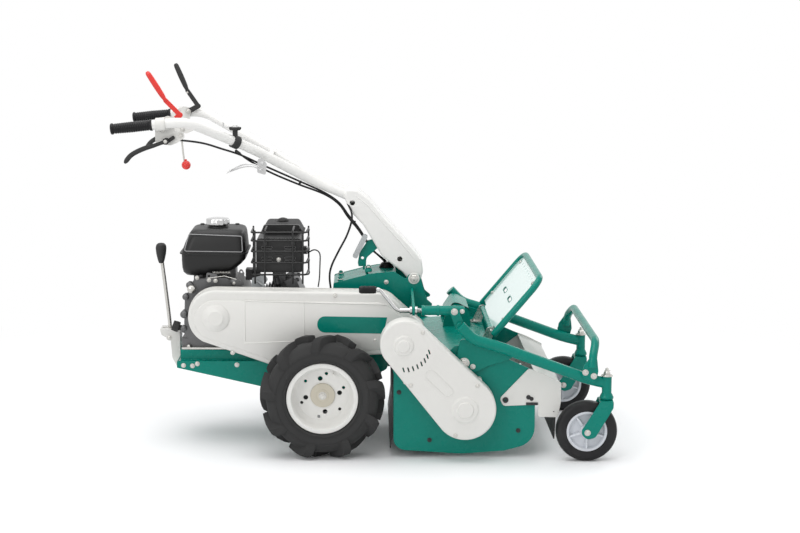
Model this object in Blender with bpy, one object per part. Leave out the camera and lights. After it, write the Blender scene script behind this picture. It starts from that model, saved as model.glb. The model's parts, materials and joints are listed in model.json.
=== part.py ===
"""Self-propelled hammer knife mower, modelled at its real size in metres.

+X is forward, +Z is up and the machine's right side is -Y. Sizes and places
are given from a datum on the ground, under the drive axle and on the machine's
middle plane. The last step moves the whole machine, so that the bottom centre
of its box stands on the world's origin.
"""

import bpy
import bmesh
from math import atan2, cos, degrees, hypot, pi, radians, sin, sqrt, tan
from mathutils import Matrix, Vector

# Clearances
FIT = 0.0003            # gap between pieces that touch
RUNNING = 0.0005        # gap round a turning shaft

# Drive wheels
TYRE_RADIUS = 0.205
TYRE_WIDTH = 0.100
WHEEL_TRACK = 0.570     # between the middle planes of the drive wheels
RIM_RADIUS = 0.117
RIM_BARREL = 0.103
RIM_WALL = 0.004
RIM_WIDTH = 0.078
DISC_INSET = 0.052      # rim disc, behind the outer lip
HUB_RADIUS = 0.040
AXLE_RADIUS = 0.0125
LUG_HEIGHT = 0.021
LUGS_PER_SIDE = 9
LUG_SWEEP = 16.0        # degrees that a lug leans over its length

# Castors
CASTOR_RADIUS = 0.100
CASTOR_WIDTH = 0.044
CASTOR_RIM = 0.066
CASTOR_TRACK = 0.640
CASTOR_X = 0.923        # swivel axis
CASTOR_TRAIL = 0.064    # swivel axis to wheel axle
CASTOR_AXLE = 0.006
FORK_PLATE = 0.006
STEM_RADIUS = 0.011
BARREL_RADIUS = 0.0155
BARREL_LOW = 0.226
BARREL_HIGH = 0.281

# Frame that carries the engine
RAIL_Y = 0.140
RAIL_THICKNESS = 0.006
RAIL_TOP = 0.288            # behind the gear case
FRAME_REAR = -0.4925
FRAME_TOP = 0.322
BED_THICKNESS = 0.005
BED_HALF = 0.114

# Engine
CRANK_X = -0.355
CRANK_Z = 0.447
ENGINE_NEAR = -0.100    # crankcase face on the belt side
ENGINE_FAR = 0.080
CRANKSHAFT_RADIUS = 0.0125
TANK_NEAR = -0.105
TANK_FAR = 0.105
TANK_WALL = 0.003
FILLER_RADIUS = 0.024
CAP_X = -0.362
CAP_RADIUS = 0.040
MUFFLER_NEAR = -0.100
MUFFLER_FAR = 0.030
MUFFLER_WALL = 0.0025
STARTER_WALL = 0.003
GUARD_WIRE = 0.0032

# Long belt cover and the belt drive behind it
COVER_FACE = -0.200
COVER_BACK = -0.1403
COVER_WALL = 0.003
PULLEY_RADIUS = 0.055
PULLEY_WIDTH = 0.022
PULLEY_Y = -0.168
BELT_DEPTH = 0.009
JACK_X = 0.267
JACK_Z = 0.393
JACK_RADIUS = 0.0125

# Mowing deck
DECK_SIDE = 0.290       # inner face of each side plate
SIDE_PLATE = 0.004
DECK_SHEET = 0.003
ROTOR_X = 0.462
ROTOR_Z = 0.180
ROTOR_TUBE = 0.045
KNIFE_TIP = 0.142
KNIFE_WIDTH = 0.026
KNIFE_ROWS = 4
KNIVES_PER_ROW = 5
SHAFT_RADIUS = 0.0140
DECK_COVER_BACK = -0.3135
DECK_COVER_FACE = -0.3700
DECK_COVER_TOP_R = 0.080
DECK_COVER_LOW_R = 0.100
ROTOR_PULLEY_Y = -0.336

# Arms that carry the castors
ARM_Y = 0.320
ARM_RADIUS = 0.018
ARM_PIVOT_X = 0.461
ARM_PIVOT_Z = 0.320
ARM_PLATE = 0.010
PIVOT_BOLT = 0.008
BUMPER_RADIUS = 0.0135
BUMPER_Y = 0.285
BUMPER_TOP_X = 0.890
BUMPER_TOP_Z = 0.388

# Height adjuster
ADJUSTER_Y = -0.2865
CRANK_REACH = 0.068     # offset of the crank's grip from its screw
ADJUSTER_Z = 0.490
ADJUSTER_REAR = 0.322
ADJUSTER_FRONT = 0.462
ADJUSTER_RADIUS = 0.0155
SCREW_RADIUS = 0.0080
CRANK_PLATE_X = 0.292   # rear face of the plate that carries the crank's screw
CRANK_PLATE = 0.008
CRANK_COLLAR = 0.008
LINK_PIN_X = 0.428
LINK_PIN = 0.006

# Lid over the rotor
LID_X = 0.556
LID_Z = 0.404
LID_LENGTH = 0.240
LID_TILT = 50.0         # degrees above level, as it stands open
LID_LOW_HALF = 0.268
LID_TOP_HALF = 0.268
LID_SHEET = 0.003
LID_TUBE = 0.0110

# Handle
COLUMN_X = 0.303        # pivot of the handle column
COLUMN_Z = 0.560
COLUMN_HALF = 0.062
COLUMN_WALL = 0.004
COLUMN_BOLT = 0.008
BASE_HALF = 0.088
BAR_RADIUS = 0.0165
GRIP_Y = 0.249
GRIP_RADIUS = 0.0175
GRIP_REAR = -0.680
GRIP_FRONT = -0.546
GRIP_Z = 1.0835
GRIP_RISE = 0.0955      # rise of the grip for each metre forward
MOUNT_NEAR = 0.0190      # faces of a lever mount, inboard of the grip's axis
MOUNT_FAR = 0.0240
LEVER_INSET = 0.0300     # tall levers, inboard of the grip's axis
DRIVE_LEVER_TIP = (-0.565, 1.260)    # where the straight part of the lever ends
CUTTER_LEVER_TIP = (-0.525, 1.268)
ROD_Y = -0.2040
ROD_PIVOT = (-0.458, 1.054)

# Shift lever
SHIFT_X = -0.530
SHIFT_Z = 0.345
SHIFT_RADIUS = 0.0085
SHIFT_TOP_X = -0.557
SHIFT_TOP_Z = 0.650

# Segments of round pieces
WHEEL_STEPS = 20
ROUND_STEPS = 10
SMALL_STEPS = 8
ARC_STEP = 50.0         # degrees of a rounded corner for each straight piece

THROTTLE_ALONG = Vector((0.205, 0.129, -0.1014)).normalized()
THROTTLE_PLACE = Vector((-0.231, -0.120, 0.999)) - THROTTLE_ALONG * 0.072

RIGHT, LEFT = -1, 1
SIDE_NAME = {RIGHT: "right", LEFT: "left"}


def paint(name, colour, roughness, metallic=0.0):
    """A material from its colour, roughness and metallic value."""
    material = bpy.data.materials.new(name)
    material.use_nodes = True
    shader = material.node_tree.nodes["Principled BSDF"]
    shader.inputs["Base Color"].default_value = (*colour, 1.0)
    shader.inputs["Roughness"].default_value = roughness
    shader.inputs["Metallic"].default_value = metallic
    material.diffuse_color = (*colour, 1.0)
    return material


def clear_scene():
    """Remove what the file opens with."""
    for thing in list(bpy.data.objects):
        bpy.data.objects.remove(thing)


def finished(bm):
    """The bmesh as a mesh, with its faces turned outwards."""
    bmesh.ops.recalc_face_normals(bm, faces=bm.faces)
    if bm.calc_volume(signed=True) < 0:
        bmesh.ops.reverse_faces(bm, faces=bm.faces)
    mesh = bpy.data.meshes.new("shape")
    bm.to_mesh(mesh)
    bm.free()
    return mesh


def axes_of(axis):
    """The two directions of an outline and the direction that it is extruded in."""
    x, y, z = Vector((1, 0, 0)), Vector((0, 1, 0)), Vector((0, 0, 1))
    return {"X": (y, z, x), "Y": (x, z, y), "Z": (x, y, z)}[axis]


def rounded(points, radius):
    """An outline whose corners are arcs. The radius is one value, or one for each corner."""
    count = len(points)
    radii = [radius] * count if isinstance(radius, (int, float)) else radius
    outline = []
    for index, corner in enumerate(points):
        here = Vector(corner)
        back = Vector(points[index - 1]) - here
        ahead = Vector(points[(index + 1) % count]) - here
        half = back.angle(ahead) / 2
        reach = min(radii[index] / tan(half), 0.49 * back.length, 0.49 * ahead.length)
        if reach < 1e-5 or half > radians(89):
            outline.append(tuple(here))
            continue
        start = here + back.normalized() * reach
        end = here + ahead.normalized() * reach
        middle = here + (back.normalized() + ahead.normalized()).normalized() * (reach / cos(half))
        turn = (start - middle).angle_signed(end - middle)
        steps = max(1, round(degrees(abs(turn)) / ARC_STEP)) if radii[index] > 0.011 else 1
        for step in range(steps + 1):
            arm = start - middle
            angle = turn * step / steps
            outline.append((middle.x + arm.x * cos(angle) + arm.y * sin(angle),
                            middle.y - arm.x * sin(angle) + arm.y * cos(angle)))
    return outline


def circle(centre, radius, steps=SMALL_STEPS, start=0.0, sweep=360.0):
    """Points on a circle, or on an arc when the sweep is under a full turn."""
    count = steps if sweep == 360.0 else steps + 1
    return [(centre[0] + radius * cos(radians(start + sweep * step / steps)),
             centre[1] + radius * sin(radians(start + sweep * step / steps)))
            for step in range(count)]


def bore(radius, gap=FIT, steps=SMALL_STEPS):
    """The radius of a bore whose flats stay clear of a shaft."""
    return (radius + gap) / cos(pi / steps)


def slot(start, end, radius, steps=4):
    """The outline of a slot with round ends."""
    heading = degrees(atan2(end[1] - start[1], end[0] - start[0]))
    return (circle(end, radius, steps, heading - 90, 180)
            + circle(start, radius, steps, heading + 90, 180))


def belt_outline(first, first_radius, second, second_radius, steps=8):
    """The outline round two circles: two arcs joined by their outer tangents."""
    gap = hypot(second[0] - first[0], second[1] - first[1])
    heading = degrees(atan2(second[1] - first[1], second[0] - first[0]))
    lean = degrees(atan2(first_radius - second_radius,
                         sqrt(gap ** 2 - (first_radius - second_radius) ** 2)))
    open_side = 90 - lean
    return (circle(second, second_radius, steps, heading - open_side, 2 * open_side)
            + circle(first, first_radius, steps, heading + open_side, 360 - 2 * open_side))


def plate(outline, low, high, axis="Y", holes=()):
    """A flat plate from its outline, with round or shaped holes through it."""
    curve = bpy.data.curves.new("plate", "CURVE")
    curve.dimensions = "2D"
    curve.fill_mode = "BOTH"
    curve.extrude = (high - low) / 2
    for loop in (outline, *holes):
        spline = curve.splines.new("POLY")
        spline.points.add(len(loop) - 1)
        for point, place in zip(spline.points, loop):
            point.co = (*place, 0.0, 1.0)
        spline.use_cyclic_u = True
    guide = bpy.data.objects.new("plate", curve)
    bpy.context.scene.collection.objects.link(guide)
    graph = bpy.context.evaluated_depsgraph_get()
    flat = bpy.data.meshes.new_from_object(guide.evaluated_get(graph))
    bpy.data.objects.remove(guide)
    along, across, out = axes_of(axis)
    middle = (high + low) / 2
    bm = bmesh.new()
    bm.from_mesh(flat)
    bmesh.ops.remove_doubles(bm, verts=bm.verts, dist=1e-6)
    for vert in bm.verts:
        vert.co = along * vert.co.x + across * vert.co.y + out * (vert.co.z + middle)
    return finished(bm)


def block(low, high):
    """A box between two corners."""
    outline = [(low[0], low[1]), (high[0], low[1]), (high[0], high[1]), (low[0], high[1])]
    return plate(outline, low[2], high[2], "Z")


def turned(profile, centre, axis="Y", steps=ROUND_STEPS, ring=False):
    """A turned solid. The profile's points are (radius, place along the axis)."""
    along, across, out = axes_of(axis)
    centre = Vector(centre)
    bm = bmesh.new()
    rows = []
    for radius, place in profile:
        if radius < 1e-6:
            rows.append([bm.verts.new(centre + out * place)])
            continue
        rows.append([bm.verts.new(centre + out * place
                                  + (along * cos(2 * pi * step / steps)
                                     + across * sin(2 * pi * step / steps)) * radius)
                     for step in range(steps)])
    pairs = list(zip(rows, rows[1:]))
    if ring:
        pairs.append((rows[-1], rows[0]))
    for first, second in pairs:
        for step in range(steps):
            after = (step + 1) % steps
            corners = [first[step % len(first)], first[after % len(first)],
                       second[after % len(second)], second[step % len(second)]]
            face = list(dict.fromkeys(corners))
            if len(face) > 2:
                bm.faces.new(face)
    return finished(bm)


def rod(start, end, radius, steps=SMALL_STEPS):
    """A round bar between two points."""
    return tube([start, end], radius, steps)


def smooth_path(points, bend, steps=2):
    """A path through space whose corners are rounded by curves of about the bend's length."""
    path = [Vector(points[0])]
    for before, corner, after in zip(points, points[1:], points[2:]):
        before, corner, after = Vector(before), Vector(corner), Vector(after)
        back, ahead = before - corner, after - corner
        reach = min(bend, 0.49 * back.length, 0.49 * ahead.length)
        start = corner + back.normalized() * reach
        end = corner + ahead.normalized() * reach
        for step in range(steps + 1):
            share = step / steps
            path.append(start.lerp(corner, share).lerp(corner.lerp(end, share), share))
    path.append(Vector(points[-1]))
    return path


def spline_path(points, steps=2):
    """A smooth curve through all the points."""
    ends = [Vector(point) for point in points]
    ends = [2 * ends[0] - ends[1], *ends, 2 * ends[-1] - ends[-2]]
    path = []
    for a, b, c, d in zip(ends, ends[1:], ends[2:], ends[3:]):
        for step in range(steps):
            t = step / steps
            path.append(0.5 * (2 * b + (c - a) * t + (2 * a - 5 * b + 4 * c - d) * t ** 2
                               + (3 * b - a - 3 * c + d) * t ** 3))
    path.append(ends[-2])
    return path


def tube(path, radius, steps=SMALL_STEPS):
    """A round bar along a path. The radius is one value, or one for each point."""
    path = [Vector(point) for point in path]
    radii = [radius] * len(path) if isinstance(radius, (int, float)) else radius
    bm = bmesh.new()
    heading = (path[1] - path[0]).normalized()
    side = heading.orthogonal().normalized()
    rings = []
    for index, place in enumerate(path):
        back = path[max(index - 1, 0)]
        ahead = path[min(index + 1, len(path) - 1)]
        new_heading = (ahead - back).normalized()
        side = heading.rotation_difference(new_heading) @ side
        heading = new_heading
        up = heading.cross(side)
        rings.append([bm.verts.new(place + radii[index] * (side * cos(2 * pi * step / steps)
                                                           + up * sin(2 * pi * step / steps)))
                      for step in range(steps)])
    for first, second in zip(rings, rings[1:]):
        for step in range(steps):
            after = (step + 1) % steps
            bm.faces.new([first[step], first[after], second[after], second[step]])
    bm.faces.new(rings[0])
    bm.faces.new(rings[-1])
    return finished(bm)


def loft(sections):
    """A closed solid through sections that have the same number of points."""
    bm = bmesh.new()
    rows = [[bm.verts.new(point) for point in section] for section in sections]
    count = len(rows[0])
    for first, second in zip(rows, rows[1:]):
        for step in range(count):
            after = (step + 1) % count
            bm.faces.new([first[step], first[after], second[after], second[step]])
    bm.faces.new(rows[0])
    bm.faces.new(rows[-1])
    return finished(bm)


def sheet(line, thickness, low, high):
    """A bent sheet: its side view is a line in X and Z, and it spans from low to high in Y."""
    upper, lower = [], []
    for index, point in enumerate(line):
        back = Vector(line[max(index - 1, 0)])
        ahead = Vector(line[min(index + 1, len(line) - 1)])
        run = (ahead - back).normalized()
        out = Vector((-run.y, run.x)) * (thickness / 2)
        upper.append(tuple(Vector(point) + out))
        lower.append(tuple(Vector(point) - out))
    return plate(upper + lower[::-1], low, high)


def combine(first, others, operation):
    """The first mesh with the others joined to it or cut from it."""
    base = bpy.data.objects.new("base", first)
    helpers = bpy.data.collections.new("helpers")
    scene = bpy.context.scene.collection
    scene.objects.link(base)
    scene.children.link(helpers)
    for mesh in others:
        helpers.objects.link(bpy.data.objects.new("helper", mesh))
    boolean = base.modifiers.new("Boolean", "BOOLEAN")
    boolean.operand_type = "COLLECTION"
    boolean.collection = helpers
    boolean.operation = operation
    boolean.solver = "EXACT"
    graph = bpy.context.evaluated_depsgraph_get()
    result = bpy.data.meshes.new_from_object(base.evaluated_get(graph))
    for thing in (base, *helpers.objects):
        bpy.data.objects.remove(thing)
    bpy.data.collections.remove(helpers)
    return result


def fuse(first, *others):
    """One mesh from shapes that overlap."""
    return combine(first, others, "UNION")


def cut(first, *others):
    """The first mesh less the others."""
    return combine(first, others, "DIFFERENCE")


def moved(mesh, offset):
    """The same mesh, moved."""
    mesh.transform(Matrix.Translation(offset))
    return mesh


def turned_about(mesh, centre, axis, angle):
    """The mesh turned by an angle in degrees about an axis through the centre."""
    centre = Vector(centre)
    turn = Matrix.Rotation(radians(angle), 4, axis)
    mesh.transform(Matrix.Translation(centre) @ turn @ Matrix.Translation(-centre))
    return mesh


def joint(name, place, parent=None):
    """An empty that stands on a joint's axis and carries the pieces that move with it."""
    empty = bpy.data.objects.new(name, None)
    bpy.context.scene.collection.objects.link(empty)
    empty.empty_display_size = 0.03
    empty.parent = parent
    held = Vector(parent["place"]) if parent else Vector()
    empty["place"] = tuple(place)
    empty.location = Vector(place) - held
    return empty


def node(name, mesh, material, parent, smooth=30.0):
    """A named piece that hangs on a joint's empty and shares its origin."""
    mesh.name = name
    mesh.transform(Matrix.Translation(-Vector(parent["place"])))
    mesh.materials.clear()
    mesh.materials.append(material)
    mesh.shade_smooth()
    mesh.set_sharp_from_angle(angle=radians(smooth))
    thing = bpy.data.objects.new(name, mesh)
    bpy.context.scene.collection.objects.link(thing)
    thing.parent = parent
    return thing


def hex_head(centre, radius, height, axis="Y"):
    """A hexagon bolt head that stands out along the axis."""
    along, across, out = axes_of(axis)
    flat = centre[0] if axis != "X" else centre[1]
    rise = centre[2] if axis != "Z" else centre[1]
    start = Vector(centre).dot(out)
    low, high = sorted((start, start + height))
    return plate(circle((flat, rise), radius, 6), low, high, axis)


def lug(start, side, carcass):
    """One bar of the tyre's tread, from the middle over the shoulder to the side wall."""
    half = TYRE_WIDTH / 2
    stations = (
        (-0.05 * half, 0.0, carcass - 0.012, TYRE_RADIUS, 4.6),
        (0.72 * half, 0.7, carcass - 0.016, TYRE_RADIUS - 0.001, 4.4),
        (1.00 * half, 1.0, carcass - 0.045, TYRE_RADIUS - 0.018, 5.4),
    )
    sections = []
    for across, share, inner, outer, half_width in stations:
        middle = start + LUG_SWEEP * share
        corners = ((inner, -half_width), (inner, half_width),
                   (outer, 0.72 * half_width), (outer, -0.72 * half_width))
        sections.append([(radius * cos(radians(middle + lean)), side * across,
                          radius * sin(radians(middle + lean))) for radius, lean in corners])
    return loft(sections)


def drive_tyre(side):
    """The ribbed farm tyre: a round carcass with bars that lean both ways."""
    half = TYRE_WIDTH / 2
    carcass = TYRE_RADIUS - LUG_HEIGHT
    inner = RIM_BARREL + FIT
    bead = RIM_RADIUS + 0.002
    inner_half = RIM_WIDTH / 2 - RIM_WALL - FIT
    profile = [(inner, -inner_half), (bead, -inner_half), (bead + 0.004, -0.92 * half),
               (0.84 * carcass, -half * 0.98), (carcass, -0.60 * half), (carcass, 0.60 * half),
               (0.84 * carcass, half * 0.98), (bead + 0.004, 0.92 * half), (bead, inner_half),
               (inner, inner_half)]
    body = turned(profile, (0, 0, 0), "Y", WHEEL_STEPS, ring=True)
    pitch = 360 / LUGS_PER_SIDE
    bars = [lug(pitch * (index + 0.5 * (half_turn > 0)), half_turn, carcass)
            for index in range(LUGS_PER_SIDE) for half_turn in (-1, 1)]
    tyre = fuse(body, *bars)
    return moved(tyre, (0, side * WHEEL_TRACK / 2, TYRE_RADIUS))


def drive_rim(side):
    """The pressed rim: lips, a barrel for the tyre and a dished disc with round holes."""
    half = RIM_WIDTH / 2
    disc = half - DISC_INSET
    inner = RIM_BARREL - RIM_WALL
    pilot = HUB_RADIUS * 0.45
    profile = [(RIM_RADIUS, half - RIM_WALL), (RIM_RADIUS, half), (RIM_BARREL, half),
               (inner, disc + 0.014), (0.80 * inner, disc),
               (pilot, disc), (pilot, disc - RIM_WALL), (0.79 * inner, disc - RIM_WALL),
               (inner, 0.006 - half), (RIM_BARREL, -half), (RIM_RADIUS, -half),
               (RIM_RADIUS, RIM_WALL - half), (RIM_BARREL, RIM_WALL - half),
               (RIM_BARREL, half - RIM_WALL)]
    body = turned([(radius, side * place) for radius, place in profile], (0, 0, 0),
                  "Y", WHEEL_STEPS, ring=True)
    low, high = sorted((side * (disc - 0.02), side * (disc + 0.02)))
    holes = [plate(circle((0.056 * cos(radians(8 + 90 * index)), 0.056 * sin(radians(8 + 90 * index))),
                          0.008, 6), low, high) for index in range(4)]
    holes += [plate(circle((0.073 * cos(radians(20 + 60 * index)), 0.073 * sin(radians(20 + 60 * index))),
                           0.0058, 6), low, high) for index in range(6)]
    return moved(cut(body, *holes), (0, side * WHEEL_TRACK / 2, TYRE_RADIUS))


def drive_axle(side):
    """A half axle with the hub flange that holds the rim's disc."""
    disc = RIM_WIDTH / 2 - DISC_INSET
    face = WHEEL_TRACK / 2 + disc
    pilot = HUB_RADIUS * 0.45 - FIT
    profile = [(0, face + 0.020), (0.0085, face + 0.020), (0.0105, face + 0.018), (0.0105, face + 0.010),
               (pilot, face + 0.009), (HUB_RADIUS, face + 0.006), (HUB_RADIUS, face + FIT),
               (pilot, face + FIT), (pilot, face - RIM_WALL - 0.014), (AXLE_RADIUS, face - RIM_WALL - 0.016),
               (AXLE_RADIUS, 0.075 + RUNNING), (0, 0.075 + RUNNING)]
    return turned([(radius, side * place) for radius, place in profile], (0, 0, TYRE_RADIUS), "Y")


def build_drive_wheel(side, paints, frame):
    """Tyre, rim and half axle of one side."""
    name = SIDE_NAME[side]
    axis = joint(f"wheel_{name}", (0, side * WHEEL_TRACK / 2, TYRE_RADIUS), frame)
    node(f"drive_tyre_{name}", drive_tyre(side), paints["rubber"], axis, 25)
    node(f"drive_rim_{name}", drive_rim(side), paints["white"], axis, 40)
    node(f"drive_axle_{name}", drive_axle(side), paints["steel"], axis)


def main_frame():
    """Two side rails with cross members, and the raised engine bed on them, folded like a hat."""
    rail = rounded([(FRAME_REAR, 0.265), (-0.182, 0.195), (0.080, 0.195), (0.215, 0.262), (0.215, 0.330),
                    (-0.060, 0.330), (-0.102, RAIL_TOP), (FRAME_REAR, RAIL_TOP)],
                   [0.004, 0.03, 0.03, 0.02, 0.01, 0.012, 0.012, 0.004])
    rail_outer = RAIL_Y
    rail_inner = RAIL_Y - RAIL_THICKNESS
    right = plate(rail, -rail_outer, -rail_inner)
    left = plate(rail, rail_inner, rail_outer)
    bed_rear, bed_front = FRAME_REAR + 0.010, -0.190
    bed = block((bed_rear, -BED_HALF, FRAME_TOP - BED_THICKNESS - 0.001), (bed_front, BED_HALF, FRAME_TOP - 0.001))
    folds = []
    for side in (RIGHT, LEFT):
        low, high = sorted((side * (BED_HALF - BED_THICKNESS), side * (BED_HALF - 0.0005)))
        folds.append(block((bed_rear + 0.0005, low, RAIL_TOP - BED_THICKNESS),
                           (bed_front - 0.0005, high, FRAME_TOP - 0.003)))
        low, high = sorted((side * (BED_HALF - 0.003), side * (rail_outer - 0.002)))
        folds.append(block((bed_rear + 0.001, low, RAIL_TOP - BED_THICKNESS - 0.0005),
                           (bed_front - 0.001, high, RAIL_TOP - 0.0005)))
    rear = block((FRAME_REAR + 0.0005, -rail_outer + 0.002, 0.268),
                 (FRAME_REAR + 0.0055, rail_outer - 0.002, RAIL_TOP - 0.001))
    middle = block((-0.150, -rail_inner - 0.002, 0.250), (-0.110, rail_inner + 0.002, RAIL_TOP - 0.002))
    front = block((0.200, -rail_inner - 0.002, 0.270), (0.2148, rail_inner + 0.002, 0.3295))
    bolts = [hex_head((x, -rail_outer + 0.001, z), 0.0075, -0.006)
             for x, z in ((-0.470, 0.2735), (-0.440, 0.2720), (-0.4235, 0.2790))]
    way = rod((0, -0.2, TYRE_RADIUS), (0, 0.2, TYRE_RADIUS), 0.024)
    return cut(fuse(right, left, bed, *folds, rear, middle, front, *bolts), way)


def transmission_case():
    """The gear case between the rails, with the tube that carries the half axles."""
    half = RAIL_Y - RAIL_THICKNESS - 0.004
    body = plate(rounded([(-0.095, 0.150), (0.070, 0.140), (0.110, 0.190), (0.150, 0.300), (0.150, 0.400),
                          (0.060, 0.440), (-0.040, 0.420), (-0.095, 0.330)], 0.025), -0.062, 0.062)
    flange = plate(rounded([(-0.103, 0.143), (0.076, 0.132), (0.118, 0.188), (0.158, 0.300),
                            (0.158, 0.408), (0.060, 0.449), (-0.044, 0.428), (-0.103, 0.335)],
                           0.025), -0.007, 0.007)
    axle_tube = turned([(0, half), (0.027, half), (0.031, 0.080), (0.031, -0.080), (0.027, -half),
                        (0, -half)],
                       (0, 0, TYRE_RADIUS), "Y", 10)
    feet = [block((x - 0.012, -half - 0.004 + FIT, 0.302), (x + 0.012, half + 0.004 - FIT, 0.318))
            for x in (-0.060, 0.110)]
    way = rod((0, -0.2, TYRE_RADIUS), (0, 0.2, TYRE_RADIUS), bore(AXLE_RADIUS, RUNNING))
    return cut(fuse(body, flange, axle_tube, *feet), way)


def build_chassis(paints):
    """The frame, the gear case and the empty that stands for the whole machine."""
    frame = joint("mower", (0, 0, 0))
    node("main_frame", main_frame(), paints["green"], frame)
    node("transmission_case", transmission_case(), paints["cast"], frame)
    return frame


def engine_block():
    """Crankcase, leaning cylinder with its fins, and the oil filler at the back."""
    case = plate(rounded([(-0.470, 0.352), (-0.262, 0.352), (-0.225, 0.430), (-0.262, 0.530),
                          (-0.330, 0.565), (-0.440, 0.560), (-0.468, 0.470)], 0.03),
                 ENGINE_NEAR, ENGINE_FAR)
    foot = block((-0.480, -0.095, FRAME_TOP - 0.001 + FIT), (-0.235, 0.078, 0.356))
    cover = turned([(0, ENGINE_NEAR - 0.024), (0.030, ENGINE_NEAR - 0.024), (0.036, ENGINE_NEAR - 0.012),
                    (0.088, ENGINE_NEAR - 0.008), (0.094, ENGINE_NEAR + 0.004), (0, ENGINE_NEAR + 0.004)],
                   (CRANK_X, 0, CRANK_Z), "Y", 12)
    lean = 25.0
    centre = Vector((-0.205, 0, 0.450))
    barrel = plate(rounded([(-0.330, 0.405), (-0.085, 0.405), (-0.085, 0.495), (-0.330, 0.495)], 0.01),
                   -0.050, 0.050)
    fins = [plate(rounded([(x, 0.392), (x + 0.006, 0.392), (x + 0.006, 0.508), (x, 0.508)], 0.002),
                  -0.072, 0.066) for x in (-0.232 + 0.024 * index for index in range(6))]
    head = plate(rounded([(-0.100, 0.390), (-0.066, 0.390), (-0.060, 0.405), (-0.060, 0.495),
                          (-0.066, 0.510), (-0.100, 0.510)], 0.006), -0.078, 0.070)
    leaning = [turned_about(mesh, centre, "Y", -lean) for mesh in (barrel, *fins, head)]
    neck = rod((-0.450, -0.060, 0.372), (-0.484, -0.060, 0.384), 0.013)
    dipstick = tube([(-0.480, -0.060, 0.3828), (-0.492, -0.060, 0.3870), (-0.494, -0.060, 0.3877),
                     (-0.514, -0.060, 0.3948)], [0.0095, 0.0095, 0.0175, 0.0170])
    lug_foot = block((-0.260, -0.090, 0.350), (-0.240, 0.080, 0.385))
    tank_post = block((-0.440, -0.060, 0.540), (-0.410, 0.060, 0.5697))
    front_post = plate([(-0.330, 0.540), (-0.300, 0.500), (-0.300, 0.6032), (-0.330, 0.5840)], -0.040, 0.040)
    silencer_post = block((-0.170, -0.060, 0.470), (-0.130, -0.020, 0.583 - FIT))
    filter_post = block((-0.180, 0.050, 0.440), (-0.140, 0.090, 0.590 - FIT))
    return fuse(case, foot, cover, *leaning, neck, dipstick, lug_foot, tank_post, front_post,
                silencer_post, filter_post)


def tank_shape(wall):
    """The tank's body, drawn in by a wall's thickness on every side."""
    seam = 0.645
    low, high = 0.570 + wall, 0.724 - wall

    def section(rear, front, inset, z):
        near, far = TANK_NEAR + inset + wall, TANK_FAR - inset - wall
        corners = [(rear + wall, near), (front - wall, near), (front - wall, far), (rear + wall, far)]
        return [(x, y, min(max(z, low), high)) for x, y in rounded(corners, 0.03)]
    upper = loft([section(-0.478, -0.262, 0.002, seam), section(-0.470, -0.264, 0.004, 0.665),
                  section(-0.456, -0.268, 0.010, 0.700), section(-0.440, -0.280, 0.026, 0.718),
                  section(-0.424, -0.296, 0.044, high)])
    lower = loft([section(-0.470, -0.300, 0.022, low), section(-0.477, -0.270, 0.008, 0.590),
                  section(-0.478, -0.262, 0.002, 0.620), section(-0.478, -0.262, 0.002, seam + 0.002)])
    corners = [(-0.400, 0.540), (-0.230, 0.540), (-0.230, 0.628), (-0.262, 0.628)]
    slope = plate([(x - 0.54 * wall, z + 0.84 * wall) for x, z in corners], TANK_NEAR - 0.02, TANK_FAR + 0.02)
    return cut(fuse(upper, lower), slope)


def fuel_tank():
    """The hollow tank: a drawn lower half, a rolled seam and a domed upper half with the filler neck."""
    seam_z = 0.643
    rim = plate(rounded([(-0.484, TANK_NEAR - 0.004), (-0.256, TANK_NEAR - 0.004),
                         (-0.256, TANK_FAR + 0.004), (-0.484, TANK_FAR + 0.004)], 0.034),
                seam_z, seam_z + 0.005, "Z")
    neck = turned([(0, 0.715), (0.036, 0.715), (0.034, 0.7285), (0.0285, 0.7285), (0.0285, 0.732),
                   (0, 0.732)],
                  (CAP_X, 0, 0), "Z")
    filler = rod((CAP_X, 0, 0.700), (CAP_X, 0, 0.740), FILLER_RADIUS, 10)
    return cut(fuse(tank_shape(0.0), rim, neck), tank_shape(TANK_WALL), filler)


def fuel_cap():
    """The round cap with its fluted edge."""
    flutes = 12
    outline = []
    for index in range(flutes * 2):
        radius = CAP_RADIUS if index % 2 == 0 else CAP_RADIUS * 0.93
        angle = pi * index / flutes
        outline.append((CAP_X + radius * cos(angle), radius * sin(angle)))
    skirt = plate(outline, 0.7325, 0.748, "Z")
    dome = turned([(0, 0.7450), (CAP_RADIUS * 0.92, 0.7450), (CAP_RADIUS * 0.90, 0.7510),
                   (CAP_RADIUS * 0.5, 0.7535), (0, 0.7540)], (CAP_X, 0, 0), "Z", flutes * 2)
    return fuse(skirt, dome)


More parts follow.
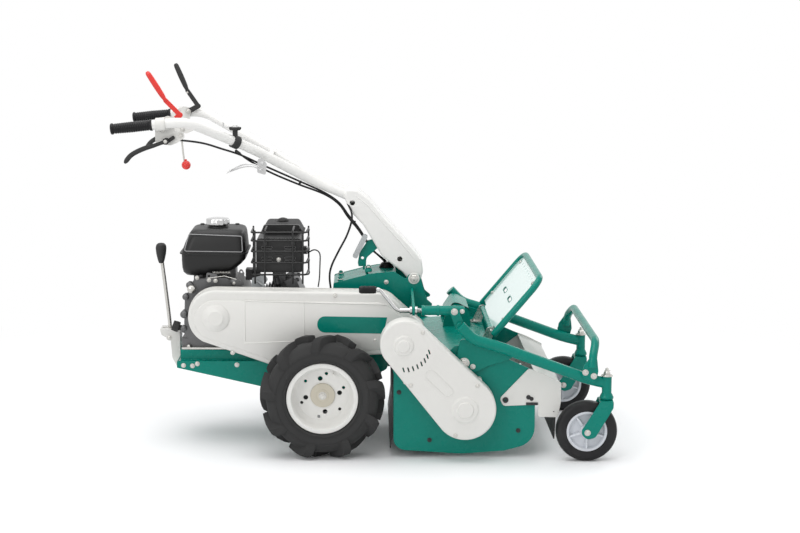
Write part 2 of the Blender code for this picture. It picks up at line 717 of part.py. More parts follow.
def muffler():
    """The hollow silencer box with rows of louvres and its side outlet."""
    box = plate(rounded([(-0.226, 0.583), (-0.071, 0.583), (-0.071, 0.690), (-0.080, 0.697),
                         (-0.217, 0.697), (-0.226, 0.690)], 0.006), MUFFLER_NEAR, MUFFLER_FAR)
    chamber = block((-0.226 + MUFFLER_WALL, MUFFLER_NEAR + MUFFLER_WALL, 0.583 + MUFFLER_WALL),
                    (-0.071 - MUFFLER_WALL, MUFFLER_FAR - MUFFLER_WALL, 0.690))
    louvres = []
    for z in (0.668, 0.657, 0.632, 0.620):
        for x in (-0.190, -0.112):
            louvres.append(plate(slot((x - 0.014, z), (x + 0.014, z), 0.0032),
                                 MUFFLER_NEAR - 0.004, MUFFLER_NEAR + 0.002))
    rib = plate(rounded([(-0.166, 0.612), (-0.134, 0.612), (-0.134, 0.642), (-0.166, 0.642)], 0.008),
                MUFFLER_NEAR - 0.005, MUFFLER_NEAR + 0.002)
    bolt = hex_head((-0.150, MUFFLER_NEAR - 0.004, 0.627), 0.006, -0.005)
    outlet = block((-0.075, -0.070, 0.640), (-0.0585, -0.040, 0.664))
    outlet_bore = block((-0.080, -0.066, 0.644), (-0.050, -0.044, 0.660))
    return cut(fuse(box, *louvres, rib, bolt, outlet), chamber, outlet_bore)


def muffler_guard():
    """The wire basket in front of the silencer, bolted to its box."""
    left, right = -0.240, -0.057
    near, far = -0.128, -0.020
    rows = (0.722, 0.694, 0.658, 0.620, 0.580)
    wires = []
    for index, z in enumerate(rows):
        front = right + 0.004
        wires.append(tube(smooth_path([(left, far, z), (left, near, z), (right, near, z), (front, far, z)],
                                      0.012, 1), GUARD_WIRE, 4))
    for x in (left + 0.012, left + 0.045, right - 0.045, right - 0.012):
        wires.append(rod((x, near, rows[-1] - 0.030), (x, near, rows[0] + 0.006), GUARD_WIRE, 4))
    for x in (left + 0.045, right - 0.045):
        wires.append(tube(smooth_path([(x, near, rows[0]), (x, near + 0.020, 0.7265), (x, far, 0.7265)],
                                      0.012, 1), GUARD_WIRE, 4))
    for x in (left, right + 0.004):
        wires.append(rod((x, far, rows[-1] - 0.006), (x, far, rows[0] + 0.006), GUARD_WIRE, 4))
    tabs = [block((x - 0.006, -0.106 - 0.0245, z - 0.006), (x + 0.006, MUFFLER_NEAR - FIT, z + 0.006))
            for x, z in ((left + 0.045, rows[1] - 0.010), (right - 0.045, rows[1] - 0.010))]
    return fuse(*wires, *tabs)


def recoil_starter():
    """The hollow fan housing with its vents, and the pull starter's grip, on the engine's far side."""
    centre = (CRANK_X, 0, CRANK_Z + 0.006)
    profile = [(0.106, 0.040), (0.098, 0.056), (0.074, 0.060), (0.070, 0.080), (0.040, 0.086), (0, 0.086)]
    bowl = turned([(0, ENGINE_FAR + FIT), (0.104, ENGINE_FAR + FIT)]
                  + [(radius, ENGINE_FAR + place) for radius, place in profile], centre, "Y", 14)
    hollow = turned([(0, ENGINE_FAR - 0.01), (0.104 - STARTER_WALL, ENGINE_FAR - 0.01)]
                    + [(max(0, radius - STARTER_WALL), ENGINE_FAR + place - STARTER_WALL)
                       for radius, place in profile], centre, "Y", 14)
    slots = []
    for index in range(10):
        angle = 36 * index
        cutter = block((CRANK_X + 0.046, ENGINE_FAR + 0.066, CRANK_Z + 0.001),
                       (CRANK_X + 0.064, ENGINE_FAR + 0.100, CRANK_Z + 0.011))
        slots.append(turned_about(cutter, centre, "Y", angle))
    guide = block((CRANK_X - 0.098, ENGINE_FAR + 0.020, CRANK_Z + 0.050),
                  (CRANK_X - 0.058, ENGINE_FAR + 0.056, CRANK_Z + 0.092))
    grip = plate(rounded([(CRANK_X - 0.108, CRANK_Z + 0.088), (CRANK_X - 0.050, CRANK_Z + 0.088),
                          (CRANK_X - 0.056, CRANK_Z + 0.110), (CRANK_X - 0.102, CRANK_Z + 0.110)], 0.008),
                 ENGINE_FAR + 0.026, ENGINE_FAR + 0.050)
    return fuse(cut(bowl, hollow, *slots), guide, grip)


def air_cleaner():
    """The filter box behind the silencer, with the knob on its lid."""
    box = plate(rounded([(-0.212, 0.590), (-0.080, 0.590), (-0.076, 0.700), (-0.092, 0.728),
                         (-0.200, 0.728), (-0.216, 0.700)], 0.012), 0.040, 0.165)
    seam = plate(rounded([(-0.221, 0.690), (-0.071, 0.690), (-0.071, 0.697), (-0.221, 0.697)], 0.003),
                 0.035, 0.170)
    knob = turned([(0, 0.725), (0.018, 0.725), (0.020, 0.732), (0.016, 0.738), (0.006, 0.7405), (0, 0.7405)],
                  (-0.146, 0.100, 0), "Z", 8)
    elbow = block((-0.200, 0.0305, 0.610), (-0.170, 0.045, 0.650))
    return fuse(box, seam, knob, elbow)


def build_engine(paints, frame):
    """The engine and what is bolted to it."""
    node("engine_block", engine_block(), paints["cast"], frame)
    node("fuel_tank", fuel_tank(), paints["black"], frame, 35)
    node("muffler", muffler(), paints["dark"], frame)
    node("muffler_guard", muffler_guard(), paints["dark"], frame)
    node("recoil_starter", recoil_starter(), paints["dark"], frame)
    node("air_cleaner", air_cleaner(), paints["black"], frame)
    cap_axis = joint("fuel_cap_axis", (CAP_X, 0, 0.7325), frame)
    node("fuel_cap", fuel_cap(), paints["chrome"], cap_axis, 20)


def groove(y, radius, width):
    """The profile points of a V pulley's rim, as (radius, place)."""
    half = width / 2
    return [(radius, y - half), (radius, y - half + 0.003), (radius - BELT_DEPTH, y - 0.004),
            (radius - BELT_DEPTH, y + 0.004), (radius, y + half - 0.003), (radius, y + half)]


def engine_pulley():
    """The pulley on the engine's shaft."""
    face = ENGINE_NEAR - 0.024
    profile = [(0, PULLEY_Y - 0.018), (CRANKSHAFT_RADIUS, PULLEY_Y - 0.018),
               (CRANKSHAFT_RADIUS, PULLEY_Y - PULLEY_WIDTH / 2)]
    profile += groove(PULLEY_Y, PULLEY_RADIUS, PULLEY_WIDTH)
    profile += [(0.018, PULLEY_Y + PULLEY_WIDTH / 2), (0.018, face - FIT), (0, face - FIT)]
    return turned(profile, (CRANK_X, 0, CRANK_Z), "Y", 14)


def jackshaft():
    """The cross shaft that takes the engine belt inboard and drives the rotor belt outboard."""
    half = PULLEY_WIDTH / 2
    out_low = ROTOR_PULLEY_Y - half
    profile = [(0, out_low - 0.008), (JACK_RADIUS, out_low - 0.008), (JACK_RADIUS, out_low)]
    profile += groove(ROTOR_PULLEY_Y, PULLEY_RADIUS, PULLEY_WIDTH)
    profile += [(JACK_RADIUS, ROTOR_PULLEY_Y + half), (JACK_RADIUS, PULLEY_Y - half)]
    profile += groove(PULLEY_Y, PULLEY_RADIUS, PULLEY_WIDTH)
    profile += [(JACK_RADIUS, PULLEY_Y + half), (JACK_RADIUS, -0.120), (0, -0.120)]
    return turned(profile, (JACK_X, 0, JACK_Z), "Y", 14)


def belt(first, first_radius, second, second_radius, y):
    """A V belt that lies in the grooves of two pulleys."""
    outer = belt_outline(first, first_radius, second, second_radius)
    inner = belt_outline(first, bore(first_radius - BELT_DEPTH, RUNNING, 15),
                         second, bore(second_radius - BELT_DEPTH, RUNNING, 15))
    return plate(outer, y - 0.0030, y + 0.0030, "Y", [inner])


def cover_outline(grow):
    """The side view of the long cover, grown or shrunk by an amount."""
    rear = circle((CRANK_X, CRANK_Z), 0.092 + grow, 8, 92, 150)
    lower = [(-0.170, 0.286 - grow), (0.120, 0.318 - grow)]
    front = circle((JACK_X, JACK_Z), 0.068 + grow, 6, -100, 130)
    upper = circle((0.180, 0.455), 0.076 + grow, 6, 42, 46)
    return rear + lower + front + upper


def belt_cover():
    """The long pressed cover over the engine belt, open towards the machine."""
    shell = plate(cover_outline(0.0), COVER_FACE, COVER_BACK)
    hollow = plate(cover_outline(-COVER_WALL), COVER_FACE + COVER_WALL, COVER_BACK + 0.01)
    boss = turned([(0, COVER_FACE - 0.014), (0.024, COVER_FACE - 0.014), (0.030, COVER_FACE - 0.010),
                   (0.040, COVER_FACE - 0.006), (0.047, COVER_FACE + 0.001), (0, COVER_FACE + 0.001)],
                  (CRANK_X, 0, CRANK_Z), "Y", 14)
    lip = plate(cover_outline(0.0035), COVER_BACK - 0.004, COVER_BACK, "Y", [cover_outline(-COVER_WALL)])
    front_hole = rod((JACK_X, -0.25, JACK_Z), (JACK_X, -0.15, JACK_Z), bore(JACK_RADIUS, RUNNING))
    return cut(fuse(cut(shell, hollow), boss, lip), front_hole)


def build_belt_drive(paints, frame):
    """The engine belt, its pulleys and its cover."""
    node("belt_cover", belt_cover(), paints["white"], frame)
    shaft = joint("engine_shaft", (CRANK_X, PULLEY_Y, CRANK_Z), frame)
    node("engine_pulley", engine_pulley(), paints["steel"], shaft)
    cross = joint("jackshaft_axis", (JACK_X, PULLEY_Y, JACK_Z), frame)
    node("jackshaft", jackshaft(), paints["steel"], cross)
    node("engine_belt", belt((CRANK_X, CRANK_Z), PULLEY_RADIUS, (JACK_X, JACK_Z), PULLEY_RADIUS, PULLEY_Y),
         paints["rubber"], frame)


def deck_side_outline():
    """The side view of the deck."""
    return rounded([(0.232, 0.028), (0.332, 0.022), (0.455, 0.014), (0.594, 0.024), (0.694, 0.051),
                    (0.694, 0.178), (0.604, 0.178), (0.644, 0.252), (0.695, 0.290), (0.564, 0.349),
                    (0.503, 0.375), (0.433, 0.375), (0.407, 0.350), (0.345, 0.354), (0.330, 0.430),
                    (0.267, 0.457), (0.206, 0.424), (0.223, 0.322), (0.232, 0.282)],
                   [0.040, 0, 0, 0.02, 0.070, 0.004, 0.01, 0.02, 0.004, 0.02,
                    0.01, 0.01, 0.01, 0.03, 0.04, 0.05, 0.04, 0.03, 0.02])


def rear_hood():
    """The arched hood on the far half of the deck, hollow and open below."""
    outline = rounded([(0.410, 0.3540), (0.418, 0.400), (0.446, 0.442), (0.466, 0.438), (0.502, 0.420),
                       (0.508, 0.3540)], [0.002, 0.02, 0.02, 0.02, 0.012, 0.002])
    low, high = 0.105, 0.282
    shell = plate(outline, low, high)
    inner = [(x + (0.003 if x < 0.46 else -0.003), z - 0.003) for x, z in outline]
    hollow = plate(inner, low + 0.003, high - 0.003)
    screws = [rod((x, low - 0.003, z), (x, low + 0.002, z), 0.005, 6)
              for x, z in ((0.446, 0.415), (0.470, 0.410))]
    return fuse(cut(shell, hollow), *screws)


def deck_housing():
    """The mowing deck: two side plates joined by the bent sheet that wraps over the rotor."""
    bolt_hole = circle((ARM_PIVOT_X, ARM_PIVOT_Z), bore(PIVOT_BOLT))
    jack_hole = circle((JACK_X, JACK_Z), bore(JACK_RADIUS, RUNNING), 8)
    rotor_hole = circle((ROTOR_X, ROTOR_Z), bore(SHAFT_RADIUS, RUNNING), 8)
    outline = deck_side_outline()
    outer = DECK_SIDE + SIDE_PLATE
    right = plate(outline, -outer, -DECK_SIDE, "Y", [bolt_hole, jack_hole, rotor_hole])
    left = plate(outline, DECK_SIDE, outer, "Y", [bolt_hole, jack_hole, rotor_hole])
    wrap = sheet([(0.2355, 0.100), (0.2355, 0.290), (0.252, 0.322), (0.290, 0.342), (0.350, 0.350),
                  (0.430, 0.354), (0.515, 0.354), (0.556, 0.342)], DECK_SHEET,
                 -DECK_SIDE - 0.001, DECK_SIDE + 0.001)
    rear_angle = block((0.2153, 0.001 - RAIL_Y, 0.2700), (0.2365, RAIL_Y - 0.001, 0.2760))
    mount = block((0.2151 + FIT, 0.001 - RAIL_Y, 0.2700), (0.2210, RAIL_Y - 0.001, 0.3280))
    jack_bore = bore(JACK_RADIUS, RUNNING)
    bearing = turned([(jack_bore, -DECK_SIDE - 0.001), (0.028, -DECK_SIDE - 0.001),
                      (0.024, 0.030 - DECK_SIDE), (jack_bore, 0.030 - DECK_SIDE)],
                     (JACK_X, 0, JACK_Z), "Y", 8, ring=True)
    far_bore = bore(JACK_RADIUS, RUNNING, 10)
    far_bearing = turned([(far_bore, DECK_SIDE + 0.002), (0.040, DECK_SIDE + 0.002),
                          (0.034, outer + 0.022), (far_bore, outer + 0.022)],
                         (ROTOR_X, 0, ROTOR_Z), "Y", 10, ring=True)
    notch = block((0.190, COVER_FACE - 0.004, 0.300), (JACK_X + 0.082, COVER_BACK + 0.004, 0.370))
    cap = turned([(0, outer + 0.016), (0.036, outer + 0.016), (0.034, outer + 0.026), (0.014, outer + 0.032),
                  (0, outer + 0.032)], (ROTOR_X, 0, ROTOR_Z), "Y")
    vent = block((0.420, 0.110, 0.330), (0.496, 0.276, 0.380))
    return fuse(right, left, cut(wrap, notch, vent), rear_angle, mount, bearing, far_bearing, cap,
                rear_hood())


def rotor():
    """The rotor: a tube on its shaft with rows of hammer knives on welded ears."""
    end = DECK_SIDE - 0.012
    out = ROTOR_PULLEY_Y - PULLEY_WIDTH / 2
    profile = [(0, out - 0.008), (SHAFT_RADIUS, out - 0.008), (SHAFT_RADIUS, out)]
    profile += groove(ROTOR_PULLEY_Y, PULLEY_RADIUS + 0.010, PULLEY_WIDTH)
    profile += [(SHAFT_RADIUS, ROTOR_PULLEY_Y + PULLEY_WIDTH / 2), (SHAFT_RADIUS, -end),
                (ROTOR_TUBE, -end), (ROTOR_TUBE, end), (JACK_RADIUS, end),
                (JACK_RADIUS, DECK_SIDE + 0.020), (0, DECK_SIDE + 0.020)]
    body = turned(profile, (ROTOR_X, 0, ROTOR_Z), "Y", 10)
    pieces = []
    span = 2 * end - 0.10
    half = KNIFE_WIDTH / 2
    for row in range(KNIFE_ROWS):
        for place in range(KNIVES_PER_ROW):
            y = -span / 2 + span * (place + 0.25 + 0.5 * (row % 2)) / KNIVES_PER_ROW
            sections = ((ROTOR_TUBE - 0.006, 0.007, 0.60 * half), (ROTOR_TUBE + 0.022, 0.003, 0.60 * half),
                        (KNIFE_TIP, 0.003, half))
            blade = loft([[(ROTOR_X + x * thick, y + side * wide, ROTOR_Z - reach) for x, side in
                           ((-1, -1), (1, -1), (1, 1), (-1, 1))] for reach, thick, wide in sections])
            pieces.append(turned_about(blade, (ROTOR_X, 0, ROTOR_Z), "Y", 360 / KNIFE_ROWS * row))
    return fuse(body, *pieces)


def deck_cover_outline(grow):
    """The side view of the rotor belt's cover: a slim drop round the two pulleys."""
    return belt_outline((JACK_X, JACK_Z), DECK_COVER_TOP_R + grow,
                        (ROTOR_X, ROTOR_Z), DECK_COVER_LOW_R + grow)


def deck_cover():
    """The pressed cover over the rotor belt, with its two round bosses and cooling slots."""
    shell = plate(deck_cover_outline(0), DECK_COVER_FACE, DECK_COVER_BACK)
    hollow = plate(deck_cover_outline(-COVER_WALL), DECK_COVER_FACE + COVER_WALL, DECK_COVER_BACK + 0.01)
    bosses = [turned([(0, DECK_COVER_FACE - 0.010), (0.55 * radius, DECK_COVER_FACE - 0.010),
                      (0.62 * radius, DECK_COVER_FACE - 0.007), (0.86 * radius, DECK_COVER_FACE - 0.005),
                      (radius, DECK_COVER_FACE + 0.001), (0, DECK_COVER_FACE + 0.001)], place, "Y", 12)
              for place, radius in (((JACK_X - 0.004, 0, JACK_Z - 0.002), 0.036),
                                    ((ROTOR_X, 0, ROTOR_Z), 0.048))]
    slots = []
    for index in range(8):
        x = JACK_X + 0.004 + 0.0115 * index
        z = JACK_Z - 0.084 + 0.0009 * index ** 2
        slots.append(plate(slot((x, z), (x + 0.005, z - 0.010), 0.0018, 1),
                           DECK_COVER_FACE - 0.01, DECK_COVER_FACE + 0.01))
    feet = [rod((x, DECK_COVER_BACK - 0.006, z), (x, -DECK_SIDE - SIDE_PLATE - FIT, z), 0.008)
            for x, z in ((0.2705, 0.2606), (0.462, 0.086), (0.5106, 0.2648))]
    return cut(fuse(cut(shell, hollow), *bosses, *feet), *slots)


def front_guard():
    """The white guard in front of the rotor: side plates joined by a folded front panel."""
    side = rounded([(0.590, 0.175), (0.704, 0.180), (0.704, 0.139), (0.769, 0.137), (0.778, 0.190),
                    (0.778, 0.253), (0.722, 0.281), (0.672, 0.300), (0.578, 0.200)],
                   [0.014, 0.002, 0.006, 0.006, 0.01, 0.006, 0.004, 0.01, 0.014])
    y = DECK_SIDE + SIDE_PLATE + FIT
    right = plate(side, -y - 0.003, -y, "Y", [circle((0.597, 0.195), 0.0055, 6)])
    left = plate(side, y, y + 0.003, "Y", [circle((0.597, 0.195), 0.0055, 6)])
    panel = sheet([(0.690, 0.287), (0.720, 0.2745), (0.7736, 0.2500), (0.7736, 0.190), (0.765, 0.142)],
                  0.003, -y - 0.0005, y + 0.0005)
    return fuse(right, left, panel)


def rubber_skirt(line, half, slits):
    """A rubber apron that is slit into fingers from its lower edge."""
    apron = sheet(line, 0.004, -half, half)
    x, bottom = line[-1]
    top = line[0][1]
    gaps = []
    for index in range(1, slits):
        y = -half + 2 * half * index / slits
        gaps.append(block((x - 0.03, y - 0.0008, bottom - 0.01),
                          (x + 0.03, y + 0.0008, bottom + 0.62 * (top - bottom))))
    return cut(apron, *gaps)


def build_deck(paints, frame):
    """The deck, its rotor, covers and rubber aprons."""
    node("deck_housing", deck_housing(), paints["green"], frame)
    node("deck_belt_cover", deck_cover(), paints["white"], frame)
    node("front_guard", front_guard(), paints["white"], frame)
    node("front_apron", rubber_skirt([(0.7690, 0.1859), (0.7613, 0.1427), (0.7580, 0.0620)],
                                     DECK_SIDE - 0.004, 8),
         paints["rubber"], frame)
    node("rear_apron", rubber_skirt([(0.2317, 0.262), (0.2317, 0.100), (0.2220, 0.030)], DECK_SIDE - 0.004,
                                    8),
         paints["rubber"], frame)
    axis = joint("rotor_axis", (ROTOR_X, 0, ROTOR_Z), frame)
    node("rotor", rotor(), paints["steel"], axis)
    node("rotor_belt", belt((JACK_X, JACK_Z), PULLEY_RADIUS, (ROTOR_X, ROTOR_Z), PULLEY_RADIUS + 0.010,
                            ROTOR_PULLEY_Y), paints["rubber"], frame)


def arm(side):
    """One castor arm: a bent tube with its pivot plate and the castor's barrel."""
    y = side * ARM_Y
    path = smooth_path([(0.446, y, 0.446), (0.486, y, 0.402), (0.582, y, 0.374), (0.700, y, 0.330),
                        (0.857, y, 0.272), (CASTOR_X - 0.004, y, 0.258)], 0.03)
    pipe = tube(path, ARM_RADIUS, 8)
    inner = DECK_SIDE + SIDE_PLATE + FIT
    low, high = sorted((side * inner, side * (inner + ARM_PLATE)))
    web = plate(rounded([(0.431, 0.312), (0.448, 0.400), (0.500, 0.392), (0.590, 0.366), (0.640, 0.348),
                         (0.600, 0.328), (0.540, 0.310), (0.500, 0.290), (0.458, 0.286)], 0.012),
                low, high)
    barrel = turned([(0, BARREL_LOW - 0.022), (0.0215, BARREL_LOW - 0.022),
                     (0.0225, BARREL_LOW - 0.014), (0.0195, BARREL_LOW - 0.008),
                     (BARREL_RADIUS, BARREL_LOW), (BARREL_RADIUS, BARREL_HIGH), (0, BARREL_HIGH)],
                    (CASTOR_X, y, 0), "Z", 10)
    way = rod((CASTOR_X, y, BARREL_LOW - 0.05), (CASTOR_X, y, BARREL_HIGH + 0.05), bore(STEM_RADIUS))
    bolt = hex_head((ARM_PIVOT_X, side * (inner + ARM_PLATE - 0.001), ARM_PIVOT_Z), 0.014, side * 0.008)
    pin = rod((ARM_PIVOT_X, side * (inner + 0.002), ARM_PIVOT_Z),
              (ARM_PIVOT_X, side * (DECK_SIDE - 0.004), ARM_PIVOT_Z), PIVOT_BOLT, 6)
    pieces = [pipe, web, barrel, bolt, pin]
    if side == RIGHT:
        strap_low = ADJUSTER_Y - ADJUSTER_RADIUS - FIT - 0.006
        strap = plate(slot((LINK_PIN_X, ADJUSTER_Z), (0.446, 0.440), 0.015),
                      strap_low, strap_low + 0.006)
        link = rod((LINK_PIN_X, strap_low - 0.003, ADJUSTER_Z),
                   (LINK_PIN_X, ADJUSTER_Y + ADJUSTER_RADIUS + 0.003, ADJUSTER_Z), LINK_PIN, 6)
        head = hex_head((LINK_PIN_X, strap_low + 0.001, ADJUSTER_Z), 0.009, -0.006)
        tie = rod((0.446, y, 0.444), (0.446, strap_low + 0.002, 0.444), 0.012, 6)
        pieces += [strap, link, head, tie]
    return cut(fuse(*pieces), way)


def castor_fork(side):
    """The bent fork with its stem, washers and split pin end."""
    y = side * CASTOR_TRACK / 2
    inner = CASTOR_WIDTH / 2 + 0.004
    top = BARREL_LOW - 0.022 - FIT
    axle = (CASTOR_X - CASTOR_TRAIL, CASTOR_RADIUS)
    outline = rounded([(CASTOR_X - 0.024, top), (CASTOR_X + 0.019, top), (CASTOR_X + 0.019, top - 0.022),
                       (axle[0] + 0.026, axle[1] - 0.016), (axle[0], axle[1] - 0.024),
                       (axle[0] - 0.024, axle[1] - 0.002), (CASTOR_X - 0.028, top - 0.010)],
                      [0.003, 0.003, 0.02, 0.016, 0.02, 0.02, 0.005])
    hole = circle(axle, CASTOR_AXLE - 0.001)
    near = plate(outline, y - inner - FORK_PLATE, y - inner, "Y", [hole])
    far = plate(outline, y + inner, y + inner + FORK_PLATE, "Y", [hole])
    crown = block((CASTOR_X - 0.023, y - inner - 0.002, top - FORK_PLATE),
                  (CASTOR_X + 0.0185, y + inner + 0.002, top - 0.0002))
    stem = turned([(0, top - 0.003), (STEM_RADIUS, top - 0.003), (STEM_RADIUS, BARREL_HIGH + FIT),
                   (0.0185, BARREL_HIGH + FIT), (0.0185, BARREL_HIGH + 0.004), (0.0105, BARREL_HIGH + 0.006),
                   (0.0105, BARREL_HIGH + 0.013), (0.006, BARREL_HIGH + 0.014), (0.005, BARREL_HIGH + 0.026),
                   (0, BARREL_HIGH + 0.028)], (CASTOR_X, y, 0), "Z", 8)
    pin = rod((axle[0], y - inner - FORK_PLATE - 0.001, axle[1]),
              (axle[0], y + inner + FORK_PLATE + 0.001, axle[1]), CASTOR_AXLE, 6)
    heads = [hex_head((axle[0], y + face * (inner + FORK_PLATE - 0.001), axle[1]), 0.0085, face * 0.007)
             for face in (-1, 1)]
    return fuse(near, far, crown, stem, pin, *heads)


def castor_tyre(side):
    """The plain rubber tyre of a castor."""
    half = CASTOR_WIDTH / 2
    inner = CASTOR_RIM + FIT
    profile = [(inner, -0.80 * half), (0.86 * CASTOR_RADIUS, -half), (0.95 * CASTOR_RADIUS, -0.78 * half),
               (CASTOR_RADIUS - 0.001, -0.35 * half), (CASTOR_RADIUS, 0),
               (CASTOR_RADIUS - 0.001, 0.35 * half),
               (0.95 * CASTOR_RADIUS, 0.78 * half), (0.86 * CASTOR_RADIUS, half), (inner, 0.80 * half)]
    return turned(profile, (CASTOR_X - CASTOR_TRAIL, side * CASTOR_TRACK / 2, CASTOR_RADIUS), "Y",
                  14, ring=True)


def castor_rim(side):
    """The cast castor wheel with ribs between its hub and its rim."""
    half = 0.80 * CASTOR_WIDTH / 2
    y = side * CASTOR_TRACK / 2
    centre = (CASTOR_X - CASTOR_TRAIL, y, CASTOR_RADIUS)
    hub_half = CASTOR_WIDTH / 2 + 0.004 - FIT
    axle_bore = bore(CASTOR_AXLE, RUNNING, 14)
    rim = turned([(CASTOR_RIM, -half), (CASTOR_RIM, half), (CASTOR_RIM - 0.008, half),
                  (CASTOR_RIM - 0.010, 0.003), (0.020, 0.003), (0.017, hub_half),
                  (axle_bore, hub_half), (axle_bore, -hub_half), (0.017, -hub_half),
                  (0.020, -0.003), (CASTOR_RIM - 0.010, -0.003), (CASTOR_RIM - 0.008, -half)],
                 centre, "Y", 14, ring=True)
    ribs = []
    for index in range(5):
        rib = block((centre[0] + 0.016, y - 0.75 * half, centre[2] - 0.003),
                    (centre[0] + CASTOR_RIM - 0.006, y + 0.75 * half, centre[2] + 0.003))
        ribs.append(turned_about(rib, centre, "Y", 72 * index + 18))
    return fuse(rim, *ribs)


def bumper():
    """The hoop over the castors, bolted to both arms."""
    foot_y = ARM_Y + ARM_RADIUS + FIT
    path = smooth_path([(0.872, -foot_y - 0.003, 0.318), (0.876, -foot_y + 0.004, 0.350),
                        (BUMPER_TOP_X, -BUMPER_Y, BUMPER_TOP_Z), (BUMPER_TOP_X, BUMPER_Y, BUMPER_TOP_Z),
                        (0.876, foot_y - 0.004, 0.350), (0.872, foot_y + 0.003, 0.318)], 0.03)
    hoop = tube(path, BUMPER_RADIUS, 6)
    outline = rounded([(0.840, 0.278), (0.884, 0.262), (0.892, 0.300), (0.886, 0.348), (0.866, 0.352),
                       (0.846, 0.318)], 0.010)
    feet = []
    for side in (RIGHT, LEFT):
        low, high = sorted((side * foot_y, side * (foot_y + 0.006)))
        feet.append(plate(outline, low, high))
        feet += [hex_head((x, side * (foot_y + 0.005), z), 0.0075, side * 0.006)
                 for x, z in ((0.850, 0.296), (0.876, 0.284))]
    return fuse(hoop, *feet)


def build_castors(paints, frame):
    """The castor arms, which tilt as one, with the bumper and both castors."""
    arms = joint("castor_arms", (ARM_PIVOT_X, 0, ARM_PIVOT_Z), frame)
    for side in (RIGHT, LEFT):
        name = SIDE_NAME[side]
        node(f"castor_arm_{name}", arm(side), paints["green"], arms)
        swivel = joint(f"castor_swivel_{name}", (CASTOR_X, side * CASTOR_TRACK / 2, BARREL_LOW), arms)
        node(f"castor_fork_{name}", castor_fork(side), paints["green"], swivel)
        axle = joint(f"castor_axle_{name}",
                     (CASTOR_X - CASTOR_TRAIL, side * CASTOR_TRACK / 2, CASTOR_RADIUS), swivel)
        node(f"castor_tyre_{name}", castor_tyre(side), paints["rubber"], axle)
        node(f"castor_rim_{name}", castor_rim(side), paints["white"], axle)
    node("front_bumper", bumper(), paints["green"], arms)


def handle_base():
    """The folded stand on the frame that carries the column, the latch's stop and the crank's plate."""
    outer, inner = BASE_HALF, BASE_HALF - 0.005
    rail_top = 0.330
    outline = rounded([(0.032, 0.508), (0.032, 0.544), (0.142, 0.572), (0.178, 0.579), (0.236, 0.583),
                       (0.278, 0.556), (COLUMN_X - 0.018, COLUMN_Z + 0.016),
                       (COLUMN_X + 0.018, COLUMN_Z + 0.016),
                       (0.345, 0.490), (0.372, 0.468), (0.240, 0.440), (0.190, rail_top + FIT),
                       (0.060, rail_top + FIT), (0.060, 0.470)],
                      [0.004, 0.006, 0.02, 0.02, 0.02, 0.01, 0.016, 0.016, 0.02, 0.006, 0.03, 0.004, 0.004,
                       0.02])
    holes = [circle((COLUMN_X, COLUMN_Z), bore(COLUMN_BOLT))]
    sides = [plate(outline, *sorted((side * inner, side * outer)), "Y", holes) for side in (RIGHT, LEFT)]
    top = sheet([(0.034, 0.510), (0.034, 0.541), (0.142, 0.5685), (0.182, 0.5765), (0.242, 0.5765)], 0.005,
                -inner - 0.001, inner + 0.001)
    front = sheet([(0.180, 0.337), (0.232, 0.444), (0.352, 0.470)], 0.005, -inner - 0.001, inner + 0.001)
    feet = []
    for side in (RIGHT, LEFT):
        low, high = sorted((side * (inner + 0.001), side * RAIL_Y))
        feet.append(block((0.062, low, rail_top + FIT), (0.188, high, rail_top + 0.006)))
    stop = plate([(0.1385, 0.562), (0.1485, 0.5645), (0.1485, 0.586), (0.1410, 0.586)], -0.043, -0.029)
    stack = [rod((0.055, y, 0.545), (0.055, y, 0.562), 0.010, 5) for y in (-0.060, 0.060)]
    tip = ADJUSTER_Y - 0.016
    bracket = plate(rounded([(0.003 - outer, 0.474), (0.003 - outer, 0.530), (tip, ADJUSTER_Z + 0.016),
                             (tip, ADJUSTER_Z - 0.016)], 0.012), CRANK_PLATE_X, CRANK_PLATE_X + CRANK_PLATE,
                    "X", [circle((ADJUSTER_Y, ADJUSTER_Z), bore(SCREW_RADIUS))])
    return fuse(*sides, top, front, *feet, stop, *stack, bracket)


def column_outline(inset):
    """The side view of the column's pressed shell."""
    return rounded([(0.068 + inset, 0.832), (0.076 + inset, 0.858 - inset), (0.110, 0.856 - inset),
                    (0.150, 0.825 - 1.3 * inset), (0.197, 0.768 - 1.3 * inset), (0.304, 0.650 - 1.3 * inset),
                    (0.330 - inset, 0.616), (0.335 - inset, 0.580), (0.326 - inset, COLUMN_Z - 0.016 + inset),
                    (0.290, COLUMN_Z - 0.016 + inset), (0.266 + 1.2 * inset, 0.575),
                    (0.196 + 1.3 * inset, 0.630),
                    (0.160 + 1.3 * inset, 0.692), (0.132 + 1.3 * inset, 0.738), (0.087 + 1.3 * inset, 0.785)],
                   [0.006, 0.012, 0.02, 0.03, 0.04, 0.03, 0.02, 0.02, 0.014, 0.02, 0.03, 0.03, 0.02, 0.02,
                    0.02])


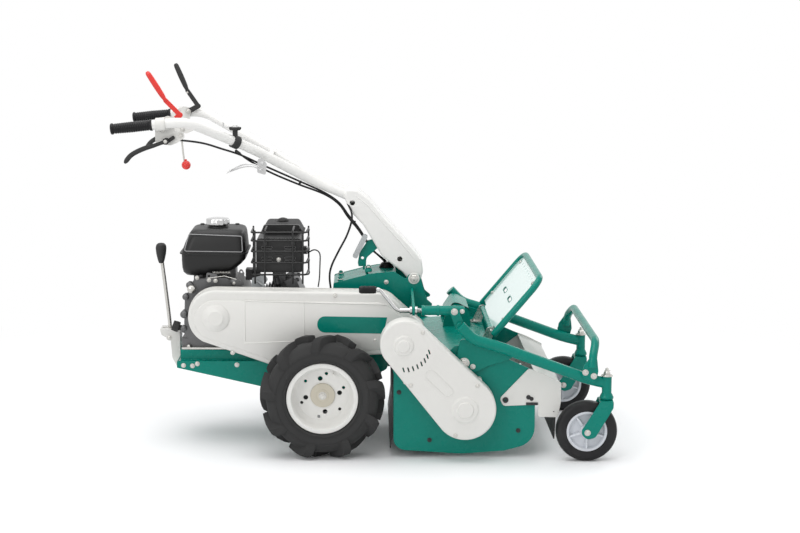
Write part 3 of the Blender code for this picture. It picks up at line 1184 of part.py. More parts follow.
def handle_column():
    """The hollow column, open along its lower back, with its pivot bolt and the latch's pin."""
    half = COLUMN_HALF
    shell = plate(column_outline(0), -half, half)
    hollow = plate(column_outline(COLUMN_WALL), COLUMN_WALL - half, half - COLUMN_WALL)
    opening = plate([(0.120, 0.700), (0.150, 0.740), (0.212, 0.650), (0.176, 0.612)], -0.044, 0.044)
    holes = [plate(circle(place, 0.009, 8), -half - 0.01, COLUMN_WALL - half + 0.01)
             for place in ((0.096, 0.813), (0.256, 0.622))]
    bolt = rod((COLUMN_X, -BASE_HALF - 0.002, COLUMN_Z), (COLUMN_X, BASE_HALF + 0.002, COLUMN_Z), COLUMN_BOLT,
               8)
    collars = [turned([(0, side * (half - 0.001)), (0.015, side * (half - 0.001)),
                       (0.015, side * (BASE_HALF - 0.005 - FIT)), (0, side * (BASE_HALF - 0.005 - FIT))],
                      (COLUMN_X, 0, COLUMN_Z), "Y", 8) for side in (RIGHT, LEFT)]
    heads = [hex_head((COLUMN_X, side * (BASE_HALF + FIT), COLUMN_Z), 0.014, side * 0.008)
             for side in (RIGHT, LEFT)]
    pin = rod((0.176, -half + 0.002, 0.676), (0.176, half - 0.002, 0.676), 0.005, 6)
    bars = [rod((-0.03, side * 0.039, 0.882), (0.130, side * 0.039, 0.815), bore(BAR_RADIUS, FIT, 12), 12)
            for side in (RIGHT, LEFT)]
    return fuse(cut(shell, hollow, opening, *holes, *bars), bolt, *collars, *heads, pin)


def bar_path(side):
    """The middle line of one side of the handle bar, from the grip to the column."""
    def grip_z(x):
        return GRIP_Z + GRIP_RISE * (x + 0.613)
    y = side * GRIP_Y
    corners = [(GRIP_REAR + 0.004, y, grip_z(GRIP_REAR)), (GRIP_FRONT, y, grip_z(GRIP_FRONT)),
               (-0.436, y, grip_z(-0.436)), (-0.231, side * 0.120, 0.999),
               (-0.030, side * 0.039, 0.882), (0.104, side * 0.039, 0.826)]
    return corners


def handle_bar():
    """The bent bar: one tube for each hand, joined by a cross tube inside the column."""
    pieces = []
    for side in (RIGHT, LEFT):
        corners = bar_path(side)
        straight = (Vector(corners[2]) - Vector(corners[1])).normalized()
        core = tube([corners[0], Vector(corners[1]) + straight * 0.010], 0.0125, 8)
        outer = tube(smooth_path(corners[1:], 0.05), BAR_RADIUS, 12)
        pieces += [core, outer]
    cross = rod((0.097, -0.040, 0.829), (0.097, 0.040, 0.829), 0.010, 6)
    stay = rod((-0.180, -0.100, 0.972), (-0.180, 0.100, 0.972), 0.0085, 6)
    return fuse(*pieces, cross, stay)


def grip(side):
    """The rubber grip with its end flange and finger rings."""
    start, end = (Vector(place) for place in bar_path(side)[:2])
    length = (end - start).length
    inner = bore(0.0125)
    profile = [(0, -0.005), (0.016, -0.005), (0.0185, -0.002), (0.0185, 0.003)]
    rings = 5
    for index in range(rings):
        place = 0.010 + (length - 0.020) * index / (rings - 1)
        profile += [(GRIP_RADIUS, place - 0.005), (GRIP_RADIUS, place + 0.005),
                    (GRIP_RADIUS - 0.0015, place + 0.008)]
    profile += [(GRIP_RADIUS + 0.001, length - 0.003), (GRIP_RADIUS + 0.001, length - FIT),
                (inner, length - FIT), (inner, -FIT), (0, -FIT)]
    body = turned(profile, (0, 0, 0), "X", 8)
    turn = Vector((1, 0, 0)).rotation_difference(end - start)
    body.transform(Matrix.Translation(start) @ turn.to_matrix().to_4x4())
    return body


def latch():
    """The latch plate that holds the column at its height: its tooth sits behind the stop of the base."""
    outline = rounded([(0.148, 0.682), (0.120, 0.640), (0.114, 0.606), (0.1165, 0.5935), (0.142, 0.5935),
                       (0.143, 0.622), (0.190, 0.664), (0.184, 0.690)],
                      [0.006, 0.02, 0.02, 0.001, 0.001, 0.02, 0.01, 0.01])
    body = plate(outline, -0.040, -0.032, "Y", [circle((0.176, 0.676), bore(0.005)),
                                                circle((0.130, 0.622), 0.005, 6)])
    tooth = plate([(0.1310, 0.596), (0.1310, 0.5815), (0.1380, 0.5815), (0.1380, 0.596)], -0.0395, -0.0325)
    return fuse(body, tooth)


def latch_pad():
    """The padded finger plate of the latch."""
    return plate(rounded([(0.134, 0.7065), (0.095, 0.6285), (0.1105, 0.6215), (0.1492, 0.6992)], 0.006),
                 -0.061, -0.040 - FIT)


def boot():
    """The ribbed rubber boot round the cables, on top of the base."""
    profile = [(0, 0.5785), (0.026, 0.5785)]
    for index in range(2):
        profile += [(0.026 - 0.003 * index, 0.582 + 0.007 * index),
                    (0.019 - 0.002 * index, 0.585 + 0.007 * index)]
    profile += [(0.016, 0.596), (0, 0.596)]
    return turned(profile, (0.212, 0.030, 0.0005 + FIT), "Z", 8)


def build_handle(paints, frame):
    """The handle base, the column with its latch, and the bar with its grips."""
    node("handle_base", handle_base(), paints["green"], frame)
    column = joint("column_pivot", (COLUMN_X, 0, COLUMN_Z), frame)
    node("handle_column", handle_column(), paints["white"], column)
    node("handle_bar", handle_bar(), paints["white"], column)
    for side in (RIGHT, LEFT):
        node(f"grip_{SIDE_NAME[side]}", grip(side), paints["rubber"], column)
    hook = joint("latch_pivot", (0.176, -0.036, 0.676), column)
    node("column_latch", latch(), paints["green"], hook)
    node("latch_pad", latch_pad(), paints["grey"], hook)
    return column


def lever_mount(side):
    """The white clamp plate that holds one side's hand levers."""
    y = side * GRIP_Y
    outline = rounded([(-0.540, 1.028), (-0.490, 1.022), (-0.470, 1.030), (-0.446, 1.046), (-0.446, 1.062),
                       (-0.477, 1.070), (-0.477, 1.086), (-0.472, 1.092), (-0.472, 1.112), (-0.500, 1.118),
                       (-0.540, 1.100)],
                      [0.010, 0.008, 0.008, 0.008, 0.008, 0.006, 0.002, 0.002, 0.008, 0.010, 0.010])
    centre = bar_path(side)[1:3]
    low, high = sorted((y - side * MOUNT_NEAR, y - side * MOUNT_FAR))
    holes = [circle(place, bore(0.004)) for place in ((-0.504, 1.037), (-0.482, 1.100), ROD_PIVOT)]
    holes.append(slot((-0.526, 1.086), (-0.512, 1.100), 0.003))
    body = plate(outline, low, high, "Y", holes)
    start, end = (Vector(place) for place in centre)
    along = (end - start).normalized()
    inner = bore(BAR_RADIUS, FIT, 12)
    ring = turned([(inner, 0.0), (inner + 0.005, 0.0), (inner + 0.005, 0.030), (inner, 0.030)],
                  (0, 0, 0), "X", 12, ring=True)
    turn = Vector((1, 0, 0)).rotation_difference(along)
    ring.transform(Matrix.Translation(start + along * 0.012) @ turn.to_matrix().to_4x4())
    return fuse(body, ring)


def hand_lever(side):
    """The lever under a grip, cranked down from its pivot."""
    y = side * GRIP_Y
    path = spline_path([(-0.504, y, 1.037), (-0.540, y, 1.024), (-0.576, y, 1.013), (-0.615, y, 0.993),
                        (-0.638, y, 0.966)], 4)
    sections = []
    for index, place in enumerate(path):
        back, ahead = path[max(index - 1, 0)], path[min(index + 1, len(path) - 1)]
        run = (ahead - back).normalized()
        out = Vector((-run.z, 0, run.x))
        half = 0.0065 if index < 4 else 0.0080
        width = 0.006 if index < 4 else 0.010
        ring = [(a * width, b * half) for a, b in ((-1, 0), (-0.6, -1), (0.6, -1), (1, 0), (0.6, 1),
                                                   (-0.6, 1))]
        sections.append([place + Vector((0, a, 0)) + out * b for a, b in ring])
    blade = loft(sections)
    low, high = sorted((y - side * 0.0145, y + side * 0.007))
    eye = plate(circle((-0.504, 1.037), 0.0105, 8), low, high)
    arm_up = plate(rounded([(-0.512, 1.034), (-0.496, 1.030), (-0.474, 1.046), (-0.480, 1.056)], 0.004),
                   *sorted((y - side * 0.0140, y - side * 0.0080)))
    pin = rod((-0.504, y - side * 0.012, 1.037), (-0.504, y - side * 0.030, 1.037), 0.004, 6)
    head = hex_head((-0.504, y - side * (MOUNT_FAR + FIT), 1.037), 0.0075, -side * 0.005)
    return fuse(blade, eye, arm_up, pin, head)


def quadrant_lever(side, colour_end):
    """The tall lever above a grip: a flat arm from its pivot with a round handle at its end."""
    y = side * (GRIP_Y - LEVER_INSET)
    pivot = Vector((-0.482, y, 1.100))
    elbow, hole, end = ((-0.456, 1.124), (-0.503, 1.166), colour_end)
    low, high = sorted((y - side * 0.002, y + side * 0.002))
    lower = plate(slot((pivot.x, pivot.z), elbow, 0.009), low, high)
    middle = plate(slot(elbow, hole, 0.0075), low, high)
    way = Vector((end[0] - hole[0], 0, end[1] - hole[1])).normalized()
    start = Vector((hole[0], y, hole[1]))
    finish = Vector((end[0], y, end[1]))
    handle = tube([start - way * 0.004, start + way * 0.006, start + way * 0.020, start.lerp(finish, 0.6),
                   finish - way * 0.006, finish], [0.004, 0.0065, 0.0085, 0.0095, 0.0085, 0.005], 6)
    pin = rod((pivot.x, y - side * 0.009, pivot.z), (pivot.x, y + side * 0.0115, pivot.z), 0.004)
    head = hex_head((pivot.x, y - side * 0.001, pivot.z), 0.008, -side * 0.007)
    boss = rod((pivot.x, y, pivot.z), (pivot.x, y + side * (LEVER_INSET - MOUNT_FAR - FIT), pivot.z), 0.009,
               6)
    return fuse(lower, middle, handle, pin, head, boss)


def control_rod():
    """The short rod that hangs from a pin in the right lever mount, with a ball on its lower end."""
    x, z = ROD_PIVOT
    wire = tube([(x, ROD_Y, z - 0.004), (x + 0.002, ROD_Y, z - 0.020), (x + 0.009, ROD_Y, z - 0.092)], 0.003,
                5)
    eye = plate(circle((x, z), 0.008, 8), ROD_Y - 0.003, ROD_Y + 0.003)
    face = -GRIP_Y + MOUNT_NEAR - FIT
    pin = rod((x, ROD_Y, z), (x, face - 0.002, z), 0.004)
    head = plate(circle((x, z), 0.0065, 6), face - 0.003, face)
    ball = turned([(0, -0.015), (0.0075, -0.013), (0.013, -0.0075), (0.015, 0), (0.013, 0.0075),
                   (0.0075, 0.013), (0, 0.015)], (x + 0.014, ROD_Y, z - 0.0985), "Z")
    return fuse(wire, eye, pin, head, ball)


def throttle_box():
    """The throttle's clamp and housing on the bar's bend."""
    place, along = THROTTLE_PLACE, THROTTLE_ALONG
    inner = bore(BAR_RADIUS, FIT, 12)
    ring = turned([(inner, -0.012), (inner + 0.005, -0.012), (inner + 0.005, 0.012), (inner, 0.012)],
                  (0, 0, 0), "X", 12, ring=True)
    turn = Vector((1, 0, 0)).rotation_difference(along)
    ring.transform(Matrix.Translation(place) @ turn.to_matrix().to_4x4())
    post = block((place.x - 0.005, place.y - 0.010, place.z + BAR_RADIUS + 0.0046),
                 (place.x + 0.005, place.y + 0.010, place.z + BAR_RADIUS + 0.024))
    dial = turned([(0, 0.0), (0.016, 0.0), (0.020, 0.004), (0.020, 0.010), (0, 0.010)],
                  (place.x, place.y, place.z + BAR_RADIUS + 0.022), "Z", 10)
    return fuse(ring, post, dial)


def throttle_lever():
    """The thumb lever on the throttle's dial."""
    place = THROTTLE_PLACE
    top = place.z + BAR_RADIUS + 0.032 + FIT
    hub = turned([(0, 0), (0.013, 0), (0.013, 0.004), (0.007, 0.006), (0, 0.006)], (place.x, place.y, top),
                 "Z", 8)
    blade = plate([(-0.008, -0.006), (0.006, -0.007), (0.044, -0.004), (0.044, 0.004), (0.006, 0.007),
                   (-0.008, 0.006)], 0.0005, 0.0035, "Z")
    blade.transform(Matrix.Translation((place.x, place.y, top)) @ Matrix.Rotation(radians(200), 4, "Z"))
    tab = block((0.038, -0.005, 0.0005), (0.042, 0.005, 0.016))
    tab.transform(Matrix.Translation((place.x, place.y, top)) @ Matrix.Rotation(radians(200), 4, "Z"))
    return fuse(hub, blade, tab)


def bar_cables():
    """The control cables: they run under the bar and down behind the column into the boot."""
    clutch = [(-0.490, -0.2212, 1.040), (-0.440, -0.2190, 1.036), (-0.385, -0.2020, 1.026),
              (-0.330, -0.1760, 1.006),
              (-0.270, -0.1420, 0.982), (-0.200, -0.1000, 0.944), (-0.080, -0.0500, 0.884),
              (0.000, -0.0250, 0.844),
              (0.050, -0.0140, 0.808), (0.082, -0.0120, 0.765), (0.120, -0.0100, 0.716),
              (0.160, -0.0040, 0.650),
              (0.190, 0.0080, 0.618), (0.206, 0.0180, 0.6000)]
    throttle = [(-0.286, -0.1546, 0.998), (-0.245, -0.1200, 0.962), (-0.180, -0.0860, 0.920),
                (-0.090, -0.0480, 0.876),
                (0.000, -0.0160, 0.837), (0.050, -0.0050, 0.801), (0.080, -0.0030, 0.758),
                (0.118, -0.0010, 0.710),
                (0.158, 0.0060, 0.648), (0.190, 0.0180, 0.618), (0.210, 0.0300, 0.6000)]
    lines = [tube(path, 0.0034, 5) for path in (clutch, throttle)]
    clips = []
    for place, lean in (((-0.080, -0.0465, 0.879), 25), ((0.100, -0.0065, 0.738), 52)):
        clip = block((-0.004, -0.011, -0.007), (0.004, 0.011, 0.007))
        clip.transform(Matrix.Translation(place) @ Matrix.Rotation(radians(lean), 4, "Y"))
        clips.append(clip)
    return fuse(*lines, *clips)


def build_controls(paints, column):
    """The levers on the handle bar, their mounts and their cables."""
    for side in (RIGHT, LEFT):
        name = SIDE_NAME[side]
        node(f"lever_mount_{name}", lever_mount(side), paints["white"], column)
        pivot = joint(f"hand_lever_pivot_{name}", (-0.504, side * GRIP_Y, 1.037), column)
        node(f"hand_lever_{name}", hand_lever(side), paints["black"], pivot)
    red = joint("drive_lever_pivot", (-0.482, LEVER_INSET - GRIP_Y, 1.100), column)
    node("drive_lever", quadrant_lever(RIGHT, DRIVE_LEVER_TIP), paints["red"], red)
    black = joint("cutter_lever_pivot", (-0.482, GRIP_Y - LEVER_INSET, 1.100), column)
    node("cutter_lever", quadrant_lever(LEFT, CUTTER_LEVER_TIP), paints["black"], black)
    hanger = joint("control_rod_pivot", (ROD_PIVOT[0], ROD_Y, ROD_PIVOT[1]), column)
    node("control_rod", control_rod(), paints["red"], hanger)
    node("throttle_box", throttle_box(), paints["black"], column)
    node("control_cables", bar_cables(), paints["rubber"], column)
    dial = joint("throttle_axis", THROTTLE_PLACE, column)
    node("throttle_lever", throttle_lever(), paints["chrome"], dial)


def gear_bracket():
    """The folded bracket behind the frame with the shift gate."""
    back, low, high = FRAME_REAR - 0.0045, 0.2432, 0.3745
    outline = rounded([(FRAME_REAR - 0.069, high), (FRAME_REAR - FIT, high), (FRAME_REAR - FIT, low),
                       (FRAME_REAR - 0.0105, low), (FRAME_REAR - 0.028, 0.2756), (FRAME_REAR - 0.0325, 0.3373),
                       (FRAME_REAR - 0.0635, 0.3547)],
                      [0.004, 0.002, 0.002, 0.003, 0.03, 0.01, 0.006])
    cheeks = [plate(outline, side, side + 0.004) for side in (-0.034, 0.030)]
    gate = block((FRAME_REAR - 0.0685, -0.0335, high - 0.0045), (FRAME_REAR - 0.0010, 0.0335, high - 0.0003))
    slot_cut = plate(slot((SHIFT_X - 0.015, 0.0), (SHIFT_X + 0.015, 0.0), SHIFT_RADIUS + 0.003), 0.36, 0.39, "Z")
    wall = block((back, -0.0335, low + 0.0005), (FRAME_REAR - FIT - 0.0002, 0.0335, high - 0.001))
    spindle = rod((SHIFT_X, -0.033, SHIFT_Z), (SHIFT_X, 0.033, SHIFT_Z), 0.005, 6)
    bolts = [hex_head((back, y, 0.277), 0.006, -0.004, "X") for y in (-0.018, 0.018)]
    return fuse(*cheeks, cut(gate, slot_cut), wall, spindle, *bolts)


def shift_lever():
    """The long gear lever with its round knob."""
    eye = turned([(bore(0.005), -0.012), (0.011, -0.012), (0.011, 0.012), (bore(0.005), 0.012)],
                 (SHIFT_X, 0, SHIFT_Z), "Y", 8, ring=True)
    stem = tube([(SHIFT_X - 0.0002, 0, SHIFT_Z + 0.0095), (SHIFT_X - 0.001, 0, 0.390), (SHIFT_TOP_X + 0.003, 0, 0.600),
                 (SHIFT_TOP_X, 0, SHIFT_TOP_Z - 0.02)], [0.0065, 0.0065, 0.0062, 0.0062], 6)
    knob = turned([(0, -0.052), (0.008, -0.052), (0.012, -0.040), (0.0165, -0.020), (0.0185, 0.0),
                   (0.0165, 0.010), (0.010, 0.016), (0, 0.018)], (SHIFT_TOP_X, 0, SHIFT_TOP_Z), "Z", 10)
    return fuse(eye, stem, knob)


def build_shift(paints, frame):
    """The gear lever and its gate."""
    node("gear_bracket", gear_bracket(), paints["white"], frame)
    pivot = joint("shift_pivot", (SHIFT_X, 0, SHIFT_Z), frame)
    node("shift_lever", shift_lever(), paints["dark"], pivot)


def height_crank():
    """The crank with its screw, which draws the adjuster tube back and forth."""
    top = ADJUSTER_Z + CRANK_REACH
    screw = rod((0.252, ADJUSTER_Y, ADJUSTER_Z), (0.395, ADJUSTER_Y, ADJUSTER_Z), SCREW_RADIUS)
    collars = [rod((x, ADJUSTER_Y, ADJUSTER_Z), (x + CRANK_COLLAR, ADJUSTER_Y, ADJUSTER_Z), 0.0135)
               for x in (CRANK_PLATE_X - CRANK_COLLAR - FIT, CRANK_PLATE_X + CRANK_PLATE + FIT)]
    crank_arm = tube(smooth_path([(0.262, ADJUSTER_Y, ADJUSTER_Z), (0.243, ADJUSTER_Y, ADJUSTER_Z),
                                  (0.187, ADJUSTER_Y, top), (0.178, ADJUSTER_Y, top)], 0.012), 0.0055, 6)
    sleeve = rod((0.177, ADJUSTER_Y, top), (0.186, ADJUSTER_Y, top), 0.0078)
    spindle = rod((0.182, ADJUSTER_Y, top), (0.122, ADJUSTER_Y, top), 0.0042, 6)
    return fuse(screw, *collars, crank_arm, sleeve, spindle)


def crank_grip():
    """The loose grip on the crank's spindle."""
    return turned([(bore(0.0042), 0.120), (0.009, 0.1185), (0.0120, 0.124), (0.0125, 0.150), (0.0115, 0.174),
                   (bore(0.0042), 0.1755)], (0, ADJUSTER_Y, ADJUSTER_Z + CRANK_REACH), "X", 8, ring=True)


def adjuster_tube():
    """The tube that slides on the screw and carries the castor arm's link in its slotted end."""
    body = turned([(bore(SCREW_RADIUS), ADJUSTER_REAR), (ADJUSTER_RADIUS + 0.002, ADJUSTER_REAR),
                   (ADJUSTER_RADIUS + 0.002, ADJUSTER_REAR + 0.008), (ADJUSTER_RADIUS, ADJUSTER_REAR + 0.010),
                   (ADJUSTER_RADIUS, ADJUSTER_FRONT), (bore(SCREW_RADIUS), ADJUSTER_FRONT)],
                  (0, ADJUSTER_Y, ADJUSTER_Z), "X", 8, ring=True)
    way = plate(slot((LINK_PIN_X, ADJUSTER_Z - 0.004), (LINK_PIN_X, ADJUSTER_Z + 0.004), bore(LINK_PIN)),
                ADJUSTER_Y - 0.03, ADJUSTER_Y + 0.03)
    bolt = rod((0.4535, ADJUSTER_Y - ADJUSTER_RADIUS - 0.003, ADJUSTER_Z),
               (0.4535, ADJUSTER_Y - ADJUSTER_RADIUS + 0.005, ADJUSTER_Z), 0.006, 6)
    return fuse(cut(body, way), bolt)


def build_height_gear(paints, frame):
    """The crank, its grip and the sliding tube that sets the cutting height."""
    axis = joint("height_crank_axis", (CRANK_PLATE_X, ADJUSTER_Y, ADJUSTER_Z), frame)
    node("height_crank", height_crank(), paints["chrome"], axis)
    grip_axis = joint("crank_grip_axis", (0.150, ADJUSTER_Y, ADJUSTER_Z + CRANK_REACH), axis)
    node("crank_grip", crank_grip(), paints["black"], grip_axis)
    slide = joint("adjuster_slide", (ADJUSTER_REAR, ADJUSTER_Y, ADJUSTER_Z), frame)
    node("adjuster_tube", adjuster_tube(), paints["green"], slide)


def lid_place(along, out=0.0):
    """A place on the lid, from its hinge, in X and Z."""
    tilt = radians(LID_TILT)
    return (LID_X + along * cos(tilt) - out * sin(tilt), LID_Z + along * sin(tilt) + out * cos(tilt))


def lid():
    """The lid: a sheet in a hoop of tube, with finger slots and a hinge sleeve."""
    tilt = radians(LID_TILT)
    corners = [(*lid_place(along), across) for along, across in
               ((0.004, -LID_LOW_HALF), (LID_LENGTH, -LID_TOP_HALF), (LID_LENGTH, LID_TOP_HALF),
                (0.004, LID_LOW_HALF))]
    hoop = tube(smooth_path([(x, y, z) for x, z, y in corners], 0.055), LID_TUBE, 6)
    outline = rounded([(0.018, -LID_LOW_HALF), (LID_LENGTH, -LID_TOP_HALF), (LID_LENGTH, LID_TOP_HALF),
                       (0.018, LID_LOW_HALF), (0.018, 0.172), (0.000, 0.172), (0.000, -0.172),
                       (0.018, -0.172)],
                      [0.002, 0.05, 0.05, 0.002, 0, 0, 0, 0])
    holes = [circle((LID_LENGTH - 0.026, -0.20 + 0.05 * index), 0.0045, 6) for index in range(9)]
    holes += [slot((0.110, y - 0.030), (0.110, y + 0.030), 0.006) for y in (-0.085, 0.085)]
    panel = plate(outline, -LID_SHEET / 2, LID_SHEET / 2, "Z", holes)
    ribs = [block((0.050, y - 0.006, -0.007), (0.200, y + 0.006, 0.0)) for y in (-0.150, 0.0, 0.150)]
    for mesh in (panel, *ribs):
        mesh.transform(Matrix.Translation((LID_X, 0, LID_Z)) @ Matrix.Rotation(-tilt, 4, "Y"))
    sleeve = rod((LID_X, -0.180, LID_Z), (LID_X, 0.180, LID_Z), 0.0100)
    way = rod((LID_X, -0.2, LID_Z), (LID_X, 0.2, LID_Z), bore(0.0055))
    return cut(fuse(hoop, panel, *ribs, sleeve), way)


def lid_bracket():
    """The hinge rod and its two ears on the deck."""
    hinge = rod((LID_X, -0.198, LID_Z), (LID_X, 0.198, LID_Z), 0.0055, 6)
    ears = []
    for y in (-0.190, 0.190):
        ears.append(plate(rounded([(LID_X - 0.040, 0.3558), (LID_X - 0.006, 0.3558),
                                   (LID_X + 0.012, LID_Z - 0.004),
                                   (LID_X + 0.008, LID_Z + 0.012), (LID_X - 0.012, LID_Z + 0.010)],
                                  [0.003, 0.003, 0.01, 0.01, 0.01]), y - 0.003, y + 0.003))
    feet = [block((LID_X - 0.044, y - 0.016, 0.3558), (LID_X - 0.006, y + 0.016, 0.3597))
            for y in (-0.190, 0.190)]
    heads = [hex_head((LID_X - 0.032, y + side * 0.010, 0.3590), 0.005, 0.004, "Z")
             for y in (-0.190, 0.190) for side in (-1, 1)]
    return fuse(hinge, *ears, *feet, *heads)


def build_lid(paints, frame):
    """The lid with its bracket."""
    node("lid_bracket", lid_bracket(), paints["steel"], frame)
    hinge = joint("lid_hinge", (LID_X, 0, LID_Z), frame)
    node("front_lid", lid(), paints["green"], hinge)


def stand_on_origin(frame):
    """Move the machine so that the bottom centre of its box is the world's origin."""
    bpy.context.view_layer.update()
    places = [thing.matrix_world @ Vector(corner) for thing in bpy.data.objects if thing.type == "MESH"
              for corner in thing.bound_box]
    low = [min(place[axis] for place in places) for axis in range(3)]
    high = [max(place[axis] for place in places) for axis in range(3)]
    frame.location = (-(low[0] + high[0]) / 2, -(low[1] + high[1]) / 2, -low[2])


def main():
    """Build the machine."""
    clear_scene()
    paints = {
        "green": paint("green_paint", (0.000, 0.235, 0.170), 0.30),
        "white": paint("white_paint", (0.760, 0.750, 0.720), 0.35),
        "cast": paint("cast_metal", (0.400, 0.400, 0.400), 0.55, 0.6),
        "black": paint("black_enamel", (0.010, 0.010, 0.011), 0.20),
        "dark": paint("dark_heat_paint", (0.015, 0.015, 0.015), 0.55),
        "steel": paint("plated_steel", (0.560, 0.550, 0.520), 0.35, 1.0),
        "chrome": paint("bright_plating", (0.800, 0.800, 0.800), 0.12, 1.0),
        "rubber": paint("rubber", (0.022, 0.022, 0.024), 0.75),
        "red": paint("red_plastic", (0.680, 0.030, 0.025), 0.40),
        "grey": paint("grey_plastic", (0.450, 0.470, 0.480), 0.45),
    }
    frame = build_chassis(paints)
    for side in (RIGHT, LEFT):
        build_drive_wheel(side, paints, frame)
    build_engine(paints, frame)
    build_belt_drive(paints, frame)
    build_deck(paints, frame)
    build_castors(paints, frame)
    build_height_gear(paints, frame)
    build_lid(paints, frame)
    column = build_handle(paints, frame)
    node("cable_boot", boot(), paints["rubber"], frame)
    build_controls(paints, column)
    build_shift(paints, frame)
    stand_on_origin(frame)


main()
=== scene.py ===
"""The looks of a walk-behind hammer knife mower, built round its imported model.

Every piece is designed in one datum frame, in metres: the ground under the
drive axle, the machine's middle plane, +X forward, +Z up and the machine's
right side at -Y. A Form gathers the geometry of a piece there and moves it to
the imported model's frame when it becomes an object.
"""

import json
import logging
from dataclasses import dataclass
from enum import Enum
from math import atan2, cos, degrees, hypot, pi, radians, sin, sqrt, tan
from typing import Callable, Iterable, Sequence

import bmesh
import bpy
from mathutils import Matrix, Vector


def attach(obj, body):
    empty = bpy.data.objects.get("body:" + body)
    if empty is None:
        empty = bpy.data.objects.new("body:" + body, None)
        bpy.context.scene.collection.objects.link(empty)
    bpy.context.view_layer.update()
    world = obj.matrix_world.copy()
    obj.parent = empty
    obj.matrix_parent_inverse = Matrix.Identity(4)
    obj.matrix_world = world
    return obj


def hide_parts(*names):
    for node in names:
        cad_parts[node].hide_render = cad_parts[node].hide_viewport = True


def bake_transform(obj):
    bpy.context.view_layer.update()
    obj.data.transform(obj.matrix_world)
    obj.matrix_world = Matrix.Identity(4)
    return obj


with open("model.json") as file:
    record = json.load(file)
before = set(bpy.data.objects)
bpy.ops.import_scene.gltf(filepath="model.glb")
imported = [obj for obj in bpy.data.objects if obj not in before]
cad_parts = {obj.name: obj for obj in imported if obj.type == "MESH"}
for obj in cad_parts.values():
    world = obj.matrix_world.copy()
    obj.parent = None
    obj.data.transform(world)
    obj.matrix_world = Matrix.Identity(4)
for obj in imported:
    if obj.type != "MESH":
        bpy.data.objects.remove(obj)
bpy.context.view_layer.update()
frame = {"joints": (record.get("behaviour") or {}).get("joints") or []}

LOG = logging.getLogger("mower")

Point2 = tuple[float, float]
Point3 = Sequence[float]
Outline = list[Point2]
Colour = tuple[float, float, float]
Node = bpy.types.Node
Socket = bpy.types.NodeSocket
Tree = bpy.types.NodeTree

# Sizes in metres: the gap between parts that fit, the rounded edges of bolts and of pins, the thickness
# of a washer, the distance between the drive wheels and the radius of their tyres.
FIT = 0.0003
BOLT_EDGE = 0.0004
PIN_EDGE = 0.0003
WASHER = 0.0014
WHEEL_TRACK = 0.57
TYRE_RADIUS = 0.205
# A length that counts as nothing, and the most of an edge that the arc of a rounded corner takes.
TINY = 1e-6
ARC_SHARE = 0.49
# The least that a corner counts with when an outline shrinks, so that sharp corners don't run away.
LEAST_SPREAD = 0.4


class Side(Enum):
    """A side of the machine. The value is the sign of Y."""

    RIGHT = -1
    LEFT = 1

    @property
    def word(self) -> str:
        """The side's name in lower case."""
        return self.name.lower()


class Axis(Enum):
    """The direction that an outline is extruded in or a profile is turned about."""

    X = 0
    Y = 1
    Z = 2

    def frame(self) -> tuple[Vector, Vector, Vector]:
        """The outline's two directions and the axis itself."""
        x, y, z = Vector((1, 0, 0)), Vector((0, 1, 0)), Vector((0, 0, 1))
        return {Axis.X: (y, z, x), Axis.Y: (x, z, y), Axis.Z: (x, y, z)}[self]


def datum_shift() -> Vector:
    """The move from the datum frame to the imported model's frame."""
    wheel = next(joint for joint in frame["joints"] if joint["name"] == "right_wheel")
    return Vector(wheel["pos_m"]) - Vector((0, -WHEEL_TRACK / 2, TYRE_RADIUS))


SHIFT = datum_shift()


def circle(centre: Point2, radius: float, steps: int = 32, start: float = 0.0,
        sweep: float = 360.0) -> Outline:
    """Points on a circle or an arc.

    Args:
        centre: the middle of the circle.
        radius: its radius.
        steps: the number of straight pieces.
        start: the first angle in degrees.
        sweep: the angle in degrees that the arc covers.

    Returns:
        The points, without a repeated last one on a full circle.
    """
    count = steps if sweep == 360.0 else steps + 1
    return [(centre[0] + radius * cos(radians(start + sweep * step / steps)),
        centre[1] + radius * sin(radians(start + sweep * step / steps))) for step in range(count)]


def rectangle(low: float, bottom: float, high: float, top: float) -> Outline:
    """The four corners of a rectangle."""
    return [(low, bottom), (high, bottom), (high, top), (low, top)]


def slot(start: Point2, end: Point2, radius: float, steps: int = 10) -> Outline:
    """The outline of a slot with round ends."""
    heading = degrees(atan2(end[1] - start[1], end[0] - start[0]))
    return circle(end, radius, steps, heading - 90, 180) + circle(start, radius, steps, heading + 90, 180)


def rounded(points: Sequence[Point2], radius: float | Sequence[float], arc_step: float = 12.0) -> Outline:
    """An outline whose corners are arcs.

    Args:
        points: the sharp corners in order.
        radius: one radius, or one for each corner.
        arc_step: degrees of arc for each straight piece.

    Returns:
        The outline with its corners rounded.
    """
    count = len(points)
    radii = [radius] * count if isinstance(radius, (int, float)) else radius
    outline: Outline = []
    for index, corner in enumerate(points):
        here = Vector(corner)
        back = Vector(points[index - 1]) - here
        ahead = Vector(points[(index + 1) % count]) - here
        half = back.angle(ahead) / 2
        reach = min(radii[index] / tan(half), ARC_SHARE * back.length, ARC_SHARE * ahead.length)
        if reach < 10 * TINY or half > radians(89):
            outline.append((here.x, here.y))
            continue
        start = here + back.normalized() * reach
        end = here + ahead.normalized() * reach
        middle = here + (back.normalized() + ahead.normalized()).normalized() * (reach / cos(half))
        turn = (start - middle).angle_signed(end - middle)
        steps = max(2, round(degrees(abs(turn)) / arc_step))
        arm = start - middle
        for step in range(steps + 1):
            angle = turn * step / steps
            outline.append((middle.x + arm.x * cos(angle) + arm.y * sin(angle),
                middle.y - arm.x * sin(angle) + arm.y * cos(angle)))
    return outline


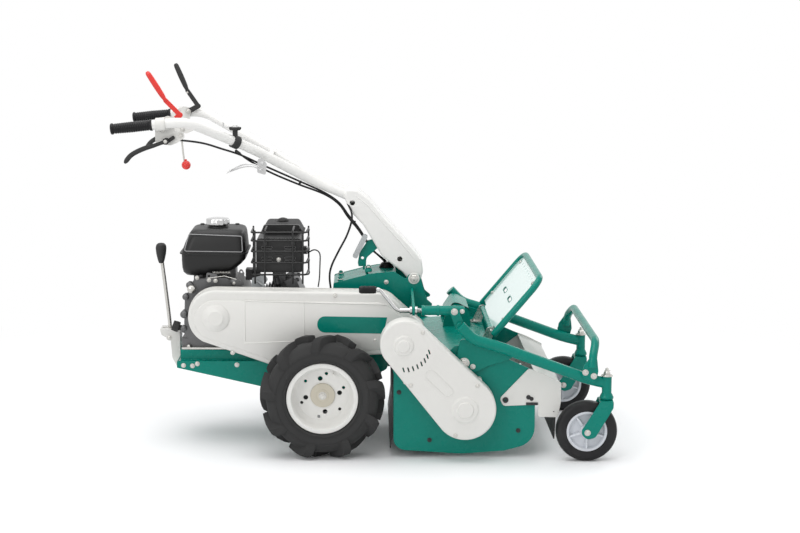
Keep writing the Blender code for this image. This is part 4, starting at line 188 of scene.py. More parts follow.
def belt_outline(first: Point2, first_radius: float, second: Point2, second_radius: float,
        steps: int = 28) -> Outline:
    """The outline round two circles: two arcs joined by their outer tangents."""
    gap = hypot(second[0] - first[0], second[1] - first[1])
    heading = degrees(atan2(second[1] - first[1], second[0] - first[0]))
    drop = first_radius - second_radius
    open_side = 90 - degrees(atan2(drop, sqrt(gap ** 2 - drop ** 2)))
    return (circle(second, second_radius, steps, heading - open_side, 2 * open_side)
        + circle(first, first_radius, steps, heading + open_side, 360 - 2 * open_side))


def shrunk(outline: Outline, amount: float) -> Outline:
    """The outline moved inwards, point by point along its own bisectors.

    Args:
        outline: a closed outline in either direction.
        amount: how far inwards; a negative amount grows it.

    Returns:
        As many points as the outline has.
    """
    area = sum(a[0] * b[1] - b[0] * a[1] for a, b in zip(outline, outline[1:] + outline[:1]))
    turn = 1 if area > 0 else -1
    moved: Outline = []
    for index, point in enumerate(outline):
        here = Vector(point)
        back = (here - Vector(outline[index - 1])).normalized()
        ahead = (Vector(outline[(index + 1) % len(outline)]) - here).normalized()
        inward = Vector((-back.y - ahead.y, back.x + ahead.x)) * turn
        inward.normalize()
        spread = max(LEAST_SPREAD, inward.dot(Vector((-back.y, back.x)) * turn))
        moved.append(tuple(here + inward * (amount / spread)))
    return moved


def smooth_path(points: Sequence[Point3], bend: float, steps: int = 10) -> list[Vector]:
    """A path through space whose corners are rounded by curves of about the bend's length."""
    path = [Vector(points[0])]
    for before, corner, after in zip(points, points[1:], points[2:]):
        corner = Vector(corner)
        back, ahead = Vector(before) - corner, Vector(after) - corner
        reach = min(bend, ARC_SHARE * back.length, ARC_SHARE * ahead.length)
        start = corner + back.normalized() * reach
        end = corner + ahead.normalized() * reach
        for step in range(steps + 1):
            share = step / steps
            path.append(start.lerp(corner, share).lerp(corner.lerp(end, share), share))
    path.append(Vector(points[-1]))
    return path


def smooth_line(points: Sequence[Point2], bend: float, steps: int = 5) -> Outline:
    """A line in X and Z whose corners are rounded."""
    return [(place.x, place.z) for place in smooth_path([(x, 0.0, z) for x, z in points], bend, steps)]


def spline_path(points: Sequence[Point3], steps: int = 8) -> list[Vector]:
    """A smooth curve through all the points."""
    ends = [Vector(point) for point in points]
    ends = [2 * ends[0] - ends[1], *ends, 2 * ends[-1] - ends[-2]]
    path: list[Vector] = []
    for a, b, c, d in zip(ends, ends[1:], ends[2:], ends[3:]):
        for step in range(steps):
            t = step / steps
            path.append(0.5 * (2 * b + (c - a) * t + (2 * a - 5 * b + 4 * c - d) * t ** 2
                + (3 * b - a - 3 * c + d) * t ** 3))
    path.append(ends[-2])
    return path


def facing(place: Point3, heading: Vector) -> Matrix:
    """The move that lays the X axis along a heading, starting from a place."""
    return Matrix.Translation(place) @ Vector((1, 0, 0)).rotation_difference(heading).to_matrix().to_4x4()


class Form:
    """The geometry of one piece in the datum frame, gathered before it becomes an object."""

    def __init__(self) -> None:
        """Start empty."""
        self.bm = bmesh.new()

    def _face(self, verts: Sequence[bmesh.types.BMVert]) -> None:
        """Add a face, leaving out repeated corners."""
        corners = list(dict.fromkeys(verts))
        if len(corners) > 2:
            self.bm.faces.new(corners)

    def rings(self, rings: Sequence[Sequence[Point3]], cap: bool = True, closed: bool = False) -> "Form":
        """Join rings of equal counts by quads.

        Args:
            rings: the sections in order. A ring of one point is a tip.
            cap: close the first and the last ring with a face.
            closed: join the last ring to the first.

        Returns:
            This form.
        """
        rows = [[self.bm.verts.new(point) for point in ring] for ring in rings]
        pairs = list(zip(rows, rows[1:])) + ([(rows[-1], rows[0])] if closed else [])
        for first, second in pairs:
            count = max(len(first), len(second))
            for step in range(count):
                after = (step + 1) % count
                self._face([first[step % len(first)], first[after % len(first)], second[after % len(second)],
                    second[step % len(second)]])
        if cap and not closed:
            self._face(rows[0])
            self._face(rows[-1])
        return self

    def turned(self, profile: Sequence[Point2], centre: Point3, axis: Axis = Axis.Y, steps: int = 48,
            ring: bool = False) -> "Form":
        """Add a turned solid.

        Args:
            profile: points as (radius, place along the axis).
            centre: the point that places are counted from.
            axis: the axis of turning.
            steps: the number of facets round the axis.
            ring: join the profile's last point to its first.

        Returns:
            This form.
        """
        along, across, out = axis.frame()
        middle = Vector(centre)
        angles = [2 * pi * step / steps for step in range(steps)]
        rows = [[middle + out * place] if radius < TINY
            else [middle + out * place + (along * cos(angle) + across * sin(angle)) * radius
            for angle in angles] for radius, place in profile]
        return self.rings(rows, cap=False, closed=ring)

    def plate(self, outline: Outline, low: float, high: float, axis: Axis = Axis.Y,
            holes: Sequence[Outline] = ()) -> "Form":
        """Add a flat plate with holes through it.

        Args:
            outline: its edge.
            low: where it starts along the axis.
            high: where it ends along the axis.
            axis: the direction of its thickness.
            holes: outlines of the holes.

        Returns:
            This form.
        """
        along, across, out = axis.frame()
        loops = [outline, *holes]
        levels = []
        for level in sorted((low, high)):
            loop_verts = [[self.bm.verts.new(along * a + across * b + out * level) for a, b in loop]
                for loop in loops]
            levels.append(loop_verts)
            if not holes:
                self.bm.faces.new(loop_verts[0])
                continue
            edges = [self.bm.edges.new((verts[index - 1], verts[index])) for verts in loop_verts
                for index in range(len(verts))]
            bmesh.ops.triangle_fill(self.bm, use_beauty=True, use_dissolve=False, edges=edges)
        for bottom, top in zip(*levels):
            for index in range(len(bottom)):
                self.bm.faces.new((bottom[index - 1], bottom[index], top[index], top[index - 1]))
        return self

    def block(self, low: Point3, high: Point3) -> "Form":
        """Add a box between two corners."""
        return self.plate(rectangle(low[0], low[1], high[0], high[1]), low[2], high[2], Axis.Z)

    def tube(self, path: Sequence[Point3], radius: float | Sequence[float], steps: int = 20,
            dome: bool = False) -> "Form":
        """Add a round bar along a path.

        Args:
            path: the points of its middle line.
            radius: one radius, or one for each point.
            steps: the number of facets round it.
            dome: round its two ends over.

        Returns:
            This form.
        """
        path = [Vector(point) for point in path]
        radii = [radius] * len(path) if isinstance(radius, (int, float)) else list(radius)
        if dome:
            first, last = (path[0] - path[1]).normalized(), (path[-1] - path[-2]).normalized()
            caps = [(sin(radians(angle)), cos(radians(angle))) for angle in (10, 40, 70)]
            path = ([path[0] + first * radii[0] * 0.5 * rise for wide, rise in caps] + path
                + [path[-1] + last * radii[-1] * 0.5 * rise for wide, rise in reversed(caps)])
            radii = ([radii[0] * wide for wide, rise in caps] + radii
                + [radii[-1] * wide for wide, rise in reversed(caps)])
        heading = (path[1] - path[0]).normalized()
        side = heading.orthogonal().normalized()
        rings = []
        for index, place in enumerate(path):
            new_heading = (path[min(index + 1, len(path) - 1)] - path[max(index - 1, 0)]).normalized()
            side = heading.rotation_difference(new_heading) @ side
            heading = new_heading
            up = heading.cross(side)
            rings.append(
                [place + (side * cos(2 * pi * step / steps) + up * sin(2 * pi * step / steps)) * radii[index]
                for step in range(steps)])
        return self.rings(rings)

    def bolt(self, centre: Point3, radius: float, height: float, axis: Axis = Axis.Y,
            washer: bool = True) -> "Form":
        """Add a chamfered hex head with its washer and the end of its thread.

        Args:
            centre: the middle of the seat.
            radius: half the width across the corners.
            height: the head's height, negative towards the low end of the axis.
            axis: the bolt's axis.
            washer: whether there is a washer below the head.

        Returns:
            This form.
        """
        sign = 1 if height > 0 else -1
        tall = abs(height)
        seat = WASHER if washer else 0.0
        if washer:
            self.turned(rectangle(0, 0, 1.25 * radius, sign * seat), centre, axis, 24)
        self.turned([(0, sign * seat), (radius, sign * seat), (radius, sign * (0.82 * tall)),
            (0.86 * radius, sign * tall), (0, sign * tall)], centre, axis, 6)
        self.turned([(0, sign * tall * 0.9), (0.52 * radius, sign * tall * 0.9),
            (0.5 * radius, sign * tall * 1.25), (0.42 * radius, sign * tall * 1.32), (0, sign * tall * 1.32)],
            centre, axis, 16)
        return self

    def bolts(self, places: Iterable[Point2], y: float, radius: float, height: float) -> "Form":
        """Add a bolt at each place in X and Z, all seated at one Y."""
        for x, z in places:
            self.bolt((x, y, z), radius, height)
        return self

    def sheet(self, line: Sequence[Point2], thickness: float, low: float, high: float) -> "Form":
        """Add a bent sheet: a line in X and Z with a thickness, from one Y to another."""
        points = [Vector(point) for point in line]
        left, right = [], []
        for index, point in enumerate(points):
            back = (point - points[index - 1]).normalized() if index else None
            ahead = (points[index + 1] - point).normalized() if index + 1 < len(points) else None
            run = ((back or ahead) + (ahead or back)).normalized()
            normal = Vector((-run.y, run.x))
            spread = normal.dot(Vector((-(back or ahead).y, (back or ahead).x)))
            left.append(tuple(point + normal * (thickness / 2 / spread)))
            right.append(tuple(point - normal * (thickness / 2 / spread)))
        return self.plate(left + right[::-1], low, high)

    def since(self, count: int) -> list[bmesh.types.BMVert]:
        """The vertices added after the form had this many."""
        self.bm.verts.ensure_lookup_table()
        return self.bm.verts[count:]

    def placed(self, add: Callable[["Form"], object], matrix: Matrix) -> "Form":
        """Add geometry by a call, and move only that geometry by a matrix."""
        count = len(self.bm.verts)
        add(self)
        bmesh.ops.transform(self.bm, matrix=matrix, verts=self.since(count))
        return self

    def turned_about(self, add: Callable[["Form"], object], centre: Point3, axis: str,
            angle: float) -> "Form":
        """Add geometry by a call, turned by an angle in degrees about an axis through a centre."""
        move = Matrix.Translation(centre) @ Matrix.Rotation(radians(angle), 4,
            axis) @ Matrix.Translation(-Vector(centre))
        return self.placed(add, move)

    def piece(self, name: str, finish: "Finish", body: str, node: str = "", edge: float = 0.0,
            crease: float = 32.0, segments: int = 2) -> bpy.types.Object:
        """Make the object, dress it and hand it to its body.

        Args:
            name: the object's name.
            finish: its finish.
            body: the body that it rides on, or nothing for a piece that bends between two.
            node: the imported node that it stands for, or nothing for a new piece.
            edge: the width that its edges are rounded by, or 0 for none.
            crease: the angle in degrees above which an edge stays sharp.
            segments: the number of facets of a rounded edge.

        Returns:
            The object.
        """
        bmesh.ops.remove_doubles(self.bm, verts=self.bm.verts, dist=TINY)
        bmesh.ops.recalc_face_normals(self.bm, faces=self.bm.faces)
        bmesh.ops.translate(self.bm, vec=SHIFT, verts=self.bm.verts)
        mesh = bpy.data.meshes.new(name)
        self.bm.to_mesh(mesh)
        self.bm.free()
        made = bpy.data.objects.new(name, mesh)
        bpy.context.scene.collection.objects.link(made)
        mesh.shade_smooth()
        if edge > 0:
            bevel = made.modifiers.new("edge", "BEVEL")
            bevel.width = edge
            bevel.segments = segments
            bevel.limit_method = "ANGLE"
            bevel.angle_limit = radians(crease)
            bevel.harden_normals = True
            bevel.use_clamp_overlap = True
        mesh.set_sharp_from_angle(angle=radians(crease))
        mesh.materials.append(finish.material())
        if node:
            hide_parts(node)
        if body:
            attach(made, body)
        LOG.info("%s rides on %s", name, body or "two bodies")
        return made

    def hardware(self, name: str, body: str = "frame", edge: float = BOLT_EDGE) -> bpy.types.Object:
        """Make a piece of zinc plated hardware, such as bolts or a pin."""
        return self.piece(name, Finishes.zinc, body, edge=edge)


def combined(tree: Tree, operation: str, first: Socket, second: Socket) -> Socket:
    """The result of a maths operation on two sockets."""
    node = tree.nodes.new("ShaderNodeMath")
    node.operation = operation
    tree.links.new(first, node.inputs[0])
    tree.links.new(second, node.inputs[1])
    return node.outputs["Value"]


def seen_directly(tree: Tree) -> Socket:
    """1 for rays from the camera, from bright surfaces and through glass, and 0 for the rest."""
    ray = tree.nodes.new("ShaderNodeLightPath").outputs
    direct = combined(tree, "MAXIMUM", ray["Is Camera Ray"], ray["Is Glossy Ray"])
    return combined(tree, "MAXIMUM", direct, ray["Is Transmission Ray"])


@dataclass(frozen=True)
class Finish:
    """A surface finish and the record's slot that it belongs to. Each kind adds its own shader nodes."""

    name: str
    slot: str
    colour: Colour
    roughness: float = 0.4
    metallic: float = 0.0

    def material(self) -> bpy.types.Material:
        """The finish's material, made once."""
        made = bpy.data.materials.get(self.name)
        if made is None:
            made = bpy.data.materials.new(self.name)
            made.use_nodes = True
            made.diffuse_color = (*self.colour, 1.0)
            tree = made.node_tree
            shader = tree.nodes["Principled BSDF"]
            shader.inputs["Base Color"].default_value = (*self.colour, 1.0)
            shader.inputs["Roughness"].default_value = self.roughness
            shader.inputs["Metallic"].default_value = self.metallic
            self.detail(tree, shader)
        return made

    def detail(self, tree: Tree, shader: Node) -> None:
        """Add what the plain shader lacks."""

    def noise(self, tree: Tree, scale: float, depth: float = 3.0,
            stretch: Colour = (1.0, 1.0, 1.0)) -> Socket:
        """A noise pattern fixed to the piece.

        Args:
            tree: the material's nodes.
            scale: features for each metre.
            depth: octaves of detail.
            stretch: the scale along each axis.

        Returns:
            The socket with its value, about 0 to 1.
        """
        place = tree.nodes.new("ShaderNodeTexCoord")
        turn = tree.nodes.new("ShaderNodeMapping")
        turn.inputs["Scale"].default_value = stretch
        texture = tree.nodes.new("ShaderNodeTexNoise")
        texture.inputs["Scale"].default_value = scale
        texture.inputs["Detail"].default_value = depth
        tree.links.new(place.outputs["Object"], turn.inputs["Vector"])
        tree.links.new(turn.outputs["Vector"], texture.inputs["Vector"])
        return texture.outputs["Fac"]

    def ranged(self, tree: Tree, value: Socket, source: Point2, target: Point2) -> Socket:
        """A value mapped from one range to another, and kept inside it."""
        span = tree.nodes.new("ShaderNodeMapRange")
        for socket, number in zip(("From Min", "From Max", "To Min", "To Max"), (*source, *target)):
            span.inputs[socket].default_value = number
        tree.links.new(value, span.inputs["Value"])
        return span.outputs["Result"]

    def tinted(self, tree: Tree, shader: Node, share: Socket, other: Colour) -> None:
        """Blend the present colour towards another by a share."""
        mix = tree.nodes.new("ShaderNodeMix")
        mix.data_type = "RGBA"
        first, second = (socket for socket in mix.inputs if socket.type == "RGBA")
        colour = shader.inputs["Base Color"]
        first.default_value = colour.default_value
        if colour.links:
            tree.links.new(colour.links[0].from_socket, first)
        second.default_value = (*other, 1.0)
        tree.links.new(share, mix.inputs["Factor"])
        tree.links.new(next(socket for socket in mix.outputs if socket.type == "RGBA"), colour)

    def blotched(self, tree: Tree, shader: Node, scale: float, depth: float, source: Point2, amount: float,
            other: Colour) -> None:
        """Blend the colour towards another in patches, by up to an amount."""
        self.tinted(tree, shader, self.ranged(tree, self.noise(tree, scale, depth), source, (0.0, amount)),
            other)

    def uneven(self, tree: Tree, shader: Node, pattern: Socket, low: float, high: float) -> None:
        """Spread the roughness between two values by a pattern."""
        tree.links.new(self.ranged(tree, pattern, (0.3, 0.7), (low, high)), shader.inputs["Roughness"])

    def bumped(self, tree: Tree, shader: Node, height: Socket, depth: float) -> None:
        """Add a bump of a depth in metres, on top of one that is there."""
        bump = tree.nodes.new("ShaderNodeBump")
        bump.inputs["Strength"].default_value = 1.0
        bump.inputs["Distance"].default_value = depth
        normal = shader.inputs["Normal"]
        if normal.links:
            tree.links.new(normal.links[0].from_socket, bump.inputs["Normal"])
        tree.links.new(height, bump.inputs["Height"])
        tree.links.new(bump.outputs["Normal"], normal)

    def worn_edges(self, tree: Tree, shader: Node, other: Colour, amount: float) -> None:
        """Rub the convex edges towards another colour, in patches."""
        shape = tree.nodes.new("ShaderNodeNewGeometry")
        edge = self.ranged(tree, shape.outputs["Pointiness"], (0.56, 0.66), (0.0, amount))
        patches = self.ranged(tree, self.noise(tree, 60.0), (0.42, 0.62), (0.0, 1.0))
        self.tinted(tree, shader, combined(tree, "MULTIPLY", edge, patches), other)


@dataclass(frozen=True)
class Enamel(Finish):
    """Sprayed paint under a clear gloss, with its orange peel, a film of dust and rubbed edges."""

    gloss: float = 0.12
    sheen: float = 0.14
    dust: Colour = (0.5, 0.49, 0.46)
    dusting: float = 0.004

    def detail(self, tree: Tree, shader: Node) -> None:
        """Orange peel, dust, uneven gloss and rubbed edges."""
        shader.inputs["Specular IOR Level"].default_value = self.sheen
        shader.inputs["Coat Weight"].default_value = self.gloss
        shader.inputs["Coat Roughness"].default_value = 0.06
        shade = tuple(0.95 * part for part in self.colour)
        self.blotched(tree, shader, 7.0, 4.0, (0.35, 0.7), 0.5, shade)
        self.blotched(tree, shader, 18.0, 6.0, (0.5, 0.75), self.dusting, self.dust)
        self.worn_edges(tree, shader, tuple(min(1.0, 0.02 + 1.1 * part) for part in self.colour), 0.3)
        self.uneven(tree, shader, self.noise(tree, 24.0, 5.0), 0.85 * self.roughness, 1.25 * self.roughness)
        self.bumped(tree, shader, self.noise(tree, 260.0, 1.0), 0.000012)


@dataclass(frozen=True)
class Rubber(Finish):
    """Moulded rubber with a fine skin and pale dust that lies in patches."""

    dusting: float = 0.3
    grain: float = 900.0

    def detail(self, tree: Tree, shader: Node) -> None:
        """Dust, uneven sheen and the skin of the mould."""
        shader.inputs["Specular IOR Level"].default_value = 0.22
        self.blotched(tree, shader, 14.0, 8.0, (0.42, 0.78), self.dusting, (0.16, 0.155, 0.145))
        self.worn_edges(tree, shader, (0.11, 0.11, 0.108), 0.6)
        self.uneven(tree, shader, self.noise(tree, 40.0, 4.0), self.roughness - 0.1, self.roughness + 0.1)
        self.bumped(tree, shader, self.noise(tree, self.grain, 3.0), 0.00012)
        self.bumped(tree, shader, self.noise(tree, 55.0, 2.0), 0.0003)


@dataclass(frozen=True)
class Plated(Finish):
    """Plated or ground steel: fine drawn lines, faint stains and a bright edge."""

    drawn: Colour = (1.0, 1.0, 1.0)
    stain: Colour = (0.3, 0.27, 0.22)
    staining: float = 0.25

    def detail(self, tree: Tree, shader: Node) -> None:
        """Stains, drawn lines and uneven gloss."""
        self.blotched(tree, shader, 30.0, 6.0, (0.48, 0.8), self.staining, self.stain)
        lines = self.noise(tree, 300.0, 3.0, self.drawn)
        self.uneven(tree, shader, lines, 0.75 * self.roughness, 1.35 * self.roughness)
        self.bumped(tree, shader, lines, 0.00002)


@dataclass(frozen=True)
class Casting(Finish):
    """Sand or die cast metal: a pebbled skin with dark hollows."""

    pebbles: float = 260.0
    depth: float = 0.00025

    def detail(self, tree: Tree, shader: Node) -> None:
        """Pebbles, blotches and rubbed edges."""
        pebbled = self.noise(tree, self.pebbles, 5.0)
        self.tinted(tree, shader, self.ranged(tree, pebbled, (0.35, 0.55), (0.35, 0.0)),
            tuple(0.6 * part for part in self.colour))
        self.blotched(tree, shader, 9.0, 6.0, (0.5, 0.8), 0.3, tuple(0.7 * part for part in self.colour))
        self.worn_edges(tree, shader, tuple(min(1.0, 0.15 + part) for part in self.colour), 0.5)
        self.bumped(tree, shader, pebbled, self.depth)


@dataclass(frozen=True)
class Plastic(Finish):
    """Moulded plastic with a fine grain and handling marks."""

    grain: float = 1100.0
    depth: float = 0.00005

    def detail(self, tree: Tree, shader: Node) -> None:
        """Grain, handling marks and paler edges."""
        shader.inputs["Specular IOR Level"].default_value = 0.25
        self.blotched(tree, shader, 22.0, 7.0, (0.52, 0.8), 0.03, (0.35, 0.34, 0.32))
        self.worn_edges(tree, shader, tuple(min(1.0, 0.06 + 1.1 * part) for part in self.colour), 0.5)
        self.uneven(tree, shader, self.noise(tree, 35.0, 4.0), 0.8 * self.roughness, 1.25 * self.roughness)
        self.bumped(tree, shader, self.noise(tree, self.grain, 2.0), self.depth)


class Finishes:
    """The machine's finishes."""

    green = Enamel("green_enamel", "green_paint", (0.0, 0.205, 0.158), 0.26)
    white = Enamel("white_enamel", "white_paint", (0.715, 0.708, 0.68), 0.32)
    bar_white = Enamel("bar_enamel", "white_paint", (0.79, 0.785, 0.765), 0.28, gloss=0.3)
    # A painted reflection: the lid's paint is green, and its pale mint colour stands for the white light that
    # its glossy sheet reflects.
    mint_reflection = Enamel("lid_sheet_painted_reflection", "green_paint", (0.64, 0.79, 0.76), 0.16, gloss=0.6, sheen=0.4)
    rim_white = Enamel("rim_enamel", "white_paint", (0.76, 0.755, 0.73), 0.34, dust=(0.45, 0.42, 0.37),
        dusting=0.03)
    black = Enamel("black_enamel", "black_enamel", (0.002, 0.002, 0.0025), 0.22, gloss=0.04, sheen=0.06,
        dust=(0.06, 0.06, 0.06))
    # A painted highlight: the tank's paint is black, and this grey stands for the light along the pressed
    # bead round its near face.
    bead = Enamel("bead_painted_highlight", "black_enamel", (0.3, 0.3, 0.305), 0.12, gloss=0.6, sheen=0.5)
    grey_white = Plastic("wheel_grey", "grey_plastic", (0.62, 0.64, 0.68), 0.4)
    beige = Enamel("beige_enamel", "white_paint", (0.56, 0.52, 0.43), 0.4, gloss=0.2)
    heat = Casting("heat_paint", "dark_heat_paint", (0.006, 0.006, 0.006), 0.45, 0.0, pebbles=500.0,
        depth=0.00006)
    # A painted highlight: the louvres have the silencer's dark heat paint, and this lighter grey stands for
    # the light on their lips.
    louvre = Casting("louvre_painted_highlight", "dark_heat_paint", (0.11, 0.11, 0.11), 0.3, 0.0, pebbles=500.0,
        depth=0.00006)
    cast = Casting("cast_aluminium", "cast_metal", (0.15, 0.15, 0.152), 0.48, 0.75)
    zinc = Plated("zinc_plate", "plated_steel", (0.6, 0.59, 0.56), 0.3, 1.0)
    steel = Plated("ground_steel", "plated_steel", (0.48, 0.47, 0.455), 0.36, 1.0, staining=0.45)
    chrome = Plated("bright_plate", "bright_plating", (0.56, 0.56, 0.56), 0.12, 1.0, staining=0.08)
    blackened = Plated("blackened_steel", "black_enamel", (0.05, 0.05, 0.052), 0.42, 0.9,
        stain=(0.1, 0.08, 0.06))
    tyre = Rubber("tyre_rubber", "tyre_rubber", (0.011, 0.011, 0.013), 0.5, dusting=0.12)
    castor = Rubber("castor_rubber", "rubber", (0.013, 0.013, 0.014), 0.4, dusting=0.08)
    grip = Rubber("grip_rubber", "rubber", (0.007, 0.007, 0.008), 0.3, dusting=0.03, grain=1500.0)
    apron = Rubber("apron_rubber", "rubber", (0.016, 0.016, 0.017), 0.55, dusting=0.25)
    belt = Rubber("belt_rubber", "rubber", (0.02, 0.019, 0.018), 0.7, dusting=0.3)
    cable = Plastic("cable_jacket", "black_plastic", (0.01, 0.01, 0.011), 0.3)
    plastic = Plastic("black_plastic", "black_plastic", (0.008, 0.008, 0.009), 0.36)
    red = Plastic("red_plastic", "red_plastic", (0.56, 0.012, 0.01), 0.3)
    grey = Plastic("grey_plastic", "grey_plastic", (0.42, 0.43, 0.43), 0.45)


@dataclass
class Studio:
    """A white studio with a pale floor, soft lamps and the photograph's camera."""

    eye: Point3 = (0.1486, -5.3857, 1.5024)
    lens: float = 71.93
    pitch: float = 7.3666
    shift: Point2 = (0.04, -0.08)
    floor_size: float = 60.0
    floor_drop: float = 0.0005
    sky: float = 0.62
    fade: Point2 = (1.0, 2.4)

    def camera(self) -> None:
        """The camera, level from side to side and looking a little down."""
        data = bpy.data.cameras.new("camera")
        data.lens = self.lens
        data.sensor_width = 36.0
        data.shift_x, data.shift_y = self.shift
        data.clip_end = 200.0
        made = bpy.data.objects.new("camera", data)
        made.location = Vector(self.eye) + SHIFT
        made.rotation_euler = (radians(90 - self.pitch), 0, 0)
        bpy.context.scene.collection.objects.link(made)
        bpy.context.scene.camera = made

    def world(self) -> None:
        """White where the camera, metal and glass look past the machine, and a soft light for the rest."""
        world = bpy.data.worlds.new("studio")
        world.use_nodes = True
        nodes, links = world.node_tree.nodes, world.node_tree.links
        strength = nodes.new("ShaderNodeMapRange")
        strength.inputs["To Min"].default_value = self.sky
        strength.inputs["To Max"].default_value = 1.0
        links.new(seen_directly(world.node_tree), strength.inputs["Value"])
        background = nodes["Background"]
        background.inputs["Color"].default_value = (1.0, 1.0, 1.0, 1.0)
        links.new(strength.outputs["Result"], background.inputs["Strength"])
        bpy.context.scene.world = world

    def floor(self) -> None:
        """The floor under the wheels: pale, and white where no shadow lies."""
        half = self.floor_size / 2
        mesh = bpy.data.meshes.new("studio_floor")
        mesh.from_pydata([(x, y, -self.floor_drop) for x, y in rectangle(-half, -half, half, half)], [],
            [(0, 1, 2, 3)])
        made = bpy.data.objects.new("studio_floor", mesh)
        material = bpy.data.materials.new("studio_floor")
        material.use_nodes = True
        nodes, links = material.node_tree.nodes, material.node_tree.links
        shader = nodes["Principled BSDF"]
        shader.inputs["Base Color"].default_value = (0.955, 0.96, 0.97, 1.0)
        shader.inputs["Roughness"].default_value = 0.55
        shader.inputs["Specular IOR Level"].default_value = 0.25
        place = nodes.new("ShaderNodeNewGeometry")
        reach = nodes.new("ShaderNodeVectorMath")
        reach.operation = "LENGTH"
        links.new(place.outputs["Position"], reach.inputs[0])
        far = nodes.new("ShaderNodeMapRange")
        far.interpolation_type = "SMOOTHSTEP"
        far.inputs["From Min"].default_value, far.inputs["From Max"].default_value = self.fade
        links.new(reach.outputs["Value"], far.inputs["Value"])
        tree = material.node_tree
        share = combined(tree, "MULTIPLY", far.outputs["Result"], seen_directly(tree))
        white = nodes.new("ShaderNodeEmission")
        white.inputs["Color"].default_value = (1.0, 1.0, 1.0, 1.0)
        blend = nodes.new("ShaderNodeMixShader")
        links.new(share, blend.inputs["Fac"])
        links.new(shader.outputs["BSDF"], blend.inputs[1])
        links.new(white.outputs["Emission"], blend.inputs[2])
        links.new(blend.outputs["Shader"], nodes["Material Output"].inputs["Surface"])
        mesh.materials.append(material)
        bpy.context.scene.collection.objects.link(made)

    def lamp(self, name: str, place: Point3, target: Point3, size: Point2, power: float) -> None:
        """Add a soft box.

        Args:
            name: the lamp's name.
            place: where it hangs.
            target: what it points at.
            size: its width and height.
            power: its power in watts.
        """
        data = bpy.data.lights.new(name, "AREA")
        data.shape = "RECTANGLE"
        data.size, data.size_y = size
        data.energy = power
        made = bpy.data.objects.new(name, data)
        made.location = Vector(place)
        made.rotation_euler = (Vector(target) - Vector(place)).to_track_quat("-Z", "Y").to_euler()
        bpy.context.scene.collection.objects.link(made)

    def build(self) -> None:
        """Set the studio up."""
        self.camera()
        self.world()
        self.floor()
        middle = (0.0, 0.0, 0.4)
        self.lamp("overhead", (-0.4, -0.4, 3.8), middle, (4.0, 3.0), 95.0)
        self.lamp("front_left", (-3.0, -4.2, 2.6), middle, (2.2, 2.2), 55.0)
        self.lamp("back_right", (3.2, 3.4, 2.8), middle, (2.0, 2.0), 40.0)


